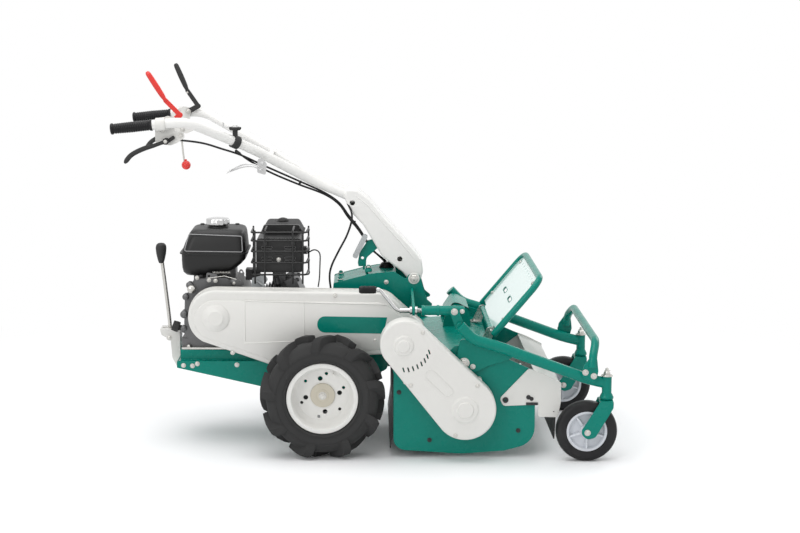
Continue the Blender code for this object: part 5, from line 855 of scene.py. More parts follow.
@dataclass
class DriveWheel:
    """A drive wheel: a lugged tyre on a dished rim, held by a nut on its half axle."""

    side: Side
    width: float = 0.1
    rim_radius: float = 0.117
    barrel: float = 0.103
    rim_width: float = 0.078
    wall: float = 0.004
    disc_inset: float = 0.052
    hub_radius: float = 0.04
    pilot_share: float = 0.45
    axle_radius: float = 0.0125
    lug_height: float = 0.021
    lugs: int = 9
    sweep: float = 16.0

    @property
    def body(self) -> str:
        """The body that the wheel's pieces ride on."""
        return f"wheel_{self.side.word}"

    @property
    def centre(self) -> Vector:
        """The middle of the wheel."""
        return Vector((0, self.side.value * WHEEL_TRACK / 2, TYRE_RADIUS))

    def lug(self, form: Form, start: float, half_turn: int) -> None:
        """Add one bar of the tread, from the crown over the shoulder to the side wall.

        Args:
            form: the tyre.
            start: the bar's angle at the crown in degrees.
            half_turn: the side that it leans to, as the sign of Y.
        """
        half, top, root = self.width / 2, TYRE_RADIUS, TYRE_RADIUS - self.lug_height - 0.012
        stations = ((-0.06, root, -0.06, top, 0.0, 4.2), (0.22, root, 0.22, top, 0.26, 4.4),
            (0.48, root, 0.5, top, 0.52, 4.6), (0.66, root - 0.004, 0.76, top - 0.002, 0.78, 4.9),
            (0.78, root - 0.012, 0.92, top - 0.01, 0.95, 5.3),
            (0.86, root - 0.02, 0.995, top - 0.024, 1.05, 5.7),
            (0.9, root - 0.024, 0.995, top - 0.041, 1.11, 5.4), (0.9, 0.143, 0.965, 0.149, 1.13, 3.6))
        rings = []
        for low_out, low, high_out, high, share, wide in stations:
            middle = start + self.sweep * share
            ring = [(low, low_out, -wide), (0.5 * (low + high), 0.5 * (low_out + high_out), -0.92 * wide),
                (high, high_out, -0.74 * wide), (high, high_out, 0.74 * wide),
                (0.5 * (low + high), 0.5 * (low_out + high_out), 0.92 * wide), (low, low_out, wide)]
            rings.append([self.centre + Vector((radius * cos(radians(middle + lean)), half_turn * half * out,
                radius * sin(radians(middle + lean)))) for radius, out, lean in ring])
        form.rings(rings)

    def tyre(self) -> None:
        """The tyre: its carcass with side wall rings, and bars that lean both ways."""
        half, crown = self.width / 2, TYRE_RADIUS - self.lug_height
        inner, bead, seat = self.barrel + FIT, self.rim_radius + 0.0015, self.rim_width / 2 - self.wall - FIT
        profile = rounded([(inner, -seat), (bead, -seat), (bead + 0.004, -0.92 * half),
            (0.84 * crown, -0.98 * half), (crown, -0.58 * half), (crown, 0.58 * half),
            (0.84 * crown, 0.98 * half), (bead + 0.004, 0.92 * half), (bead, seat), (inner, seat)],
            [0, 0, 0.003, 0.024, 0.026, 0.026, 0.024, 0.003, 0, 0], 15)
        form = Form().turned(profile, self.centre, steps=96, ring=True)
        for radius, place in ((0.1255, 0.0462), (0.13, 0.0468), (0.152, 0.0484)):
            for face in (-1, 1):
                form.turned(circle((radius, face * place), 0.0013, 8), self.centre, steps=96, ring=True)
        pitch = 360 / self.lugs
        for index in range(self.lugs):
            for half_turn in (-1, 1):
                self.lug(form, pitch * (index + 0.5 * (half_turn > 0)), half_turn)
        form.piece(f"tyre_{self.side.word}", Finishes.tyre, self.body, f"drive_tyre_{self.side.word}", 0.0022)

    def rim(self) -> None:
        """The pressed rim with rolled lips and a dished disc with two rings of holes."""
        out, half = self.side.value, self.rim_width / 2
        disc, inner = half - self.disc_inset, self.barrel - self.wall
        pilot = self.pilot_share * self.hub_radius
        edge = 0.86 * inner
        rolled = circle((self.rim_radius - 0.0028, half - 0.0028), 0.0028, 10, -90, 180)
        profile = rolled + [(self.barrel, half), (inner + 0.001, half - 0.006), (inner, disc + 0.022),
            (inner - 0.003, disc + 0.013), (inner - 0.01, disc + 0.004), (edge, disc),
            (edge, disc - self.wall), (inner - 0.012, disc - self.wall), (inner - 0.005, disc + 0.006),
            (inner - 0.004, 0.006 - half), (self.barrel, -half), (self.rim_radius, -half),
            (self.rim_radius, self.wall - half), (self.barrel, self.wall - half),
            (self.barrel, half - self.wall), (self.rim_radius - 0.003, half - self.wall - 0.001)]
        form = Form().turned([(radius, out * place) for radius, place in profile], self.centre, steps=96,
            ring=True)
        axle = (0, TYRE_RADIUS)
        holes = [circle(place, 0.008, 20) for place in circle(axle, 0.056, 4, 8)]
        holes += [circle(place, 0.0054, 16) for place in circle(axle, 0.073, 6, 20)]
        holes.append(circle(axle, pilot, 32))
        low, high = self.centre.y + out * (disc - self.wall), self.centre.y + out * disc
        form.plate(circle(axle, edge, 96), low, high, holes=holes)
        valve = self.centre + Vector((0.079 * cos(radians(63)), out * (disc + 0.001),
            0.079 * sin(radians(63))))
        form.tube([valve, valve + Vector((0.002, out * 0.02, 0.003))], 0.0035, 14, dome=True)
        form.piece(f"rim_{self.side.word}", Finishes.rim_white, self.body, f"drive_rim_{self.side.word}",
            0.0006)

    def hub(self) -> None:
        """The half axle, its flange with a stepped cap, and the nut that holds the wheel."""
        out = self.side.value
        face = WHEEL_TRACK / 2 + self.rim_width / 2 - self.disc_inset
        pilot = self.pilot_share * self.hub_radius - FIT
        middle = Vector((0, 0, TYRE_RADIUS))
        shaft = [(pilot, face + FIT), (pilot, face - self.wall - 0.014),
            (self.axle_radius, face - self.wall - 0.017), (self.axle_radius, 0.0755), (0, 0.0755),
            (0, face + FIT)]
        part = Form().turned([(r, out * y) for r, y in shaft], middle, steps=40)
        part.piece(f"axle_{self.side.word}", Finishes.steel, self.body, f"drive_axle_{self.side.word}",
            0.0005)
        flange = rounded([(0, face + FIT), (self.hub_radius, face + FIT), (self.hub_radius, face + 0.0065),
            (0.021, face + 0.0085), (0.0195, face + 0.0105), (0, face + 0.0105)],
            [0, 0, 0.002, 0.001, 0.0015, 0], 20)
        part = Form().turned([(r, out * y) for r, y in flange], middle, steps=64)
        part.piece(f"hub_cap_{self.side.word}", Finishes.beige, self.body)
        part = Form().bolt(middle + Vector((0, out * (face + 0.0105), 0)), 0.0105, out * 0.0075)
        part.piece(f"wheel_nut_{self.side.word}", Finishes.zinc, self.body, edge=BOLT_EDGE)

    def build(self) -> None:
        """Build the wheel."""
        self.tyre()
        self.rim()
        self.hub()


@dataclass
class Castor:
    """A swivelling castor: a bent fork with a stem, and a plain tyre on a ribbed wheel."""

    side: Side
    radius: float = 0.1
    width: float = 0.044
    rim: float = 0.066
    track: float = 0.64
    swivel_x: float = 0.923
    trail: float = 0.064
    axle: float = 0.006
    plate: float = 0.006
    barrel_low: float = 0.226
    barrel_high: float = 0.281
    stem: float = 0.011
    ribs: int = 5
    first_rib: float = 18.0

    @property
    def y(self) -> float:
        """The castor's middle plane."""
        return self.side.value * self.track / 2

    @property
    def centre(self) -> Vector:
        """The middle of its wheel."""
        return Vector((self.swivel_x - self.trail, self.y, self.radius))

    def fork(self) -> None:
        """The fork: two plates under a crown, with the stem, its washers, nuts and split pin."""
        inner, top = self.width / 2 + 0.004, self.barrel_low - 0.0223
        x, z = self.centre.x, self.centre.z
        outline = rounded([(self.swivel_x - 0.024, top), (self.swivel_x + 0.019, top),
            (self.swivel_x + 0.019, top - 0.022), (x + 0.026, z - 0.016), (x, z - 0.024),
            (x - 0.024, z - 0.002), (self.swivel_x - 0.028, top - 0.01)],
            [0.003, 0.004, 0.02, 0.016, 0.02, 0.02, 0.005], 8)
        form = Form()
        for face in (-1, 1):
            low, high = self.y + face * inner, self.y + face * (inner + self.plate)
            form.plate(outline, low, high, holes=[circle((x, z), self.axle, 20)])
        form.plate(rounded(rectangle(self.swivel_x - 0.024, self.y - inner - 0.004, self.swivel_x + 0.0188,
            self.y + inner + 0.004), 0.004), top - self.plate, top - 0.0002, Axis.Z)
        name = self.side.word
        form.piece(f"fork_{name}", Finishes.green, f"fork_{name}", f"castor_fork_{name}", 0.0012)
        high = self.barrel_high
        stem = [(0, top - 0.003), (self.stem, top - 0.003), (self.stem, high + FIT), (0.02, high + FIT),
            (0.02, high + 0.0026), (0.015, high + 0.003), (0.0145, high + 0.006), (0.0085, high + 0.0062),
            (0.0085, high + 0.015), (0.0055, high + 0.0165), (0.005, high + 0.026), (0, high + 0.0278)]
        fit = Form().turned(stem, (self.swivel_x, self.y, 0), Axis.Z, 36)
        fit.turned([(0, 0), (0.011, 0), (0.011, 0.0075), (0.0095, 0.009), (0, 0.009)],
            (self.swivel_x, self.y, high + 0.006), Axis.Z, 6)
        fit.tube([(self.swivel_x - 0.01, self.y, high + 0.0185),
            (self.swivel_x + 0.011, self.y, high + 0.0185)], 0.0014, 10, dome=True)
        for face in (-1, 1):
            fit.bolt((x, self.y + face * (inner + self.plate), z), 0.0082, face * 0.0062)
        fit.hardware(f"fork_fittings_{name}", f"fork_{name}")

    def tyre(self) -> None:
        """The moulded tyre with its part line and a step at the rim."""
        half, inner = self.width / 2, self.rim + FIT
        profile = rounded([(inner, -0.8 * half), (inner + 0.004, -0.84 * half), (0.86 * self.radius, -half),
            (0.965 * self.radius, -0.8 * half), (self.radius, -0.3 * half), (self.radius, 0.3 * half),
            (0.965 * self.radius, 0.8 * half), (0.86 * self.radius, half), (inner + 0.004, 0.84 * half),
            (inner, 0.8 * half)], [0, 0.001, 0.01, 0.01, 0.012, 0.012, 0.01, 0.01, 0.001, 0], 10)
        form = Form().turned(profile, self.centre, steps=80, ring=True)
        form.turned(circle((self.radius - 0.0007, 0), 0.0007, 6), self.centre, steps=80, ring=True)
        name = self.side.word
        form.piece(f"castor_rubber_{name}", Finishes.castor, f"castor_{name}", f"castor_tyre_{name}")

    def wheel(self) -> None:
        """The cast wheel: a rim with rounded lips, five ribs, small bosses and a hub."""
        half, hub = 0.8 * self.width / 2, self.width / 2 + 0.0037
        profile = rounded([(self.rim, -half), (self.rim, half), (self.rim - 0.008, half), (self.rim - 0.011,
            0.004), (0.022, 0.003), (0.017, hub), (self.axle + 0.0006, hub), (self.axle + 0.0006, -hub),
            (0.017, -hub), (0.022, -0.003), (self.rim - 0.011, -0.004), (self.rim - 0.008, -half)],
            [0.001, 0.001, 0.003, 0.004, 0.004, 0.001, 0, 0, 0.001, 0.004, 0.004, 0.003], 15)
        form = Form().turned(profile, self.centre, steps=64, ring=True)
        rib = rounded([(0.015, -0.0036), (self.rim - 0.007, -0.003), (self.rim - 0.007, 0.003),
            (0.015, 0.0036)], 0.0005)
        middle, pitch, reach = self.centre, 360 / self.ribs, 0.78 * half
        for index in range(self.ribs):
            turn = pitch * index + self.first_rib
            form.turned_about(lambda made: made.plate([(middle.x + a, middle.z + b) for a, b in rib],
                self.y - reach, self.y + reach), middle, "Y", turn)
            angle = radians(turn + pitch / 2)
            place = middle + Vector((0.041 * cos(angle), 0, 0.041 * sin(angle)))
            for face in (-1, 1):
                form.turned([(0, face * 0.002), (0.0062, face * 0.002), (0.0055, face * 0.0085),
                    (0.0035, face * 0.0085), (0.003, face * 0.006), (0, face * 0.006)], place, Axis.Y, 20)
        name = self.side.word
        form.piece(f"castor_wheel_{name}", Finishes.grey_white, f"castor_{name}", f"castor_rim_{name}",
            0.0006)

    def build(self) -> None:
        """Build the castor."""
        self.fork()
        self.tyre()
        self.wheel()


@dataclass
class CastorArms:
    """The two bent arms that carry the castors, and the bumper that joins them."""

    y: float = 0.32
    radius: float = 0.018
    pivot: Point2 = (0.461, 0.32)
    plate: float = 0.01
    inner: float = 0.2943
    bumper_radius: float = 0.0135
    bumper_top: Point2 = (0.89, 0.388)
    bumper_y: float = 0.285
    adjuster_y: float = -0.2865
    adjuster_radius: float = 0.0155
    pin: Point2 = (0.428, 0.49)
    taper: float = 0.3
    taper_from: float = 0.835
    taper_length: float = 0.055

    def arm(self, side: Side, castor: Castor) -> None:
        """One arm: its tube, pivot plate and the castor's barrel.

        Args:
            side: the arm's side.
            castor: the castor that it carries.
        """
        sign, y = side.value, side.value * self.y
        form = Form()
        path = smooth_path([(0.446, y, 0.446), (0.486, y, 0.402), (0.582, y, 0.374), (0.7, y, 0.33),
            (0.857, y, 0.272), (castor.swivel_x - 0.002, y, 0.257)], 0.035)
        form.tube(path, self.radius, 28)
        for vert in form.since(0):
            share = max(0.0, min(1.0, (vert.co.x - self.taper_from) / self.taper_length))
            vert.co.y = y + (vert.co.y - y) * (1 - self.taper * share)
        low, high = sign * self.inner, sign * (self.inner + self.plate)
        web = rounded([(0.431, 0.312), (0.448, 0.4), (0.5, 0.392), (0.59, 0.366), (0.64, 0.348), (0.6, 0.328),
            (0.54, 0.31), (0.5, 0.29), (0.458, 0.286)], 0.014)
        form.plate(web, low, high)
        form.turned(rounded([(castor.stem + FIT, castor.barrel_low - 0.022),
            (0.0215, castor.barrel_low - 0.022), (0.0228, castor.barrel_low - 0.014),
            (0.0195, castor.barrel_low - 0.007), (0.0158, castor.barrel_low), (0.0158, castor.barrel_high),
            (castor.stem + FIT, castor.barrel_high)], [0, 0.003, 0.004, 0.003, 0.001, 0.001, 0], 20),
            (castor.swivel_x, y, 0), Axis.Z, 40, ring=True)
        if side is Side.RIGHT:
            strap = self.adjuster_y - self.adjuster_radius - FIT - 0.006
            form.plate(slot(self.pin, (0.446, 0.44), 0.015, 16), strap, strap + 0.006)
            form.tube([(0.446, y, 0.444), (0.446, strap + 0.002, 0.444)], 0.0125, 24)
        name = side.word
        form.piece(f"arm_{name}", Finishes.green, "arms", f"castor_arm_{name}", 0.0014)
        bolts = Form().bolt((self.pivot[0], sign * (self.inner + self.plate), self.pivot[1]), 0.014,
            sign * 0.0075)
        bolts.tube([(self.pivot[0], sign * (self.inner + 0.002), self.pivot[1]),
            (self.pivot[0], sign * (self.inner - 0.0083), self.pivot[1])], 0.0078, 20)
        bolts.bolt((0.489, sign * (self.inner + self.plate), 0.308), 0.0072, sign * 0.005)
        if side is Side.RIGHT:
            x, z = self.pin
            bolts.bolt((x, strap, z), 0.009, -0.006)
            bolts.tube([(x, strap, z), (x, self.adjuster_y + self.adjuster_radius + 0.003, z)], 0.006, 20)
        bolts.hardware(f"arm_bolts_{name}", "arms")

    def bumper(self) -> None:
        """The hoop of tube over the castors, with a bolted foot on each arm."""
        foot = self.y + self.radius + FIT
        x, z = self.bumper_top
        path = smooth_path([(0.872, -foot - 0.003, 0.312), (0.875, -foot + 0.004, 0.35), (x, -self.bumper_y,
            z), (x, self.bumper_y, z), (0.875, foot - 0.004, 0.35), (0.872, foot + 0.003, 0.312)], 0.034)
        form = Form().tube(path, self.bumper_radius, 28)
        outline = rounded([(0.838, 0.28), (0.882, 0.261), (0.892, 0.3), (0.887, 0.346), (0.868, 0.352),
            (0.844, 0.318)], 0.01)
        bolts = Form()
        for side in Side:
            low, high = side.value * foot, side.value * (foot + 0.006)
            form.plate(outline, low, high)
            bolts.bolts(((0.85, 0.298), (0.877, 0.286)), side.value * (foot + 0.006), 0.0082,
                side.value * 0.0055)
        form.piece("bumper_hoop", Finishes.green, "arms", "front_bumper", 0.0012)
        bolts.hardware("bumper_bolts", "arms")

    def build(self) -> None:
        """Build the arms, the castors on them and the bumper."""
        for side in Side:
            castor = Castor(side)
            self.arm(side, castor)
            castor.build()
        self.bumper()


@dataclass
class Chassis:
    """The frame that carries the engine, and the gear case between its rails."""

    rail_y: float = 0.14
    rail: float = 0.006
    rear: float = -0.4925
    top: float = 0.322
    rail_top: float = 0.288
    bed: float = 0.114
    notch: float = 0.024

    def rails(self) -> None:
        """Two side rails with the engine bed and cross members between them."""
        notch = circle((0, TYRE_RADIUS), self.notch, 19, 204, -228)
        line = rounded([(self.rear, 0.265), (-0.182, 0.195), (0.08, 0.195), (0.215, 0.262), (0.215, 0.33),
            (-0.06, 0.33), (-0.102, self.rail_top), (self.rear, self.rail_top)],
            [0.004, 0.03, 0.03, 0.02, 0.01, 0.012, 0.012, 0.004])
        start = next(index for index, point in enumerate(line) if point[0] > -0.1)
        line[start:start] = notch
        inner = self.rail_y - self.rail
        form = Form()
        bolts = Form()
        for side in Side:
            low, high = side.value * inner, side.value * self.rail_y
            form.plate(line, low, high)
            places = ((-0.47, 0.2735), (-0.44, 0.272), (-0.4235, 0.279), (-0.291, 0.2755))
            bolts.bolts(places, side.value * self.rail_y, 0.0065, side.value * 0.0045)
        flange, bed, fold = inner + 0.004, self.bed, self.bed - 0.005
        hat = [(-flange, self.rail_top - 0.0055), (-fold, self.rail_top - 0.0055), (-fold, self.top - 0.006),
            (fold, self.top - 0.006), (fold, self.rail_top - 0.0055), (flange, self.rail_top - 0.0055),
            (flange, self.rail_top - 0.0005), (bed, self.rail_top - 0.0005), (bed, self.top - 0.001),
            (-bed, self.top - 0.001), (-bed, self.rail_top - 0.0005), (-flange, self.rail_top - 0.0005)]
        form.plate(rounded(hat, [0, 0.0015, 0.002, 0.002, 0.0015, 0, 0, 0.0015, 0.004, 0.004, 0.0015, 0]),
            self.rear + 0.01, -0.19, Axis.X)
        form.block((self.rear + 0.0005, -self.rail_y + 0.002, 0.268),
            (self.rear + 0.0055, self.rail_y - 0.002, self.rail_top - 0.001))
        form.block((-0.15, -inner - 0.002, 0.25), (-0.11, inner + 0.002, self.rail_top - 0.002))
        form.block((0.2, -inner - 0.002, 0.27), (0.2148, inner + 0.002, 0.3295))
        form.piece("frame_rails", Finishes.green, "frame", "main_frame", 0.0012)
        for y in (-0.1035, 0.0935):
            bolts.block((-0.478, y - 0.0085, self.top), (-0.235, y + 0.0085, self.top + 0.0065))
            for x in (-0.455, -0.27):
                bolts.bolt((x, y, self.top + 0.0065), 0.0085, 0.0065, Axis.Z)
        bolts.piece("slide_plates", Finishes.zinc, "frame", edge=0.0006)

    def gear_case(self) -> None:
        """The cast gear case with its bolted seam and the tube round the half axles."""
        half = self.rail_y - self.rail - 0.004
        seam = rounded([(-0.103, 0.143), (0.076, 0.132), (0.118, 0.188), (0.158, 0.3), (0.158, 0.408),
            (0.06, 0.449), (-0.044, 0.428), (-0.103, 0.335)], 0.025)
        form = Form().plate(shrunk(seam, 0.008), -0.062, 0.062).plate(seam, -0.007, 0.007)
        form.turned(rounded([(0.014, half), (0.027, half), (0.031, 0.08), (0.031, -0.08), (0.027, -half),
            (0.014, -half)], [0, 0.002, 0.01, 0.01, 0.002, 0]), (0, 0, TYRE_RADIUS), steps=40, ring=True)
        for x in (-0.06, 0.11):
            form.block((x - 0.012, -half - 0.0037, 0.302), (x + 0.012, half + 0.0037, 0.318))
        for index, place in enumerate(seam):
            if index % 3 == 1:
                inward = (Vector((0.03, 0.29)) - Vector(place)).normalized() * 0.004
                form.bolt((place[0] + inward.x, -0.007, place[1] + inward.y), 0.0055, -0.004, washer=False)
        form.piece("gear_case", Finishes.cast, "frame", "transmission_case", 0.0025)

    def build(self) -> None:
        """Build the frame and the gear case."""
        self.rails()
        self.gear_case()


@dataclass
class Engine:
    """The small petrol engine: its castings, tank, silencer in a wire cage, filter and pull starter."""

    crank: Point2 = (-0.355, 0.447)
    near: float = -0.1
    far: float = 0.08
    tank_y: float = 0.105
    cap_x: float = -0.362
    cap_radius: float = 0.04
    muffler_near: float = -0.1
    muffler_far: float = 0.03
    wire: float = 0.0031
    cover_ribs: int = 7
    cover_pitch: float = 51.4

    def castings(self) -> None:
        """Crankcase, side cover, leaning finned cylinder and head, with the posts of what stands on them."""
        x, z = self.crank
        form = Form()
        form.plate(rounded([(-0.47, 0.352), (-0.262, 0.352), (-0.225, 0.43), (-0.262, 0.53), (-0.33, 0.565),
            (-0.44, 0.56), (-0.468, 0.47)], 0.03), self.near, self.far)
        form.block((-0.48, -0.095, 0.3213), (-0.235, 0.078, 0.356))
        form.turned(rounded([(0, self.near - 0.024), (0.03, self.near - 0.024), (0.036, self.near - 0.012),
            (0.088, self.near - 0.008), (0.094, self.near + 0.004), (0, self.near + 0.004)],
            [0, 0.003, 0.004, 0.004, 0.002, 0]), (x, 0, z), steps=64)
        for index in range(self.cover_ribs):
            angle = radians(self.cover_pitch * index + 12)
            form.bolt((x + 0.082 * cos(angle), self.near - 0.008, z + 0.082 * sin(angle)), 0.0065, -0.005)
            form.turned_about(lambda made: made.block((x + 0.036, self.near - 0.0115, z - 0.0022),
                (x + 0.08, self.near - 0.007, z + 0.0022)), (x, 0, z), "Y", self.cover_pitch * index + 37)
        centre = (-0.205, 0, 0.45)

        def leaning(made: Form) -> None:
            """Add the barrel with its fins as they lie before they are tilted."""
            made.plate(rounded(rectangle(-0.33, 0.405, -0.085, 0.495), 0.01), -0.05, 0.05)
            for fin in range(12):
                at = -0.234 + 0.0115 * fin
                made.plate(rounded(rectangle(at, 0.392, at + 0.0034, 0.508), 0.001), -0.072, 0.066)
            made.plate(rounded([(-0.1, 0.39), (-0.066, 0.39), (-0.06, 0.405), (-0.06, 0.495), (-0.066, 0.51),
                (-0.1, 0.51)], 0.006), -0.078, 0.07)
            for y in (-0.055, 0.048):
                for rise in (0.408, 0.492):
                    made.bolt((-0.06, y, rise), 0.007, 0.006, Axis.X)

        form.turned_about(leaning, centre, "Y", -25)
        form.block((-0.26, -0.09, 0.35), (-0.24, 0.08, 0.385))
        form.block((-0.44, -0.06, 0.54), (-0.41, 0.06, 0.57))
        form.plate([(-0.33, 0.54), (-0.3, 0.5), (-0.3, 0.6032), (-0.33, 0.584)], -0.04, 0.04)
        form.block((-0.17, -0.06, 0.47), (-0.13, -0.02, 0.583 - FIT))
        form.block((-0.18, 0.05, 0.44), (-0.14, 0.09, 0.59 - FIT))
        form.tube([(-0.45, -0.06, 0.372), (-0.484, -0.06, 0.384)], 0.013, 24)
        for x, y, z, radius in ((-0.462, -0.085, 0.5, 0.011), (-0.468, -0.07, 0.44, 0.013),
                (-0.47, -0.088, 0.392, 0.01), (-0.448, -0.092, 0.54, 0.012), (-0.3, -0.096, 0.552, 0.013),
                (-0.25, -0.094, 0.52, 0.011)):
            form.tube([(x, y, z), (x - 0.002, self.near - 0.006, z)], radius, 24, dome=True)
        form.plate(rounded([(-0.474, 0.396), (-0.452, 0.396), (-0.446, 0.52), (-0.47, 0.5)], 0.006), -0.07,
            -0.062)
        form.piece("engine_castings", Finishes.cast, "frame", "engine_block", 0.0018)
        part = Form().tube([(-0.48, -0.06, 0.3828), (-0.492, -0.06, 0.387)], 0.0095, 20)
        part.tube([(-0.492, -0.06, 0.387), (-0.5, -0.06, 0.3898), (-0.514, -0.06, 0.3948)],
            [0.0178, 0.0182, 0.0168], 12)
        part.piece("oil_plug", Finishes.plastic, "frame", edge=0.001)

    def linkage(self) -> None:
        """Governor arm, spring, carburettor, spark plug with its lead, and the earth wire."""
        form = Form()
        arm = rounded([(-0.3, 0.536), (-0.268, 0.541), (-0.265, 0.582), (-0.273, 0.596), (-0.281, 0.594)],
            0.005)
        holes = [circle((-0.275, 0.586), 0.0035, 16), circle((-0.28, 0.556), 0.003, 16)]
        part = Form().plate(arm, -0.1115, -0.1095, holes=holes)
        part.piece("governor_arm", Finishes.cast, "frame", edge=PIN_EDGE)
        form.tube([(-0.388, -0.108, 0.564), (-0.332, -0.11, 0.572), (-0.29, -0.11, 0.56)], 0.0016, 10)
        count, radius, turn = 120, 0.0042, 0.62
        coil = [(-0.372 + 0.06 * step / count, -0.104 + radius * cos(step * turn),
            0.583 + radius * sin(step * turn)) for step in range(count + 1)]
        form.tube(coil, 0.0008, 6)
        part = Form().plate(rounded([(-0.396, 0.548), (-0.36, 0.548), (-0.355, 0.578), (-0.392, 0.584)],
            0.006), -0.109, -0.107, holes=[circle((-0.384, 0.572), 0.004, 16)])
        part.piece("governor_plate", Finishes.cast, "frame", edge=PIN_EDGE)
        form.bolts(((-0.384, 0.558), (-0.362, 0.556), (-0.3, 0.548), (-0.424, 0.566)), -0.109, 0.0058,
            -0.0045)
        form.tube([(-0.443, -0.1, 0.528), (-0.443, -0.117, 0.528)], 0.014, 24, dome=True)
        form.hardware("governor_linkage")
        black = Form().block((-0.262, -0.096, 0.556), (-0.214, -0.05, 0.592))
        black.tube(smooth_path([(-0.15, -0.108, 0.548), (-0.152, -0.112, 0.52), (-0.196, -0.108, 0.505),
            (-0.24, -0.104, 0.52)], 0.02), 0.0038, 14)
        black.tube([(-0.158, -0.1, 0.57), (-0.152, -0.11, 0.545), (-0.148, -0.108, 0.53)],
            [0.0085, 0.01, 0.006], 20)
        black.tube(smooth_path([(-0.06, -0.06, 0.64), (-0.03, -0.1, 0.662), (-0.01, -0.13, 0.655),
            (-0.012, -0.165, 0.575), (-0.0165, -0.172, 0.546)], 0.03), 0.0022, 12)
        black.piece("engine_leads", Finishes.cable, "frame", edge=0.0008)
        part = Form().plate(rounded([(-0.244, 0.512), (-0.222, 0.512), (-0.186, 0.56), (-0.196, 0.576),
            (-0.24, 0.566)], 0.008), -0.108, -0.106)
        part.tube([(-0.23, -0.11, 0.56), (-0.2, -0.114, 0.54), (-0.214, -0.112, 0.514)], 0.005, 14)
        part.piece("choke_plate", Finishes.grey, "frame", edge=0.0006)

    def tank(self) -> None:
        """The fuel tank: a drawn lower half, a rolled seam, a domed upper half and a framed near face."""
        seam = 0.645

        def ring(low: float, high: float, inset: float, rise: float, bend: float = 0.03) -> list[Vector]:
            """One section of the tank, as a rounded rectangle at a height."""
            near, far = -self.tank_y + inset, self.tank_y - inset
            return [Vector((x, y, rise)) for x, y in rounded(rectangle(low, near, high, far), bend, 10)]

        form = Form().rings([ring(-0.478, -0.262, 0.002, seam), ring(-0.474, -0.263, 0.003, 0.658),
            ring(-0.466, -0.265, 0.006, 0.68), ring(-0.457, -0.267, 0.01, 0.7),
            ring(-0.452, -0.269, 0.015, 0.711), ring(-0.446, -0.273, 0.022, 0.7185),
            ring(-0.439, -0.28, 0.031, 0.7225), ring(-0.428, -0.29, 0.044, 0.724)])
        lower = [(-0.466, -0.33, 0.026, 0.569, 0.585), (-0.474, -0.3, 0.012, 0.58, 0.594),
            (-0.477, -0.28, 0.006, 0.596, 0.608), (-0.478, -0.264, 0.003, 0.618, 0.624),
            (-0.478, -0.262, 0.002, seam + 0.001, seam + 0.001)]
        rings = []
        for low, high, inset, rear, front in lower:
            rings.append(
                [Vector((point.x, point.y, rear + (front - rear) * max(0.0, (point.x + 0.4) / 0.135)))
                for point in ring(low, high, inset, rear)])
        form.rings(rings)
        rim = rounded(rectangle(-0.484, -self.tank_y - 0.004, -0.256, self.tank_y + 0.004), 0.034, 8)
        form.plate(rim, seam - 0.002, seam + 0.003, Axis.Z)
        form.turned(rounded([(0, 0.715), (0.036, 0.715), (0.034, 0.7285), (0.0285, 0.7285), (0.0285, 0.7323),
            (0, 0.7323)], [0, 0, 0.002, 0.001, 0.001, 0]), (self.cap_x, 0, 0), Axis.Z, 48)
        for x in (-0.3, -0.42):
            form.turned([(0, 0.716), (0.008, 0.716), (0.007, 0.7275), (0, 0.7275)], (x, 0.052, 0), Axis.Z, 20)
        form.piece("fuel_tank_shell", Finishes.black, "frame", "fuel_tank", 0.0012, crease=40)
        # The grey ring round the near face is a painted highlight on the tank's black paint.
        frame_line = rounded([(-0.468, 0.654), (-0.27, 0.651), (-0.273, 0.706), (-0.452, 0.713)], 0.007)
        panel = Form()
        count = len(panel.bm.verts)
        panel.plate(frame_line, -0.001, 0.0, holes=[shrunk(frame_line, 0.0028)])
        for vert in panel.since(count):
            depth = 0.003 + 0.0075 * max(0.0, (vert.co.z - 0.658) / 0.043) ** 1.2
            vert.co.y = vert.co.y - self.tank_y + depth - 0.0006
        panel.piece("tank_panel_edge", Finishes.bead, "frame", edge=BOLT_EDGE)

    def cap(self) -> None:
        """The bright cap with its fluted skirt and rolled top."""
        outline: Outline = []
        points, flutes = 144, 12
        for step in range(points):
            turn = step * (360 / points)
            wave = 0.5 + 0.5 * cos(radians(turn * flutes))
            radius = self.cap_radius * (0.93 + 0.07 * wave ** 0.6)
            outline.append((self.cap_x + radius * cos(radians(turn)), radius * sin(radians(turn))))
        form = Form()
        levels = ((0.0016, 0.7326), (0.0, 0.7338), (0.0, 0.7496), (0.0014, 0.7512), (0.004, 0.752))
        form.rings([[Vector((x, y, rise)) for x, y in shrunk(outline, inset)] for inset, rise in levels])
        form.turned(rounded([(0, 0.75), (0.0345, 0.75), (0.0335, 0.7526), (0.02, 0.7536), (0.0, 0.754)],
            [0, 0.001, 0.002, 0.004, 0]), (self.cap_x, 0, 0), Axis.Z, 64)
        form.piece("tank_cap", Finishes.chrome, "cap", "fuel_cap", crease=50)

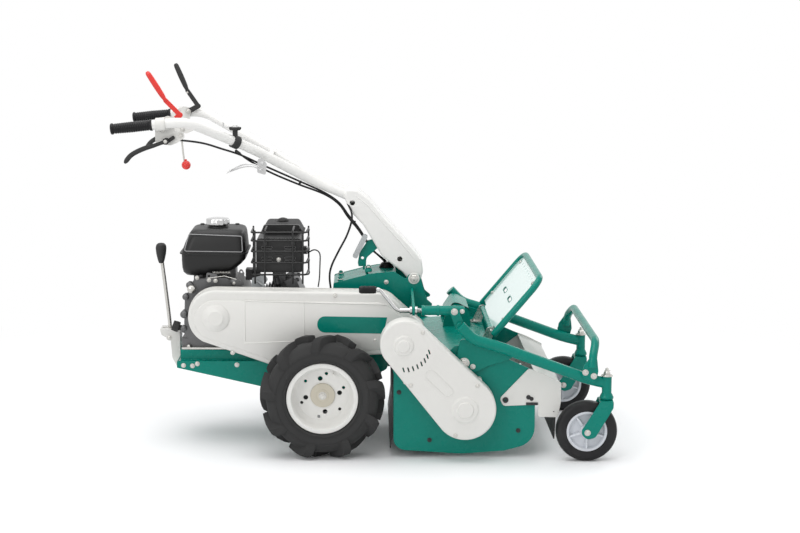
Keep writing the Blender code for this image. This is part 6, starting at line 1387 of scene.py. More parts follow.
    def silencer(self) -> None:
        """The silencer's box with rows of pressed louvres, its heat shield, strap and outlet."""
        near = self.muffler_near
        form = Form().plate(rounded([(-0.226, 0.583), (-0.071, 0.583), (-0.071, 0.69), (-0.08, 0.697),
            (-0.217, 0.697), (-0.226, 0.69)], 0.008), near, self.muffler_far)
        shield = rounded(rectangle(-0.221, 0.588, -0.076, 0.69), 0.01)
        louvres = [slot((x - 0.015, z), (x + 0.015, z), 0.0026) for z in (0.668, 0.657, 0.632, 0.62)
            for x in (-0.19, -0.112)]
        form.plate(shield, near - 0.003, near - 0.0005, holes=louvres)
        # The louvres' lips take a lighter grey than the silencer, a painted highlight.
        lips = Form()
        for line in louvres:
            lips.plate(shrunk(line, -0.0016), near - 0.005, near - 0.003, holes=[line])
        lips.piece("silencer_louvres", Finishes.louvre, "frame", edge=BOLT_EDGE)
        form.plate(rounded(rectangle(-0.168, 0.61, -0.132, 0.644), 0.008), near - 0.005, near - 0.002)
        for index in range(15):
            form.tube([(-0.207 + 0.0085 * index, near - 0.0034, 0.6925),
                (-0.207 + 0.0085 * index, near - 0.0006, 0.6985)], 0.0016, 8)
        form.plate(rounded([(-0.205, 0.7), (-0.089, 0.7), (-0.084, 0.726), (-0.094, 0.7285), (-0.198, 0.7285),
            (-0.21, 0.724)], 0.006), 0.006, 0.03)
        form.block((-0.0765, -0.07, 0.64), (-0.0585, -0.0665, 0.664))
        form.block((-0.0765, -0.0435, 0.64), (-0.0585, -0.04, 0.664))
        form.block((-0.0765, -0.068, 0.64), (-0.0585, -0.042, 0.6435))
        form.block((-0.0765, -0.068, 0.6605), (-0.0585, -0.042, 0.664))
        form.piece("silencer", Finishes.heat, "frame", "muffler", 0.0008)
        Form().bolt((-0.15, near - 0.005, 0.627), 0.0062, -0.0045).hardware("silencer_bolt")

    def cage(self) -> None:
        """The wire cage in front of the silencer, whose rows end in hooks."""
        left, right, near, far = -0.24, -0.057, -0.128, -0.02
        rows = (0.722, 0.694, 0.658, 0.62, 0.58)
        form = Form()
        for rise in rows:
            path = smooth_path([(left, far, rise), (left, near, rise), (right, near, rise),
                (right + 0.004, far, rise)], 0.012)
            form.tube(path, self.wire, 12, dome=True)
            hook = smooth_path([(right - 0.004, near + 0.004, rise), (right + 0.008, near + 0.004, rise),
                (right + 0.01, near + 0.003, rise + 0.01)], 0.008)
            form.tube(hook, 0.0024, 10, dome=True)
        for x in (left + 0.012, left + 0.045, right - 0.045, right - 0.012):
            form.tube([(x, near, rows[-1] - 0.03), (x, near, rows[0] + 0.006)], self.wire, 12, dome=True)
        for x in (left + 0.045, right - 0.045):
            form.tube(smooth_path([(x, near, rows[0]), (x, near + 0.02, 0.7265), (x, far, 0.7265)], 0.012),
                self.wire, 12, dome=True)
        for x in (left, right + 0.004):
            form.tube([(x, far, rows[-1] - 0.006), (x, far, rows[0] + 0.006)], self.wire, 12, dome=True)
        for x in (left + 0.045, right - 0.045):
            rise = rows[1] - 0.01
            form.plate(rounded(rectangle(x - 0.006, rise - 0.006, x + 0.006, rise + 0.006), 0.002), -0.129,
                self.muffler_near - FIT)
        form.piece("silencer_cage", Finishes.heat, "frame", "muffler_guard", crease=50)

    def starter(self) -> None:
        """The pull starter: a fan housing with rings of slots, its rope guide and grip."""
        x, z = self.crank[0], self.crank[1] + 0.006
        far = self.far
        form = Form().turned(rounded([(0, far + FIT), (0.104, far + FIT), (0.106, far + 0.04),
            (0.098, far + 0.056), (0.074, far + 0.06), (0.07, far + 0.08), (0.04, far + 0.0845),
            (0, far + 0.0845)], [0, 0.002, 0.008, 0.006, 0.004, 0.006, 0.002, 0]), (x, 0, z), steps=80)
        slots = 20
        for index in range(slots):
            form.turned_about(lambda made: made.plate(rounded([(x + 0.046, z - 0.003), (x + 0.066, z - 0.004),
                (x + 0.066, z + 0.004), (x + 0.046, z + 0.003)], 0.002), far + 0.078, far + 0.086), (x, 0, z),
                "Y", 360 / slots * index)
        form.bolts(circle((x, z), 0.092, 4, 45), far + 0.057, 0.006, 0.004)
        form.plate(rounded(rectangle(x - 0.098, z + 0.044, x - 0.058, z + 0.086), 0.008), far + 0.02,
            far + 0.056)
        form.plate(rounded([(x - 0.108, z + 0.082), (x - 0.05, z + 0.082), (x - 0.056, z + 0.104),
            (x - 0.102, z + 0.104)], 0.009), far + 0.026, far + 0.05)
        form.piece("pull_starter", Finishes.heat, "frame", "recoil_starter", 0.0012)

    def filter_box(self) -> None:
        """The air filter's box, with its lid seam, ribs and knob."""
        form = Form().plate(rounded([(-0.212, 0.59), (-0.08, 0.59), (-0.076, 0.7), (-0.092, 0.728),
            (-0.2, 0.728), (-0.216, 0.7)], 0.014), 0.04, 0.165)
        form.plate(rounded(rectangle(-0.221, 0.69, -0.071, 0.697), 0.003), 0.035, 0.17)
        for index in range(5):
            at = -0.186 + 0.02 * index
            form.block((at - 0.0025, 0.164, 0.61), (at + 0.0025, 0.167, 0.68))
        form.block((-0.2, 0.0305, 0.61), (-0.17, 0.045, 0.65))
        form.turned(rounded([(0, 0.725), (0.018, 0.725), (0.02, 0.731), (0.016, 0.737), (0.006, 0.7405),
            (0, 0.7405)], [0, 0.001, 0.002, 0.002, 0.001, 0]), (-0.146, 0.1, 0), Axis.Z, 14)
        form.piece("filter_box", Finishes.plastic, "frame", "air_cleaner", 0.0018)

    def build(self) -> None:
        """Build the engine."""
        self.castings()
        self.linkage()
        self.tank()
        self.cap()
        self.silencer()
        self.cage()
        self.starter()
        self.filter_box()


def pressed(form: Form, outline: Outline, face: float, back: float | Sequence[float], bend: float,
        wall: float, holes: Sequence[Outline] = ()) -> None:
    """Add a drawn cover: a face with a rounded rim and a wall that runs back from it.

    Args:
        form: the piece.
        outline: the cover's edge in X and Z.
        face: where its face lies along Y.
        back: where its wall ends, for the whole edge or point by point.
        bend: the radius between face and wall.
        wall: the sheet's thickness.
        holes: openings in the face.
    """
    ends = [back] * len(outline) if isinstance(back, (int, float)) else list(back)
    way = 1 if sum(ends) > face * len(ends) else -1
    arc = [(bend * (1 - sin(radians(angle))), bend * (1 - cos(radians(angle)))) for angle in range(0, 91, 15)]
    level = [face] * len(outline)
    outer = [(inset, [y + way * depth for y in level]) for inset, depth in arc]
    inner = [(inset + wall * 0.95, [y + way * (depth + wall) for y in level])
        for inset, depth in reversed(arc)]
    rows = [*outer, (0.0, ends), (wall, ends), *inner]
    form.rings([[Vector((x, y, z)) for (x, z), y in zip(shrunk(outline, inset), places)]
        for inset, places in rows], closed=True)
    low, high = face, face + way * wall
    form.plate(shrunk(outline, bend), low, high, holes=holes)


@dataclass
class BeltDrive:
    """The engine belt, its pulleys and the long cover with its beads and green band."""

    crank: Point2 = (-0.355, 0.447)
    jack: Point2 = (0.267, 0.393)
    jack_radius: float = 0.0125
    pulley: float = 0.055
    width: float = 0.022
    y: float = -0.168
    outer_y: float = -0.336
    depth: float = 0.009
    face: float = -0.2
    back: float = -0.1403
    wall: float = 0.003

    def outline(self, grow: float) -> Outline:
        """The cover's side view, grown by an amount."""
        return (circle(self.crank, 0.092 + grow, 36, 92, 150) + [(-0.17, 0.286 - grow), (0.12, 0.318 - grow)]
            + circle(self.jack, 0.068 + grow, 26, -100, 130)
            + circle((0.18, 0.455), 0.076 + grow, 12, 42, 46))

    def groove(self, y: float, radius: float) -> list[Point2]:
        """A V pulley's rim as (radius, place)."""
        half = self.width / 2
        return [(radius, y - half), (radius, y - half + 0.003), (radius - self.depth, y - 0.004),
            (radius - self.depth, y + 0.004), (radius, y + half - 0.003), (radius, y + half)]

    def band(self) -> Outline:
        """The outline of the plain band, round at its rear end."""
        return rounded([(-0.019, 0.4535), (0.212, 0.4495), (0.2, 0.3945), (-0.019, 0.399)],
            [0.0255, 0.001, 0.001, 0.0255], 10)

    def cover(self) -> None:
        """The pressed cover: stepped rim, raised field with beads, dome, and its plain green band."""
        form = Form()
        pressed(form, self.outline(0.0), self.face + 0.0035, self.back, 0.0085, self.wall)
        top = [(x, z - max(0.0, min(0.014, 0.26 * (z - 0.44)))) for x, z in self.outline(-0.0185)]
        rows = [(0.0, self.face + 0.006), (0.0, self.face + 0.003), (0.001, self.face + 0.001),
            (0.003, self.face)]
        form.rings([[Vector((x, y, z)) for x, z in shrunk(top, inset)] for inset, y in rows])
        for line in ([(-0.262, 0.505), (0.215, 0.492)], [(-0.262, 0.362), (-0.064, 0.37)],
                [(-0.258, 0.5), (-0.258, 0.368)], [(-0.062, 0.498), (-0.062, 0.378)]):
            ends = [Vector((x, self.face + 0.0006, z)) for x, z in line]
            form.tube([ends[0], ends[0].lerp(ends[1], 0.02), ends[0].lerp(ends[1], 0.98), ends[1]],
                [0.0008, 0.0021, 0.0021, 0.0008], 12)
        dome = rounded([(0, self.face - 0.014), (0.024, self.face - 0.014), (0.03, self.face - 0.0095),
            (0.04, self.face - 0.0055), (0.05, self.face + 0.0005), (0, self.face + 0.0005)],
            [0, 0.006, 0.008, 0.01, 0.002, 0], 8)
        form.turned(dome, (self.crank[0], 0, self.crank[1]), steps=72)
        lip = self.outline(0.0035)
        form.plate(lip, self.back - 0.004, self.back, holes=[self.outline(-self.wall)])
        form.piece("long_cover", Finishes.white, "frame", "belt_cover", crease=38)
        places = ((0.172, 0.372), (-0.3, 0.33), (0.04, 0.522))
        Form().bolts(places, self.face + 0.0035, 0.0062, -0.0042).hardware("long_cover_bolts")
        part = Form().plate(self.band(), self.face - 0.0005, self.face + 0.0005)
        part.piece("green_band", Finishes.green, "frame")

    def drive(self) -> None:
        """The pulleys, the cross shaft and the belt."""
        near = -0.1243
        x, z = self.crank
        profile = [(0, self.y - 0.018), (0.0125, self.y - 0.018),
            (0.0125, self.y - self.width / 2), *self.groove(self.y, self.pulley),
            (0.018, self.y + self.width / 2), (0.018, near), (0, near)]
        part = Form().turned(profile, (x, 0, z), steps=64)
        part.piece("engine_sheave", Finishes.steel, "crankshaft_pulley", "engine_pulley", 0.0005)
        end = self.outer_y - self.width / 2
        profile = [(0, end - 0.008), (self.jack_radius, end - 0.008),
            (self.jack_radius, end), *self.groove(self.outer_y, self.pulley),
            (self.jack_radius, self.outer_y + self.width / 2),
            (self.jack_radius, self.y - self.width / 2), *self.groove(self.y, self.pulley),
            (self.jack_radius, self.y + self.width / 2), (self.jack_radius, -0.12), (0, -0.12)]
        part = Form().turned(profile, (self.jack[0], 0, self.jack[1]), steps=64)
        part.piece("cross_shaft_sheaves", Finishes.steel, "cross_shaft", "jackshaft", 0.0005)
        self.belt("engine_v_belt", self.crank, self.pulley, self.jack, self.pulley, self.y, "engine_belt")

    def belt(self, name: str, first: Point2, first_radius: float, second: Point2, second_radius: float,
            y: float, node: str) -> None:
        """A V belt round two pulleys.

        Args:
            name: the piece's name.
            first: the first pulley's centre.
            first_radius: its radius.
            second: the second pulley's centre.
            second_radius: its radius.
            y: the belt's middle plane.
            node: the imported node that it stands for.
        """
        line = belt_outline(first, first_radius, second, second_radius)
        rows = [(0.0, -0.0034), (0.0, 0.0034), (0.0084, 0.0026), (0.0084, -0.0026)]
        part = Form().rings([[Vector((a, y + out, b)) for a, b in shrunk(line, inset)]
            for inset, out in rows], closed=True)
        part.piece(name, Finishes.belt, "frame", node)

    def build(self) -> None:
        """Build the cover and the drive."""
        self.cover()
        self.drive()


@dataclass
class Deck:
    """The mowing deck with its rotor, belt cover, front guard and rubber aprons."""

    drive: BeltDrive
    side: float = 0.29
    plate: float = 0.004
    rotor: Point2 = (0.462, 0.18)
    rotor_tube: float = 0.045
    knife_tip: float = 0.142
    knife_width: float = 0.026
    rows: int = 4
    per_row: int = 5
    cover_back: float = -0.3135
    cover_face: float = -0.37
    cover_top: float = 0.08
    cover_low: float = 0.1
    arm_pivot: Point2 = (0.461, 0.32)

    def side_line(self) -> Outline:
        """The side view of the deck."""
        return rounded([(0.232, 0.028), (0.332, 0.022), (0.455, 0.014), (0.594, 0.024), (0.694, 0.051),
            (0.694, 0.178), (0.604, 0.178), (0.644, 0.252), (0.695, 0.29), (0.564, 0.349), (0.503, 0.375),
            (0.433, 0.375), (0.407, 0.35), (0.345, 0.354), (0.33, 0.43), (0.267, 0.457), (0.206, 0.424),
            (0.223, 0.322), (0.232, 0.282)], [0.04, 0.2, 0.2, 0.06, 0.07, 0.004, 0.01, 0.02, 0.004, 0.02,
            0.01, 0.01, 0.01, 0.03, 0.04, 0.05, 0.04, 0.03, 0.02])

    def housing(self) -> None:
        """Two side plates, the bent sheet over the rotor, the far hood, bearings and stiffening folds."""
        outer = self.side + self.plate
        jack, rotor = self.drive.jack, self.rotor
        holes = [circle(self.arm_pivot, 0.0085, 20), circle(jack, 0.0132, 24), circle(rotor, 0.0147, 24)]
        form = Form()
        form.plate(self.side_line(), -outer, -self.side, holes=holes)
        form.plate(self.side_line(), self.side, outer, holes=holes)
        wrap = [(0.2355, 0.1), (0.2355, 0.284), (0.2385, 0.3), (0.252, 0.322), (0.27, 0.334), (0.29, 0.342),
            (0.35, 0.35), (0.43, 0.354), (0.515, 0.354), (0.556, 0.342)]
        form.sheet(wrap[:6], 0.003, -self.side - 0.001, -0.204)
        form.sheet(wrap[:6], 0.003, -0.1363, self.side + 0.001)
        form.sheet(wrap[:4], 0.003, -0.206, -0.134)
        form.sheet(wrap[5:], 0.003, -self.side - 0.001, 0.108)
        form.sheet(wrap[5:8], 0.003, 0.106, self.side + 0.001)
        form.sheet([(0.497, 0.354), (0.515, 0.354), (0.556, 0.342)], 0.003, 0.106, self.side + 0.001)
        form.block((0.2153, -0.139, 0.27), (0.2365, 0.139, 0.276))
        form.block((0.2154, -0.139, 0.27), (0.221, 0.139, 0.328))
        form.turned(rounded([(0.0132, -self.side - 0.001), (0.028, -self.side - 0.001),
            (0.024, 0.03 - self.side), (0.0132, 0.03 - self.side)], [0, 0, 0.003, 0], 15),
            (jack[0], 0, jack[1]), steps=40, ring=True)
        form.turned(rounded([(0.0135, self.side + 0.002), (0.04, self.side + 0.002), (0.034, outer + 0.022),
            (0.012, outer + 0.03), (0, outer + 0.0318), (0, outer + 0.01)], [0, 0, 0.006, 0.004, 0, 0], 15),
            (rotor[0], 0, rotor[1]), steps=56)
        low, high = 0.105, 0.282
        hood = rounded([(0.41, 0.354), (0.418, 0.4), (0.446, 0.442), (0.466, 0.438), (0.502, 0.42),
            (0.508, 0.354)], [0.001, 0.02, 0.02, 0.02, 0.012, 0.001])
        form.plate(hood, low, low + 0.003).plate(hood, high - 0.003, high)
        form.sheet([(x, z) for x, z in shrunk(hood, 0.0015) if z > 0.356], 0.003, low, high)
        form.piece("deck_shell", Finishes.green, "frame", "deck_housing", 0.0009, crease=35)
        bolts = Form().bolts(((0.446, 0.415), (0.47, 0.41)), low, 0.006, -0.003)
        bolts.bolts(circle(rotor, 0.05, 4, 45), outer, 0.0075, 0.006)
        for x, z in ((0.672, 0.204), (0.64, 0.092), (0.35, 0.06), (0.25, 0.22)):
            for sign in (-1, 1):
                bolts.bolt((x, sign * (outer + (0.003 if x > 0.66 else 0)), z), 0.0062, sign * 0.0042)
        bolts.piece("deck_bolts", Finishes.blackened, "frame", edge=BOLT_EDGE)

    def knives(self) -> None:
        """The rotor: a tube on its shaft, with rows of paired hammer knives on welded ears."""
        x, z = self.rotor
        end, shaft = self.side - 0.012, 0.014
        out = self.drive.outer_y - self.drive.width / 2
        profile = [(0, out - 0.008), (shaft, out - 0.008),
            (shaft, out), *self.drive.groove(self.drive.outer_y, 0.065),
            (shaft, self.drive.outer_y + self.drive.width / 2), (shaft, -end), (self.rotor_tube, -end),
            (self.rotor_tube, end), (0.0125, end), (0.0125, self.side + 0.02), (0, self.side + 0.02)]
        form = Form().turned(profile, (x, 0, z), steps=56)
        span, half = 2 * end - 0.1, self.knife_width / 2
        sections = ((self.rotor_tube + 0.012, 0.0025, 0.5 * half, 0.003),
            (self.rotor_tube + 0.03, 0.0025, 0.5 * half, 0.003),
            (self.knife_tip - 0.026, 0.0025, 0.52 * half, 0.005),
            (self.knife_tip, 0.002, 0.4 * half, 0.5 * half))
        for row in range(self.rows):
            for place in range(self.per_row):
                y = -span / 2 + span * (place + 0.25 + 0.5 * (row % 2)) / self.per_row

                def pair(made: Form, y: float = y) -> None:
                    """Add one pair of splayed knives with their ears and pin."""
                    for sign in (-1, 1):
                        made.rings([[Vector((x + a * thick, y + b * wide + sign * lean, z - reach))
                            for a, b in rectangle(-1, -1, 1, 1)] for reach, thick, wide, lean in sections])
                        made.plate(rounded([(x - 0.01, z - 0.04), (x + 0.01, z - 0.04), (x + 0.007, z - 0.07),
                            (x - 0.007, z - 0.07)], 0.005), y + sign * 0.0095 - 0.002,
                            y + sign * 0.0095 + 0.002)
                    made.tube([(x, y - 0.0125, z - 0.062), (x, y + 0.0125, z - 0.062)], 0.0035, 12)

                form.turned_about(pair, (x, 0, z), "Y", 360 / self.rows * row)
        form.piece("knife_rotor", Finishes.steel, "cutter", "rotor", 0.0005)
        self.drive.belt("rotor_v_belt", self.drive.jack, self.drive.pulley, self.rotor, 0.065,
            self.drive.outer_y, "rotor_belt")

    def belt_cover(self) -> None:
        """The slim pressed cover: round bosses, a shallow pressed line, screws and a row of cooling slots."""
        jack, face = self.drive.jack, self.cover_face
        outline = belt_outline(jack, self.cover_top, self.rotor, self.cover_low, 44)
        slots = [slot((x - 0.002, z + 0.006), (x + 0.002, z - 0.006), 0.0023, 6)
            for x, z in circle(jack, 0.081, 7, -93, 77)]
        form = Form()
        pressed(form, outline, face, self.cover_back, 0.007, 0.003, slots)
        for x, z, radius in ((jack[0] - 0.004, jack[1] - 0.002, 0.036), (*self.rotor, 0.048)):
            boss = rounded([(0, face - 0.0099), (0.52 * radius, face - 0.0099),
                (0.57 * radius, face - 0.0055), (0.82 * radius, face - 0.005), (0.9 * radius, face - 0.001),
                (radius, face + 0.0003), (0, face + 0.0003)], [0, 0.003, 0.002, 0.002, 0.002, 0, 0], 10)
            form.turned(boss, (x, 0, z), steps=64)
        pressing = slot((0.35, 0.294), (0.405, 0.24), 0.0175, 20)
        form.plate(pressing, face - 0.0012, face + 0.0005, holes=[shrunk(pressing, 0.0022)])
        for x, z in ((0.2705, 0.2606), (0.462, 0.086), (0.5106, 0.2648)):
            form.tube([(x, self.cover_back - 0.006, z), (x, -self.side - self.plate - FIT, z)], 0.0082, 24)
        form.piece("rotor_belt_cover", Finishes.white, "frame", "deck_belt_cover", crease=40)
        places = ((0.286, 0.2606), (0.43, 0.096), (0.5006, 0.26), (0.324, 0.434))
        Form().bolts(places, face, 0.0058, -0.0038).hardware("rotor_cover_screws")

    def guard(self) -> None:
        """The white guard: side plates with a pin hole and a catch, joined by a folded panel."""
        y = self.side + self.plate + FIT
        line = rounded([(0.59, 0.175), (0.704, 0.18), (0.704, 0.139), (0.769, 0.137), (0.778, 0.19),
            (0.778, 0.253), (0.722, 0.281), (0.672, 0.3), (0.578, 0.2)],
            [0.014, 0.002, 0.006, 0.006, 0.01, 0.006, 0.004, 0.01, 0.014])
        form = Form()
        for sign in (-1, 1):
            low, high = sign * y, sign * (y + 0.003)
            form.plate(line, low, high,
                holes=[circle((0.597, 0.195), 0.0058, 20), circle((0.755, 0.156), 0.0022, 12)])
        panel = [(0.69, 0.287), (0.72, 0.2745), (0.77, 0.253), (0.7736, 0.248), (0.7736, 0.19),
            (0.765, 0.142)]
        form.sheet(panel, 0.003, -y - 0.0005, y + 0.0005)
        form.piece("guard_panel", Finishes.white, "frame", "front_guard", 0.0008)
        catch = Form()
        for sign in (-1, 1):
            near = sign * (y + 0.003)
            catch.turned([(0.0035, near), (0.01, near), (0.0094, near + sign * 0.0022),
                (0.0035, near + sign * 0.0022)], (0.597, 0, 0.195), steps=28, ring=True)
            low, high = near - sign * 0.001, near + sign * 0.003
            catch.plate(rounded(rectangle(0.664, 0.178, 0.703, 0.187), 0.002), low, high)
            catch.bolt((0.682, near, 0.199), 0.0055, sign * 0.0035)
        catch.piece("guard_catches", Finishes.blackened, "frame", edge=BOLT_EDGE)

    def apron(self, name: str, line: Sequence[Point2], node: str) -> None:
        """A rubber apron that is slit into fingers from its lower edge.

        Args:
            name: the piece's name.
            line: its side view from the top down.
            node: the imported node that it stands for.
        """
        half, count = self.side - 0.004, 8
        top, knee, bottom = line
        form = Form().sheet([top, knee], 0.004, -half, half)
        for index in range(count):
            low = -half + 2 * half * index / count + 0.0008 * (index > 0)
            high = -half + 2 * half * (index + 1) / count - 0.0008 * (index + 1 < count)
            form.sheet([(knee[0], knee[1] + 0.001), (bottom[0], bottom[1])], 0.004, low, high)
        form.sheet([(top[0] - 0.003, top[1] - 0.002), (top[0] - 0.003, top[1] - 0.018)], 0.002, -half, half)
        form.piece(name, Finishes.apron, "frame", node, 0.0006)

    def build(self) -> None:
        """Build the deck."""
        self.housing()
        self.knives()
        self.belt_cover()
        self.guard()
        self.apron("front_skirt", [(0.769, 0.1859), (0.7613, 0.1427), (0.758, 0.062)], "front_apron")
        self.apron("rear_skirt", [(0.2317, 0.262), (0.2317, 0.1), (0.222, 0.03)], "rear_apron")


@dataclass
class Lid:
    """The raised lid over the rotor: a slotted sheet in a hoop of tube, on a hinge rod."""

    hinge: Point2 = (0.556, 0.404)
    length: float = 0.24
    tilt: float = 50.0
    half: float = 0.268
    tube: float = 0.011
    sheet: float = 0.003

    def panel(self) -> None:
        """The hoop, the sheet with its holes, finger slots and ribs, and the hinge sleeve."""
        x, z = self.hinge
        lean = Matrix.Translation((x, 0, z)) @ Matrix.Rotation(-radians(self.tilt), 4, "Y")
        hoop = smooth_path([(0.004, -self.half, 0), (self.length, -self.half, 0), (self.length, self.half, 0),
            (0.004, self.half, 0)], 0.055)
        line = rounded([(0.018, -self.half), (self.length, -self.half), (self.length, self.half),
            (0.018, self.half), (0.018, 0.172), (0.0, 0.172), (0.0, -0.172), (0.018, -0.172)],
            [0.002, 0.05, 0.05, 0.002, 0, 0, 0, 0])
        holes = [circle((self.length - 0.026, -0.2 + 0.05 * index), 0.0045, 16) for index in range(9)]
        holes += [slot((0.11, y - 0.03), (0.11, y + 0.03), 0.006) for y in (-0.085, 0.085)]

        def flat(made: Form) -> None:
            """Add the hoop and the sheet as they lie before they are tilted."""
            made.tube(hoop, self.tube, 24, dome=True)
            for y in (-0.15, 0.0, 0.15):
                made.rings([[Vector((a, y + b, c))
                    for b, c in ((-0.007, 0.0), (-0.004, -0.007), (0.004, -0.007), (0.007, 0.0))]
                    for a in (0.05, 0.2)])
            for hole in holes[-2:]:
                made.plate(shrunk(hole, -0.003), -0.0032, 0.0024, Axis.Z, [hole])

        # The sheet takes the pale mint finish, a painted reflection on the lid's green paint.
        part = Form().placed(lambda made: made.plate(line, -self.sheet / 2, self.sheet / 2, Axis.Z, holes),
            lean)
        part.piece("lid_sheet", Finishes.mint_reflection, "lid", edge=0.0006)
        form = Form().placed(flat, lean)
        form.turned(rectangle(0.006, -0.18, 0.01, 0.18), (x, 0, z), steps=28, ring=True)
        form.piece("lid_panel", Finishes.green, "lid", "front_lid", 0.0008)

        def studs(made: Form) -> None:
            """Add the bolts that hold the sheet to the hoop's ears."""
            for y in (-0.235, 0.235):
                made.bolt((0.06, y, self.sheet / 2), 0.0065, 0.0045, Axis.Z)
                made.bolt((self.length - 0.03, y * 0.9, self.sheet / 2), 0.006, 0.004, Axis.Z)

        Form().placed(studs, lean).hardware("lid_studs", "lid")

    def bracket(self) -> None:
        """The hinge rod in its two ears, bolted to the deck."""
        x, z = self.hinge
        form = Form().tube([(x, -0.198, z), (x, 0.198, z)], 0.0054, 20, dome=True)
        for y in (-0.19, 0.19):
            form.plate(rounded([(x - 0.04, 0.3558), (x - 0.006, 0.3558), (x + 0.012, z - 0.004),
                (x + 0.008, z + 0.012), (x - 0.012, z + 0.01)], [0.003, 0.003, 0.01, 0.01, 0.01]), y - 0.003,
                y + 0.003)
            form.block((x - 0.044, y - 0.016, 0.3558), (x - 0.006, y + 0.016, 0.3597))
            for side in (-1, 1):
                form.bolt((x - 0.032, y + side * 0.01, 0.3597), 0.0052, 0.0038, Axis.Z, washer=False)
        form.piece("lid_hinge_rod", Finishes.zinc, "frame", "lid_bracket", 0.0006)

    def build(self) -> None:
        """Build the lid."""
        self.panel()
        self.bracket()


@dataclass
class HeightGear:
    """The crank with its loose grip, its screw and the sliding tube that sets the cutting height."""

    y: float = -0.2865
    z: float = 0.49
    reach: float = 0.068
    plate_x: float = 0.292
    plate: float = 0.008
    rear: float = 0.322
    front: float = 0.462
    radius: float = 0.0155
    screw: float = 0.008
    pin: Point2 = (0.428, 0.006)
    threads: int = 46
    thread_pitch: float = 0.002
    thread_depth: float = 0.0007
    grip_rings: int = 9
    ring_pitch: float = 0.0042

    def crank(self) -> None:
        """The plated screw with its collars, the bent arm, its cap and the loose grip."""
        y, z, top = self.y, self.z, self.z + self.reach
        thread = [(self.screw, 0.252), (self.screw, 0.3015)]
        for index in range(self.threads):
            x = 0.302 + self.thread_pitch * index
            thread += [(self.screw, x), (self.screw - self.thread_depth, x + self.thread_pitch / 2)]
        form = Form().turned([(0, 0.2505), (self.screw - 0.001, 0.2505), *thread, (self.screw - 0.001, 0.395),
            (0, 0.395)], (0, y, z), Axis.X, 28)
        for x in (self.plate_x - 0.0083, self.plate_x + self.plate + FIT):
            form.turned([(self.screw - 0.001, x), (0.0127, x), (0.0135, x + 0.001), (0.0135, x + 0.007),
                (0.0127, x + 0.008), (self.screw - 0.001, x + 0.008)], (0, y, z), Axis.X, 32, ring=True)
        form.tube(smooth_path([(0.266, y, z), (0.243, y, z), (0.187, y, top), (0.179, y, top)], 0.013),
            0.0056, 20)
        form.turned([(0, 0.186), (0.0062, 0.186), (0.0078, 0.185), (0.0078, 0.1775), (0.0066, 0.1768),
            (0, 0.1768)], (0, y, top), Axis.X, 28)
        form.turned([(0, 0.184), (0.0041, 0.184), (0.0041, 0.1195), (0.0034, 0.1188), (0, 0.1188)],
            (0, y, top), Axis.X, 20)
        form.piece("height_crank_rod", Finishes.chrome, "crank", "height_crank", 0.0003)
        profile = [(0.0044, 0.1205), (0.0075, 0.119), (0.0105, 0.121), (0.0122, 0.1262)]
        for index in range(self.grip_rings):
            x = 0.131 + self.ring_pitch * index
            profile += [(0.0126, x), (0.0126, x + 0.0028), (0.0119, x + 0.0035)]
        profile += [(0.0118, 0.171), (0.0112, 0.1742), (0.0098, 0.1755), (0.0044, 0.1755)]
        part = Form().turned(profile, (0, y, top), Axis.X, 40, ring=True)
        part.piece("crank_hand_grip", Finishes.grip, "crank_handle", "crank_grip", crease=50)

    def tube(self) -> None:
        """The sliding tube with its rolled end, its slot and the end bolt."""
        y, z, outer = self.y, self.z, self.radius
        bore = self.screw + 0.0004
        profile = rounded([(bore, self.rear), (outer + 0.002, self.rear), (outer + 0.002, self.rear + 0.008),
            (outer, self.rear + 0.01), (outer, self.front - 0.004), (outer - 0.003, self.front),
            (bore, self.front)], [0, 0.001, 0.001, 0.002, 0.002, 0.002, 0], 20)
        form = Form().turned(profile, (0, y, z), Axis.X, 40, ring=True)
        for sign in (-1, 1):
            low, high = y + sign * (outer - 0.002), y + sign * (outer + 0.0006)
            way = slot((self.pin[0], z - 0.004), (self.pin[0], z + 0.004), self.pin[1] + 0.0006, 12)
            form.plate(shrunk(way, -0.0035), low, high, holes=[way])
        form.turned(rounded(rectangle(outer - 0.001, 0.372, outer + 0.0022, 0.38), [0, 0.001, 0.001, 0], 20),
            (0, y, z), Axis.X, 40, ring=True)
        form.piece("sliding_tube", Finishes.green, "adjuster", "adjuster_tube", 0.0004)
        part = Form().bolt((0.4535, y - outer + 0.0006, z), 0.0062, -0.0044)
        part.hardware("sliding_tube_bolt", "adjuster")

    def build(self) -> None:
        """Build the height gear."""
        self.crank()
        self.tube()


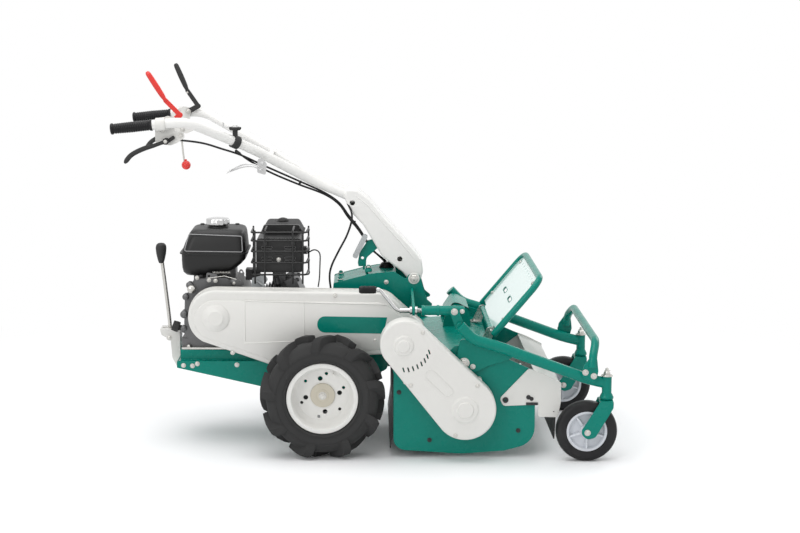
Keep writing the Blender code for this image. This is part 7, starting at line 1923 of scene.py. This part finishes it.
@dataclass
class HandleBase:
    """The folded stand on the frame that carries the column, the latch's stop and the crank's plate."""

    gear: HeightGear
    pivot: Point2 = (0.303, 0.56)
    half: float = 0.088
    wall: float = 0.005
    rail_y: float = 0.14
    rail_top: float = 0.33
    bolt: float = 0.008

    def stand(self) -> None:
        """The two cheeks, the sheet between them, feet, stop and crank plate."""
        outer, inner = self.half, self.half - self.wall
        x, z = self.pivot
        line = rounded([(0.032, 0.508), (0.032, 0.544), (0.142, 0.572), (0.178, 0.579), (0.236, 0.583),
            (0.278, 0.556), (x - 0.018, z + 0.016), (x + 0.018, z + 0.016), (0.345, 0.49), (0.372, 0.468),
            (0.24, 0.44), (0.19, self.rail_top + FIT), (0.06, self.rail_top + FIT), (0.06, 0.47)],
            [0.004, 0.006, 0.02, 0.02, 0.02, 0.01, 0.016, 0.016, 0.02, 0.006, 0.03, 0.004, 0.004, 0.02])
        holes = [circle(self.pivot, self.bolt + FIT, 24), circle((0.3, 0.505), 0.0045, 16),
            circle((0.12, 0.47), 0.007, 20)]
        form = Form()
        for sign in (-1, 1):
            low, high = sign * inner, sign * outer
            form.plate(line, low, high, holes=holes)
            foot_low, foot_high = sorted((sign * (inner + 0.001), sign * self.rail_y))
            form.block((0.062, foot_low, self.rail_top + FIT), (0.188, foot_high, self.rail_top + 0.006))
        form.sheet(smooth_line([(0.034, 0.51), (0.034, 0.541), (0.142, 0.5685), (0.182, 0.5765),
            (0.242, 0.5765)], 0.008), self.wall, -inner - 0.001, inner + 0.001)
        form.sheet(smooth_line([(0.18, 0.337), (0.232, 0.444), (0.352, 0.47)], 0.012), self.wall,
            -inner - 0.001, inner + 0.001)
        form.plate([(0.1385, 0.562), (0.1485, 0.5645), (0.1485, 0.586), (0.141, 0.586)], -0.043, -0.029)
        tip, face = self.gear.y - 0.016, self.gear.plate_x
        form.plate(rounded([(0.003 - outer, 0.474), (0.003 - outer, 0.53), (tip, self.gear.z + 0.016),
            (tip, self.gear.z - 0.016)], 0.012, 15), face, face + self.gear.plate, Axis.X,
            [circle((self.gear.y, self.gear.z), self.gear.screw + FIT, 24)])
        form.piece("handle_stand", Finishes.green, "frame", "handle_base", 0.001, crease=35)
        bolts = Form()
        for sign in (-1, 1):
            for x in (0.08, 0.168):
                bolts.bolt((x, sign * 0.116, self.rail_top + 0.006), 0.0075, 0.0055, Axis.Z)
            bolts.bolt((0.21, sign * outer, 0.548), 0.0062, sign * 0.0042)
        bolts.hardware("handle_stand_bolts")

    def fittings(self) -> None:
        """The stacked washers on the stand's top, the cable gland with its nut, and the ribbed boot."""
        pale = Form()
        for y in (-0.06, 0.06):
            pale.turned(rectangle(0, 0.544, 0.0108, 0.5475), (0.055, y, 0), Axis.Z, 28)
            pale.turned(rectangle(0, 0.552, 0.01, 0.5545), (0.055, y, 0), Axis.Z, 28)
        pale.piece("stand_washers", Finishes.white, "frame", edge=BOLT_EDGE)
        green = Form()
        for y in (-0.06, 0.06):
            green.turned(rectangle(0, 0.5475, 0.0094, 0.552), (0.055, y, 0), Axis.Z, 28)
            green.bolt((0.055, y, 0.5545), 0.007, 0.006, Axis.Z, washer=False)
        green.turned([(0, 0.5785), (0.012, 0.5785), (0.012, 0.585), (0.009, 0.59), (0.0052, 0.5935),
            (0.0052, 0.601), (0, 0.601)], (0.15, -0.058, 0), Axis.Z, 28)
        green.piece("stand_bushes", Finishes.green, "frame", edge=BOLT_EDGE)
        nut = Form().bolt((0.15, -0.058, 0.5935), 0.0085, 0.0048, Axis.Z, washer=True)
        nut.hardware("gland_nut")
        profile: list[Point2] = [(0, 0.5788), (0.026, 0.5788)]
        for index in range(4):
            wide, rise = 0.0262 - 0.002 * index, 0.58 + 0.0037 * index
            profile += [(wide, rise), (wide, rise + 0.0016), (wide - 0.0044, rise + 0.0024),
                (wide - 0.0046, rise + 0.0032)]
        profile += [(0.016, 0.5952), (0.0135, 0.5968), (0, 0.5968)]
        part = Form().turned(profile, (0.212, 0.03, 0.0), Axis.Z, 40)
        part.piece("ribbed_boot", Finishes.grip, "frame", "cable_boot", crease=60)

    def build(self) -> None:
        """Build the stand."""
        self.stand()
        self.fittings()


@dataclass
class Column:
    """The hollow pressed column, its pivot bolt, and the latch that holds it."""

    base: HandleBase
    half: float = 0.062
    wall: float = 0.004
    bend: float = 0.007
    pin: Point2 = (0.176, 0.676)
    opening: Point2 = (0.64, 0.728)
    lip: float = 0.046
    line_step: float = 0.008

    def outline(self) -> Outline:
        """The column's side view, starting at its top."""
        z = self.base.pivot[1]
        return rounded([(0.068, 0.832), (0.076, 0.858), (0.11, 0.856), (0.15, 0.825), (0.197, 0.768),
            (0.304, 0.65), (0.33, 0.616), (0.335, 0.58), (0.326, z - 0.016), (0.29, z - 0.016),
            (0.266, 0.575), (0.196, 0.63), (0.16, 0.692), (0.132, 0.738), (0.087, 0.785)],
            [0.006, 0.012, 0.02, 0.03, 0.04, 0.03, 0.02, 0.02, 0.014, 0.02, 0.03, 0.03, 0.02, 0.02, 0.02], 10)

    def shell(self) -> None:
        """Two flanged sides that meet along the front and, above and below the opening, along the back."""
        line: Outline = []
        raw = self.outline()
        for index, point in enumerate(raw):
            line.append(point)
            after = raw[(index + 1) % len(raw)]
            parts = int(hypot(after[0] - point[0], after[1] - point[1]) / self.line_step)
            line += [(point[0] + (after[0] - point[0]) * step / (parts + 1),
                point[1] + (after[1] - point[1]) * step / (parts + 1)) for step in range(1, parts + 1)]
        form = Form()
        for sign in (-1, 1):
            back = [sign * self.lip if self.opening[0] < z < self.opening[1] and x < 0.066 + 1.02 * (0.8 - z)
                + 0.03 and x < 0.205 and self.behind(x, z) else -sign * 0.0004 for x, z in line]
            pressed(form, line, sign * self.half, back, self.bend, self.wall,
                [circle(place, 0.009, 28) for place in ((0.096, 0.813), (0.256, 0.622))] if sign < 0 else ())
            crease = [(0.1, 0.842), (0.148, 0.806), (0.196, 0.748), (0.262, 0.676), (0.314, 0.61)]
            form.tube(smooth_path([(x, sign * (self.half - 0.0006), z) for x, z in crease], 0.03),
                [0.0008] + [0.002] * (11 * 3) + [0.0008], 12)
        form.piece("column_shell", Finishes.bar_white, "column", "handle_column", crease=40)
        x, z = self.base.pivot
        outer, inner = self.base.half, self.base.half - self.base.wall
        bolt = Form()
        bolt.tube([(x, -outer - 0.002, z), (x, outer + 0.002, z)], self.base.bolt, 28)
        for sign in (-1, 1):
            bolt.turned(rectangle(0, sign * (self.half - 0.001), 0.015, sign * (inner - FIT)), (x, 0, z),
                steps=36)
            bolt.bolt((x, sign * (outer + FIT), z), 0.0135, sign * 0.0078)
        bolt.tube([(self.pin[0], 0.002 - self.half, self.pin[1]),
            (self.pin[0], self.half - 0.002, self.pin[1])], 0.005, 20)
        bolt.piece("column_pivot_bolt", Finishes.zinc, "column", edge=0.0005)
        ring = Form()
        for sign in (-1, 1):
            ring.turned([(0.014, sign * (outer + FIT)), (0.0195, sign * (outer + FIT)),
                (0.0185, sign * (outer + 0.0024)), (0.014, sign * (outer + 0.0024))], (x, 0, z), steps=40,
                ring=True)
        ring.piece("column_pivot_rings", Finishes.white, "column", edge=BOLT_EDGE)

    def behind(self, x: float, z: float) -> bool:
        """Whether a point of the outline lies on the column's back."""
        return x < 0.087 + 0.62 * (0.8 - z) + 0.012

    def latch(self) -> None:
        """The latch plate with its tooth, and its grey finger pad."""
        line = rounded([(0.148, 0.682), (0.12, 0.64), (0.114, 0.606), (0.1165, 0.5935), (0.142, 0.5935),
            (0.143, 0.622), (0.19, 0.664), (0.184, 0.69)],
            [0.006, 0.02, 0.02, 0.001, 0.001, 0.02, 0.01, 0.01], 12)
        form = Form().plate(line, -0.04, -0.032,
            holes=[circle(self.pin, 0.0053, 20), circle((0.13, 0.622), 0.005, 20)])
        form.plate([(0.131, 0.596), (0.131, 0.5815), (0.138, 0.5815), (0.138, 0.596)], -0.0395, -0.0325)
        form.piece("latch_plate", Finishes.green, "latch", "column_latch", 0.0008)
        pad = rounded([(0.134, 0.7065), (0.095, 0.6285), (0.1105, 0.6215), (0.1492, 0.6992)], 0.006, 15)
        form = Form().plate(pad, -0.06, -0.04 - FIT)
        start, end = Vector((0.103, 0.63)), Vector((0.1405, 0.703))
        ridges = 7
        for index in range(ridges):
            place = start.lerp(end, (index + 0.5) / ridges)
            form.tube([(place.x - 0.0062, -0.06, place.y + 0.003),
                (place.x + 0.0062, -0.06, place.y - 0.003)], 0.001, 10)
        form.piece("latch_finger_pad", Finishes.grey, "latch", "latch_pad", 0.002, segments=3)

    def build(self) -> None:
        """Build the column and its latch."""
        self.shell()
        self.latch()


@dataclass
class Handle:
    """The bent bar with its grips, its hand levers and everything that is clamped to it."""

    radius: float = 0.0165
    core: float = 0.0125
    grip_y: float = 0.249
    grip_radius: float = 0.0175
    grip_middle: float = -0.613
    grip_ribs: int = 15
    rear: float = -0.68
    front: float = -0.546
    z: float = 1.0835
    rise: float = 0.0955
    mount_near: float = 0.019
    mount_far: float = 0.024
    lever_inset: float = 0.03
    rod_y: float = -0.204
    rod_pivot: Point2 = (-0.458, 1.054)
    hand_pivot: Point2 = (-0.504, 1.037)
    tall_pivot: Point2 = (-0.482, 1.1)
    throttle_along: Point3 = (0.205, 0.129, -0.1014)
    throttle_from: Point3 = (-0.231, -0.12, 0.999)
    throttle_back: float = 0.072

    def grip_z(self, x: float) -> float:
        """The height of the grip's middle line."""
        return self.z + self.rise * (x - self.grip_middle)

    def path(self, side: Side) -> list[Point3]:
        """The middle line of one side of the bar, from the grip to the column."""
        y, hand = side.value * self.grip_y, side.value
        return [(self.rear + 0.004, y, self.grip_z(self.rear)), (self.front, y, self.grip_z(self.front)),
            (-0.436, y, self.grip_z(-0.436)), (-0.231, hand * 0.12, 0.999), (-0.03, hand * 0.039, 0.882),
            (0.104, hand * 0.039, 0.826)]

    def bar(self) -> None:
        """The bar: one bent tube for each hand, a cross tube in the column and a stay."""
        form = Form()
        for side in Side:
            corners = self.path(side)
            straight = (Vector(corners[2]) - Vector(corners[1])).normalized()
            form.tube([corners[0], Vector(corners[1]) + straight * 0.01], self.core, 20)
            form.tube(smooth_path(corners[1:], 0.05, 14), self.radius, 32)
        form.tube([(0.097, -0.04, 0.829), (0.097, 0.04, 0.829)], 0.01, 20)
        form.tube([(-0.18, -0.1, 0.972), (-0.18, 0.1, 0.972)], 0.0085, 24)
        form.piece("handle_tubes", Finishes.bar_white, "column", "handle_bar", crease=40)

    def grip(self, side: Side) -> None:
        """A ribbed rubber grip with its end flange and finger rings."""
        start, end = (Vector(place) for place in self.path(side)[:2])
        length = (end - start).length
        inner, radius = self.core + FIT, self.grip_radius
        profile: list[Point2] = [(0, -0.005), (0.0135, -0.005), (0.0165, -0.0042), (0.0185, -0.0018),
            (0.0186, 0.0022), (0.0172, 0.0048), (radius - 0.002, 0.0062)]
        count = self.grip_ribs
        for index in range(count):
            place = 0.009 + (length - 0.02) * index / count
            wide = radius - 0.0008 + 0.001 * (1 - abs(2 * index / (count - 1) - 1))
            profile += [(wide - 0.0012, place), (wide, place + 0.0012), (wide, place + 0.005),
                (wide - 0.0012, place + 0.0062)]
        profile += [(radius - 0.001, length - 0.009), (radius + 0.001, length - 0.006),
            (radius + 0.001, length - FIT), (inner, length - FIT), (inner, -FIT), (0, -FIT)]
        turn = facing(start, end - start)
        part = Form().placed(lambda made: made.turned(profile, (0, 0, 0), Axis.X, 40), turn)
        part.piece(f"hand_grip_{side.word}", Finishes.grip, "column", f"grip_{side.word}", crease=55)

    def mount(self, side: Side) -> None:
        """The clamp plate that holds one hand's levers, with its split clamp ring and screw."""
        hand = side.value
        line = rounded([(-0.54, 1.028), (-0.49, 1.022), (-0.47, 1.03), (-0.446, 1.046), (-0.446, 1.062),
            (-0.477, 1.07), (-0.477, 1.086), (-0.472, 1.092), (-0.472, 1.112), (-0.5, 1.118), (-0.54, 1.1)],
            [0.01, 0.008, 0.008, 0.008, 0.008, 0.006, 0.002, 0.002, 0.008, 0.01, 0.01], 15)
        low, high = hand * (self.grip_y - self.mount_near), hand * (self.grip_y - self.mount_far)
        holes = [circle(place, 0.0043, 20) for place in (self.hand_pivot, self.tall_pivot, self.rod_pivot)]
        holes.append(slot((-0.526, 1.086), (-0.512, 1.1), 0.003))
        form = Form().plate(line, low, high, holes=holes)
        start, end = (Vector(place) for place in self.path(side)[1:3])
        along = (end - start).normalized()
        inner = self.radius + FIT
        turn = facing(start + along * 0.012, along)
        ring = rounded(rectangle(inner, 0.0, inner + 0.0046, 0.03), [0, 0.0014, 0.0014, 0], 20)
        form.placed(lambda made: made.turned(ring, (0, 0, 0), Axis.X, 40, ring=True), turn)
        form.piece(f"lever_plate_{side.word}", Finishes.white, "column", f"lever_mount_{side.word}", 0.0007)
        screw = Form()
        screw.placed(lambda made: made.bolt((0.008, 0, -inner - 0.0046), 0.0048, -0.0034,
            Axis.Z).bolt((0.022, 0, -inner - 0.0046), 0.0048, -0.0034, Axis.Z), turn)
        screw.hardware(f"lever_plate_screws_{side.word}", "column", PIN_EDGE)

    def hand_lever(self, side: Side) -> None:
        """The squeeze lever under a grip, with its pivot screw."""
        hand, (x, z) = side.value, self.hand_pivot
        y = hand * self.grip_y
        path = spline_path([(x, y, z), (-0.54, y, 1.024), (-0.576, y, 1.013), (-0.615, y, 0.993),
            (-0.638, y, 0.966)], 8)
        sections = []
        for index, place in enumerate(path):
            run = (path[min(index + 1, len(path) - 1)] - path[max(index - 1, 0)]).normalized()
            out = Vector((-run.z, 0, run.x))
            share = min(1.0, max(0.0, (index - 6) / 8))
            tip = 1.0 if index < len(path) - 3 else (0.92, 0.75, 0.35)[index - len(path) + 3]
            wide, deep = (0.006 + 0.004 * share) * tip, (0.0062 + 0.0018 * share) * tip
            sections.append([place + Vector((0, wide * cos(angle) * (0.75 + 0.25 * abs(cos(angle))), 0))
                + out * deep * sin(angle) for angle in (2 * pi * step / 16 for step in range(16))])
        form = Form().rings(sections)
        low, high = y - hand * 0.0145, y + hand * 0.007
        form.plate(circle((x, z), 0.0105, 28), low, high)
        form.plate(rounded([(-0.512, 1.034), (-0.496, 1.03), (-0.474, 1.046), (-0.48, 1.056)], 0.004, 15),
            y - hand * 0.014, y - hand * 0.008)
        form.piece(f"squeeze_lever_{side.word}", Finishes.plastic, f"squeeze_{side.word}",
            f"hand_lever_{side.word}", 0.0008, crease=40)
        pin = Form().tube([(x, y - hand * 0.012, z), (x, y - hand * 0.03, z)], 0.004, 20)
        pin.bolt((x, y - hand * (self.mount_far + FIT), z), 0.0072, -hand * 0.0046)
        pin.bolt((x, y + hand * 0.007, z), 0.0066, hand * 0.0034, washer=False)
        pin.hardware(f"squeeze_lever_pin_{side.word}", f"squeeze_{side.word}", PIN_EDGE)

    def tall_lever(self, side: Side, name: str, finish: "Finish", body: str, corners: Sequence[Point2],
            node: str) -> None:
        """A tall hand lever: a flat bent arm on its pivot, with a round handle.

        Args:
            side: the side that it stands on.
            name: the piece's name.
            finish: its finish.
            body: the body that it rides on.
            corners: its elbow, its joint and where its handle ends.
            node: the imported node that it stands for.
        """
        hand, (x, z) = side.value, self.tall_pivot
        y = hand * (self.grip_y - self.lever_inset)
        elbow, hole, tip = corners
        low, high = y - 0.002, y + 0.002
        form = Form().plate(slot((x, z), elbow, 0.009, 12), low, high)
        form.plate(slot(elbow, hole, 0.0075, 12), low - 0.0002, high + 0.0002)
        start, finish_at = Vector((hole[0], y, hole[1])), Vector((tip[0], y, tip[1]))
        way = (finish_at - start).normalized()
        shape = ((0.004, -0.004), (0.006, 0.003), (0.007, 0.009), (0.0085, 0.02), (0.0092, 0.04),
            (0.0095, 0.06))
        path = [start + way * run for wide, run in shape] + [finish_at - way * run
            for run in (0.03, 0.01, 0.004, 0.0)]
        form.tube(path, [wide for wide, run in shape] + [0.0092, 0.0086, 0.0072, 0.0042], 24)
        form.turned(rectangle(0, y, 0.009, y + hand * (self.lever_inset - self.mount_far - FIT)), (x, 0, z),
            steps=28)
        form.piece(name, finish, body, node, 0.0006, crease=40)
        pin = Form().tube([(x, y - hand * 0.009, z), (x, y + hand * 0.0115, z)], 0.004, 20)
        pin.bolt((x, y - hand * 0.002, z), 0.0076, -hand * 0.006)
        pin.bolt((hole[0], y - hand * 0.002, hole[1] - 0.006), 0.0042, -hand * 0.0024, washer=False)
        pin.hardware(f"{name}_pin", body, PIN_EDGE)

    def hanging_rod(self) -> None:
        """The short rod that hangs from the right plate, with its eye and round red knob."""
        x, z = self.rod_pivot
        y, face = self.rod_y, -self.grip_y + self.mount_near - FIT
        wire = spline_path([(x, y, z - 0.004), (x + 0.0015, y, z - 0.02), (x + 0.0045, y, z - 0.055),
            (x + 0.009, y, z - 0.092)])
        form = Form().tube(wire, 0.003, 16)
        form.turned(rectangle(0.0042, y - 0.003, 0.008, y + 0.003), (x, 0, z), steps=28, ring=True)
        form.piece("hanging_rod_wire", Finishes.zinc, "hanging_rod", "control_rod", 0.0005, crease=40)
        ball = [(0.015 * sin(radians(angle)), -0.015 * cos(radians(angle))) for angle in range(0, 181, 12)]
        knob = Form().turned(ball, (x + 0.014, y, z - 0.0985), Axis.Z, 36)
        knob.turned([(0, 0.012), (0.0052, 0.012), (0.0046, 0.019), (0, 0.019)], (x + 0.012, y, z - 0.0985),
            Axis.Z, 20)
        knob.piece("hanging_rod_knob", Finishes.red, "hanging_rod", crease=40)
        pin = Form().tube([(x, y + 0.0035, z), (x, face - 0.002, z)], 0.004, 20)
        pin.bolt((x, y + 0.003, z), 0.0062, 0.003, washer=False)
        pin.bolt((x, face - 0.003, z), 0.0065, 0.0026, washer=False)
        pin.hardware("hanging_rod_pin", "hanging_rod", PIN_EDGE)

    def throttle(self) -> None:
        """The throttle's clamp and dial on the bar's bend, and its two-bladed thumb lever."""
        along = Vector(self.throttle_along).normalized()
        place = Vector(self.throttle_from) - along * self.throttle_back
        inner, radius = self.radius + FIT, self.radius
        turn = facing(place, along)
        ring = rounded(rectangle(inner, -0.012, inner + 0.005, 0.012), [0, 0.0015, 0.0015, 0], 20)
        form = Form().placed(lambda made: made.turned(ring, (0, 0, 0), Axis.X, 40, ring=True), turn)
        base = place.z + radius
        post = rounded(rectangle(place.x - 0.008, place.y - 0.01, place.x + 0.008, place.y + 0.01), 0.003, 20)
        form.plate(post, base + 0.003, base + 0.024, Axis.Z)
        dial = rounded([(0, 0.0), (0.016, 0.0), (0.02, 0.004), (0.02, 0.01), (0, 0.01)],
            [0, 0.002, 0.002, 0.001, 0], 15)
        form.turned(dial, (place.x, place.y, base + 0.022), Axis.Z, 48)
        for x, y in circle((place.x, place.y), 0.0198, 24):
            form.tube([(x, y, base + 0.0265), (x, y, base + 0.0312)], 0.0007, 6)
        form.piece("throttle_housing", Finishes.plastic, "column", "throttle_box", 0.0006)
        top = base + 0.032 + FIT
        lever = Form().turned([(0, 0), (0.013, 0), (0.013, 0.003), (0.0085, 0.0042), (0.0085, 0.0058),
            (0, 0.0062)], (place.x, place.y, top), Axis.Z, 36)

        def blade(made: Form) -> None:
            """Add the lever's flat blades and its bent thumb tab."""
            made.plate(rounded([(-0.008, -0.006), (0.006, -0.007), (0.044, -0.0045), (0.044, 0.0045),
                (0.006, 0.007), (-0.008, 0.006)], [0.004, 0.004, 0.003, 0.003, 0.004, 0.004], 20), 0.0005,
                0.003, Axis.Z)
            made.plate(rounded(rectangle(0.0385, -0.0055, 0.041, 0.0055), 0.0008, 20), 0.001, 0.016, Axis.Z)

        lever.placed(blade,
            Matrix.Translation((place.x, place.y, top)) @ Matrix.Rotation(radians(200), 4, "Z"))
        lever.piece("throttle_thumb_lever", Finishes.chrome, "throttle", "throttle_lever", 0.0005)
        blades = Form().plate(rounded([(-0.216, 0.926), (-0.188, 0.918), (-0.184, 0.955), (-0.2, 0.975),
            (-0.214, 0.97)], 0.005), -0.16, -0.157)
        for rise, reach in ((0.0, -0.316), (0.0075, -0.306)):
            line = [(-0.196, -0.1615, 0.93 + rise), (-0.228, -0.163, 0.946 + rise),
                (-0.264, -0.164, 0.944 + rise), (reach, -0.165, 0.926 + rise)]
            blades.tube(spline_path(line, 6), 0.0021, 14, dome=True)
        blades.bolts(((-0.204, 0.934), (-0.198, 0.956)), -0.16, 0.006, -0.004)
        blades.piece("throttle_side_lever", Finishes.chrome, "column", edge=PIN_EDGE)

    def cables(self) -> None:
        """The two control cables with their ferrules and clips, and the loop of cable beside the column."""
        clutch = [(-0.49, -0.2212, 1.04), (-0.44, -0.219, 1.036), (-0.385, -0.202, 1.026),
            (-0.33, -0.176, 1.006), (-0.27, -0.142, 0.982), (-0.2, -0.1, 0.944), (-0.08, -0.05, 0.884),
            (0.0, -0.025, 0.844), (0.05, -0.014, 0.808), (0.082, -0.012, 0.765), (0.12, -0.01, 0.716),
            (0.16, -0.004, 0.65), (0.19, 0.008, 0.618), (0.206, 0.018, 0.6)]
        throttle = [(-0.286, -0.1546, 0.998), (-0.245, -0.12, 0.962), (-0.18, -0.086, 0.92),
            (-0.09, -0.048, 0.876), (0.0, -0.016, 0.837), (0.05, -0.005, 0.801), (0.08, -0.003, 0.758),
            (0.118, -0.001, 0.71), (0.158, 0.006, 0.648), (0.19, 0.018, 0.618), (0.21, 0.03, 0.6)]
        form = Form()
        for line in (clutch, throttle):
            form.tube(spline_path(line, 6), 0.0033, 16, dome=True)
        form.piece("control_cable_jackets", Finishes.cable, "column", "control_cables", crease=60)
        low, high = (0.0257, -0.075, 0.505), (0.08, -0.056, 0.81)
        loop = [high, (0.0921, -0.068, 0.7861), (0.0938, -0.075, 0.7553), (0.0775, -0.075, 0.7042),
            (0.0484, -0.075, 0.6483), (0.0257, -0.075, 0.5999), (0.0192, -0.075, 0.5609), low]
        hose = Form().tube(spline_path(loop, 8), 0.0034, 16, dome=True)
        made = hose.piece("throttle_cable_loop", Finishes.cable, "", crease=60)
        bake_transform(made)
        ends = Form()
        for line in (clutch, throttle):
            first, second = Vector(line[0]), Vector(line[1])
            ends.tube([first, first.lerp(second, 0.3)], 0.0046, 16, dome=True)
        for place, lean in (((-0.08, -0.0465, 0.879), 25), ((0.1, -0.0065, 0.738), 52)):

            def clip(made: Form) -> None:
                """Add one band round both cables, with its tail."""
                made.rings([[Vector((x, 0.0105 * cos(angle) * wide, 0.0066 * sin(angle) * wide))
                    for angle in (2 * pi * step / 24 for step in range(24))]
                    for x, wide in ((-0.004, 1.0), (0.004, 1.0), (0.004, 0.8), (-0.004, 0.8))], closed=True)
                made.block((-0.0015, -0.004, 0.006), (0.0015, 0.006, 0.0085))

            ends.placed(clip, Matrix.Translation(place) @ Matrix.Rotation(radians(lean), 4, "Y"))
        ends.piece("control_cable_clips", Finishes.plastic, "column", edge=PIN_EDGE)

    def build(self) -> None:
        """Build the bar and its controls."""
        self.bar()
        for side in Side:
            self.grip(side)
            self.mount(side)
            self.hand_lever(side)
        self.tall_lever(Side.RIGHT, "red_drive_lever", Finishes.red, "drive_control",
            ((-0.46, 1.12), (-0.506, 1.167), (-0.565, 1.26)), "drive_lever")
        self.tall_lever(Side.LEFT, "black_cutter_lever", Finishes.plastic, "cutter_control",
            ((-0.447, 1.119), (-0.484, 1.173), (-0.525, 1.268)), "cutter_lever")
        self.hanging_rod()
        self.throttle()
        self.cables()


@dataclass
class GearShift:
    """The folded gate bracket behind the frame and the gear lever that stands in it."""

    rear: float = -0.4925
    pivot: Point2 = (-0.53, 0.345)
    top: Point2 = (-0.557, 0.65)
    stem: float = 0.0064

    def build(self) -> None:
        """Build the bracket and the lever."""
        back = self.rear
        line = rounded([(back - 0.069, 0.3745), (back - FIT, 0.3745), (back - FIT, 0.2432),
            (back - 0.0105, 0.2432), (back - 0.028, 0.2756), (back - 0.0325, 0.3373),
            (back - 0.0635, 0.3547)], [0.004, 0.002, 0.002, 0.003, 0.03, 0.01, 0.006], 12)
        form = Form()
        for low in (-0.034, 0.03):
            form.plate(line, low, low + 0.004)
        gate = rounded(rectangle(back - 0.0685, -0.0335, back - 0.001, 0.0335), 0.003, 15)
        form.plate(gate, 0.37, 0.3742, Axis.Z, [slot((-0.545, 0.0), (-0.515, 0.0), 0.0115, 12)])
        form.block((back - 0.0045, -0.0335, 0.2437), (back - FIT - 0.0002, 0.0335, 0.3735))
        form.piece("gate_bracket", Finishes.white, "frame", "gear_bracket", 0.0008)
        x, z = self.pivot
        bolts = Form().tube([(x, -0.0365, z), (x, 0.0365, z)], 0.005, 20)
        for sign in (-1, 1):
            bolts.bolt((x, sign * 0.034, z), 0.0075, sign * 0.005)
            bolts.bolt((back - 0.0045, sign * 0.018, 0.277), 0.006, -0.004, Axis.X)
        bolts.hardware("gate_bolts", "frame", PIN_EDGE)
        top_x, top_z = self.top
        lever = Form().turned(rectangle(0.0053, -0.012, 0.011, 0.012), (x, 0, z), steps=32, ring=True)
        lever.tube(spline_path([(-0.5302, 0, 0.353), (-0.531, 0, 0.39), (-0.5425, 0, 0.5),
            (top_x + 0.003, 0, 0.6), (top_x, 0, top_z - 0.02)]), self.stem, 20)
        lever.piece("gear_rod", Finishes.zinc, "gear_stick", "shift_lever", 0.0003, crease=40)
        knob = rounded([(0, -0.052), (0.008, -0.052), (0.012, -0.04), (0.0165, -0.02), (0.0185, 0.0),
            (0.0165, 0.011), (0.01, 0.0165), (0, 0.018)], [0, 0.002, 0.02, 0.02, 0.02, 0.008, 0.006, 0], 10)
        part = Form().turned(knob, (top_x, 0, top_z), Axis.Z, 40)
        part.piece("gear_knob", Finishes.plastic, "gear_stick", crease=60)


def main() -> None:
    """Build the studio and the mower, piece by piece."""
    logging.basicConfig(level=logging.INFO, format="%(name)s: %(message)s")
    bpy.context.scene.view_settings.view_transform = "Standard"
    drive = BeltDrive()
    gear = HeightGear()
    base = HandleBase(gear)
    parts = [Studio(), Chassis(), *(DriveWheel(side) for side in Side), Engine(), drive, Deck(drive),
        CastorArms(), gear, Lid(), base, Column(base), Handle(), GearShift()]
    for part in parts:
        part.build()
        LOG.info("%s is built", type(part).__name__)


if __name__ == "__main__":
    main()
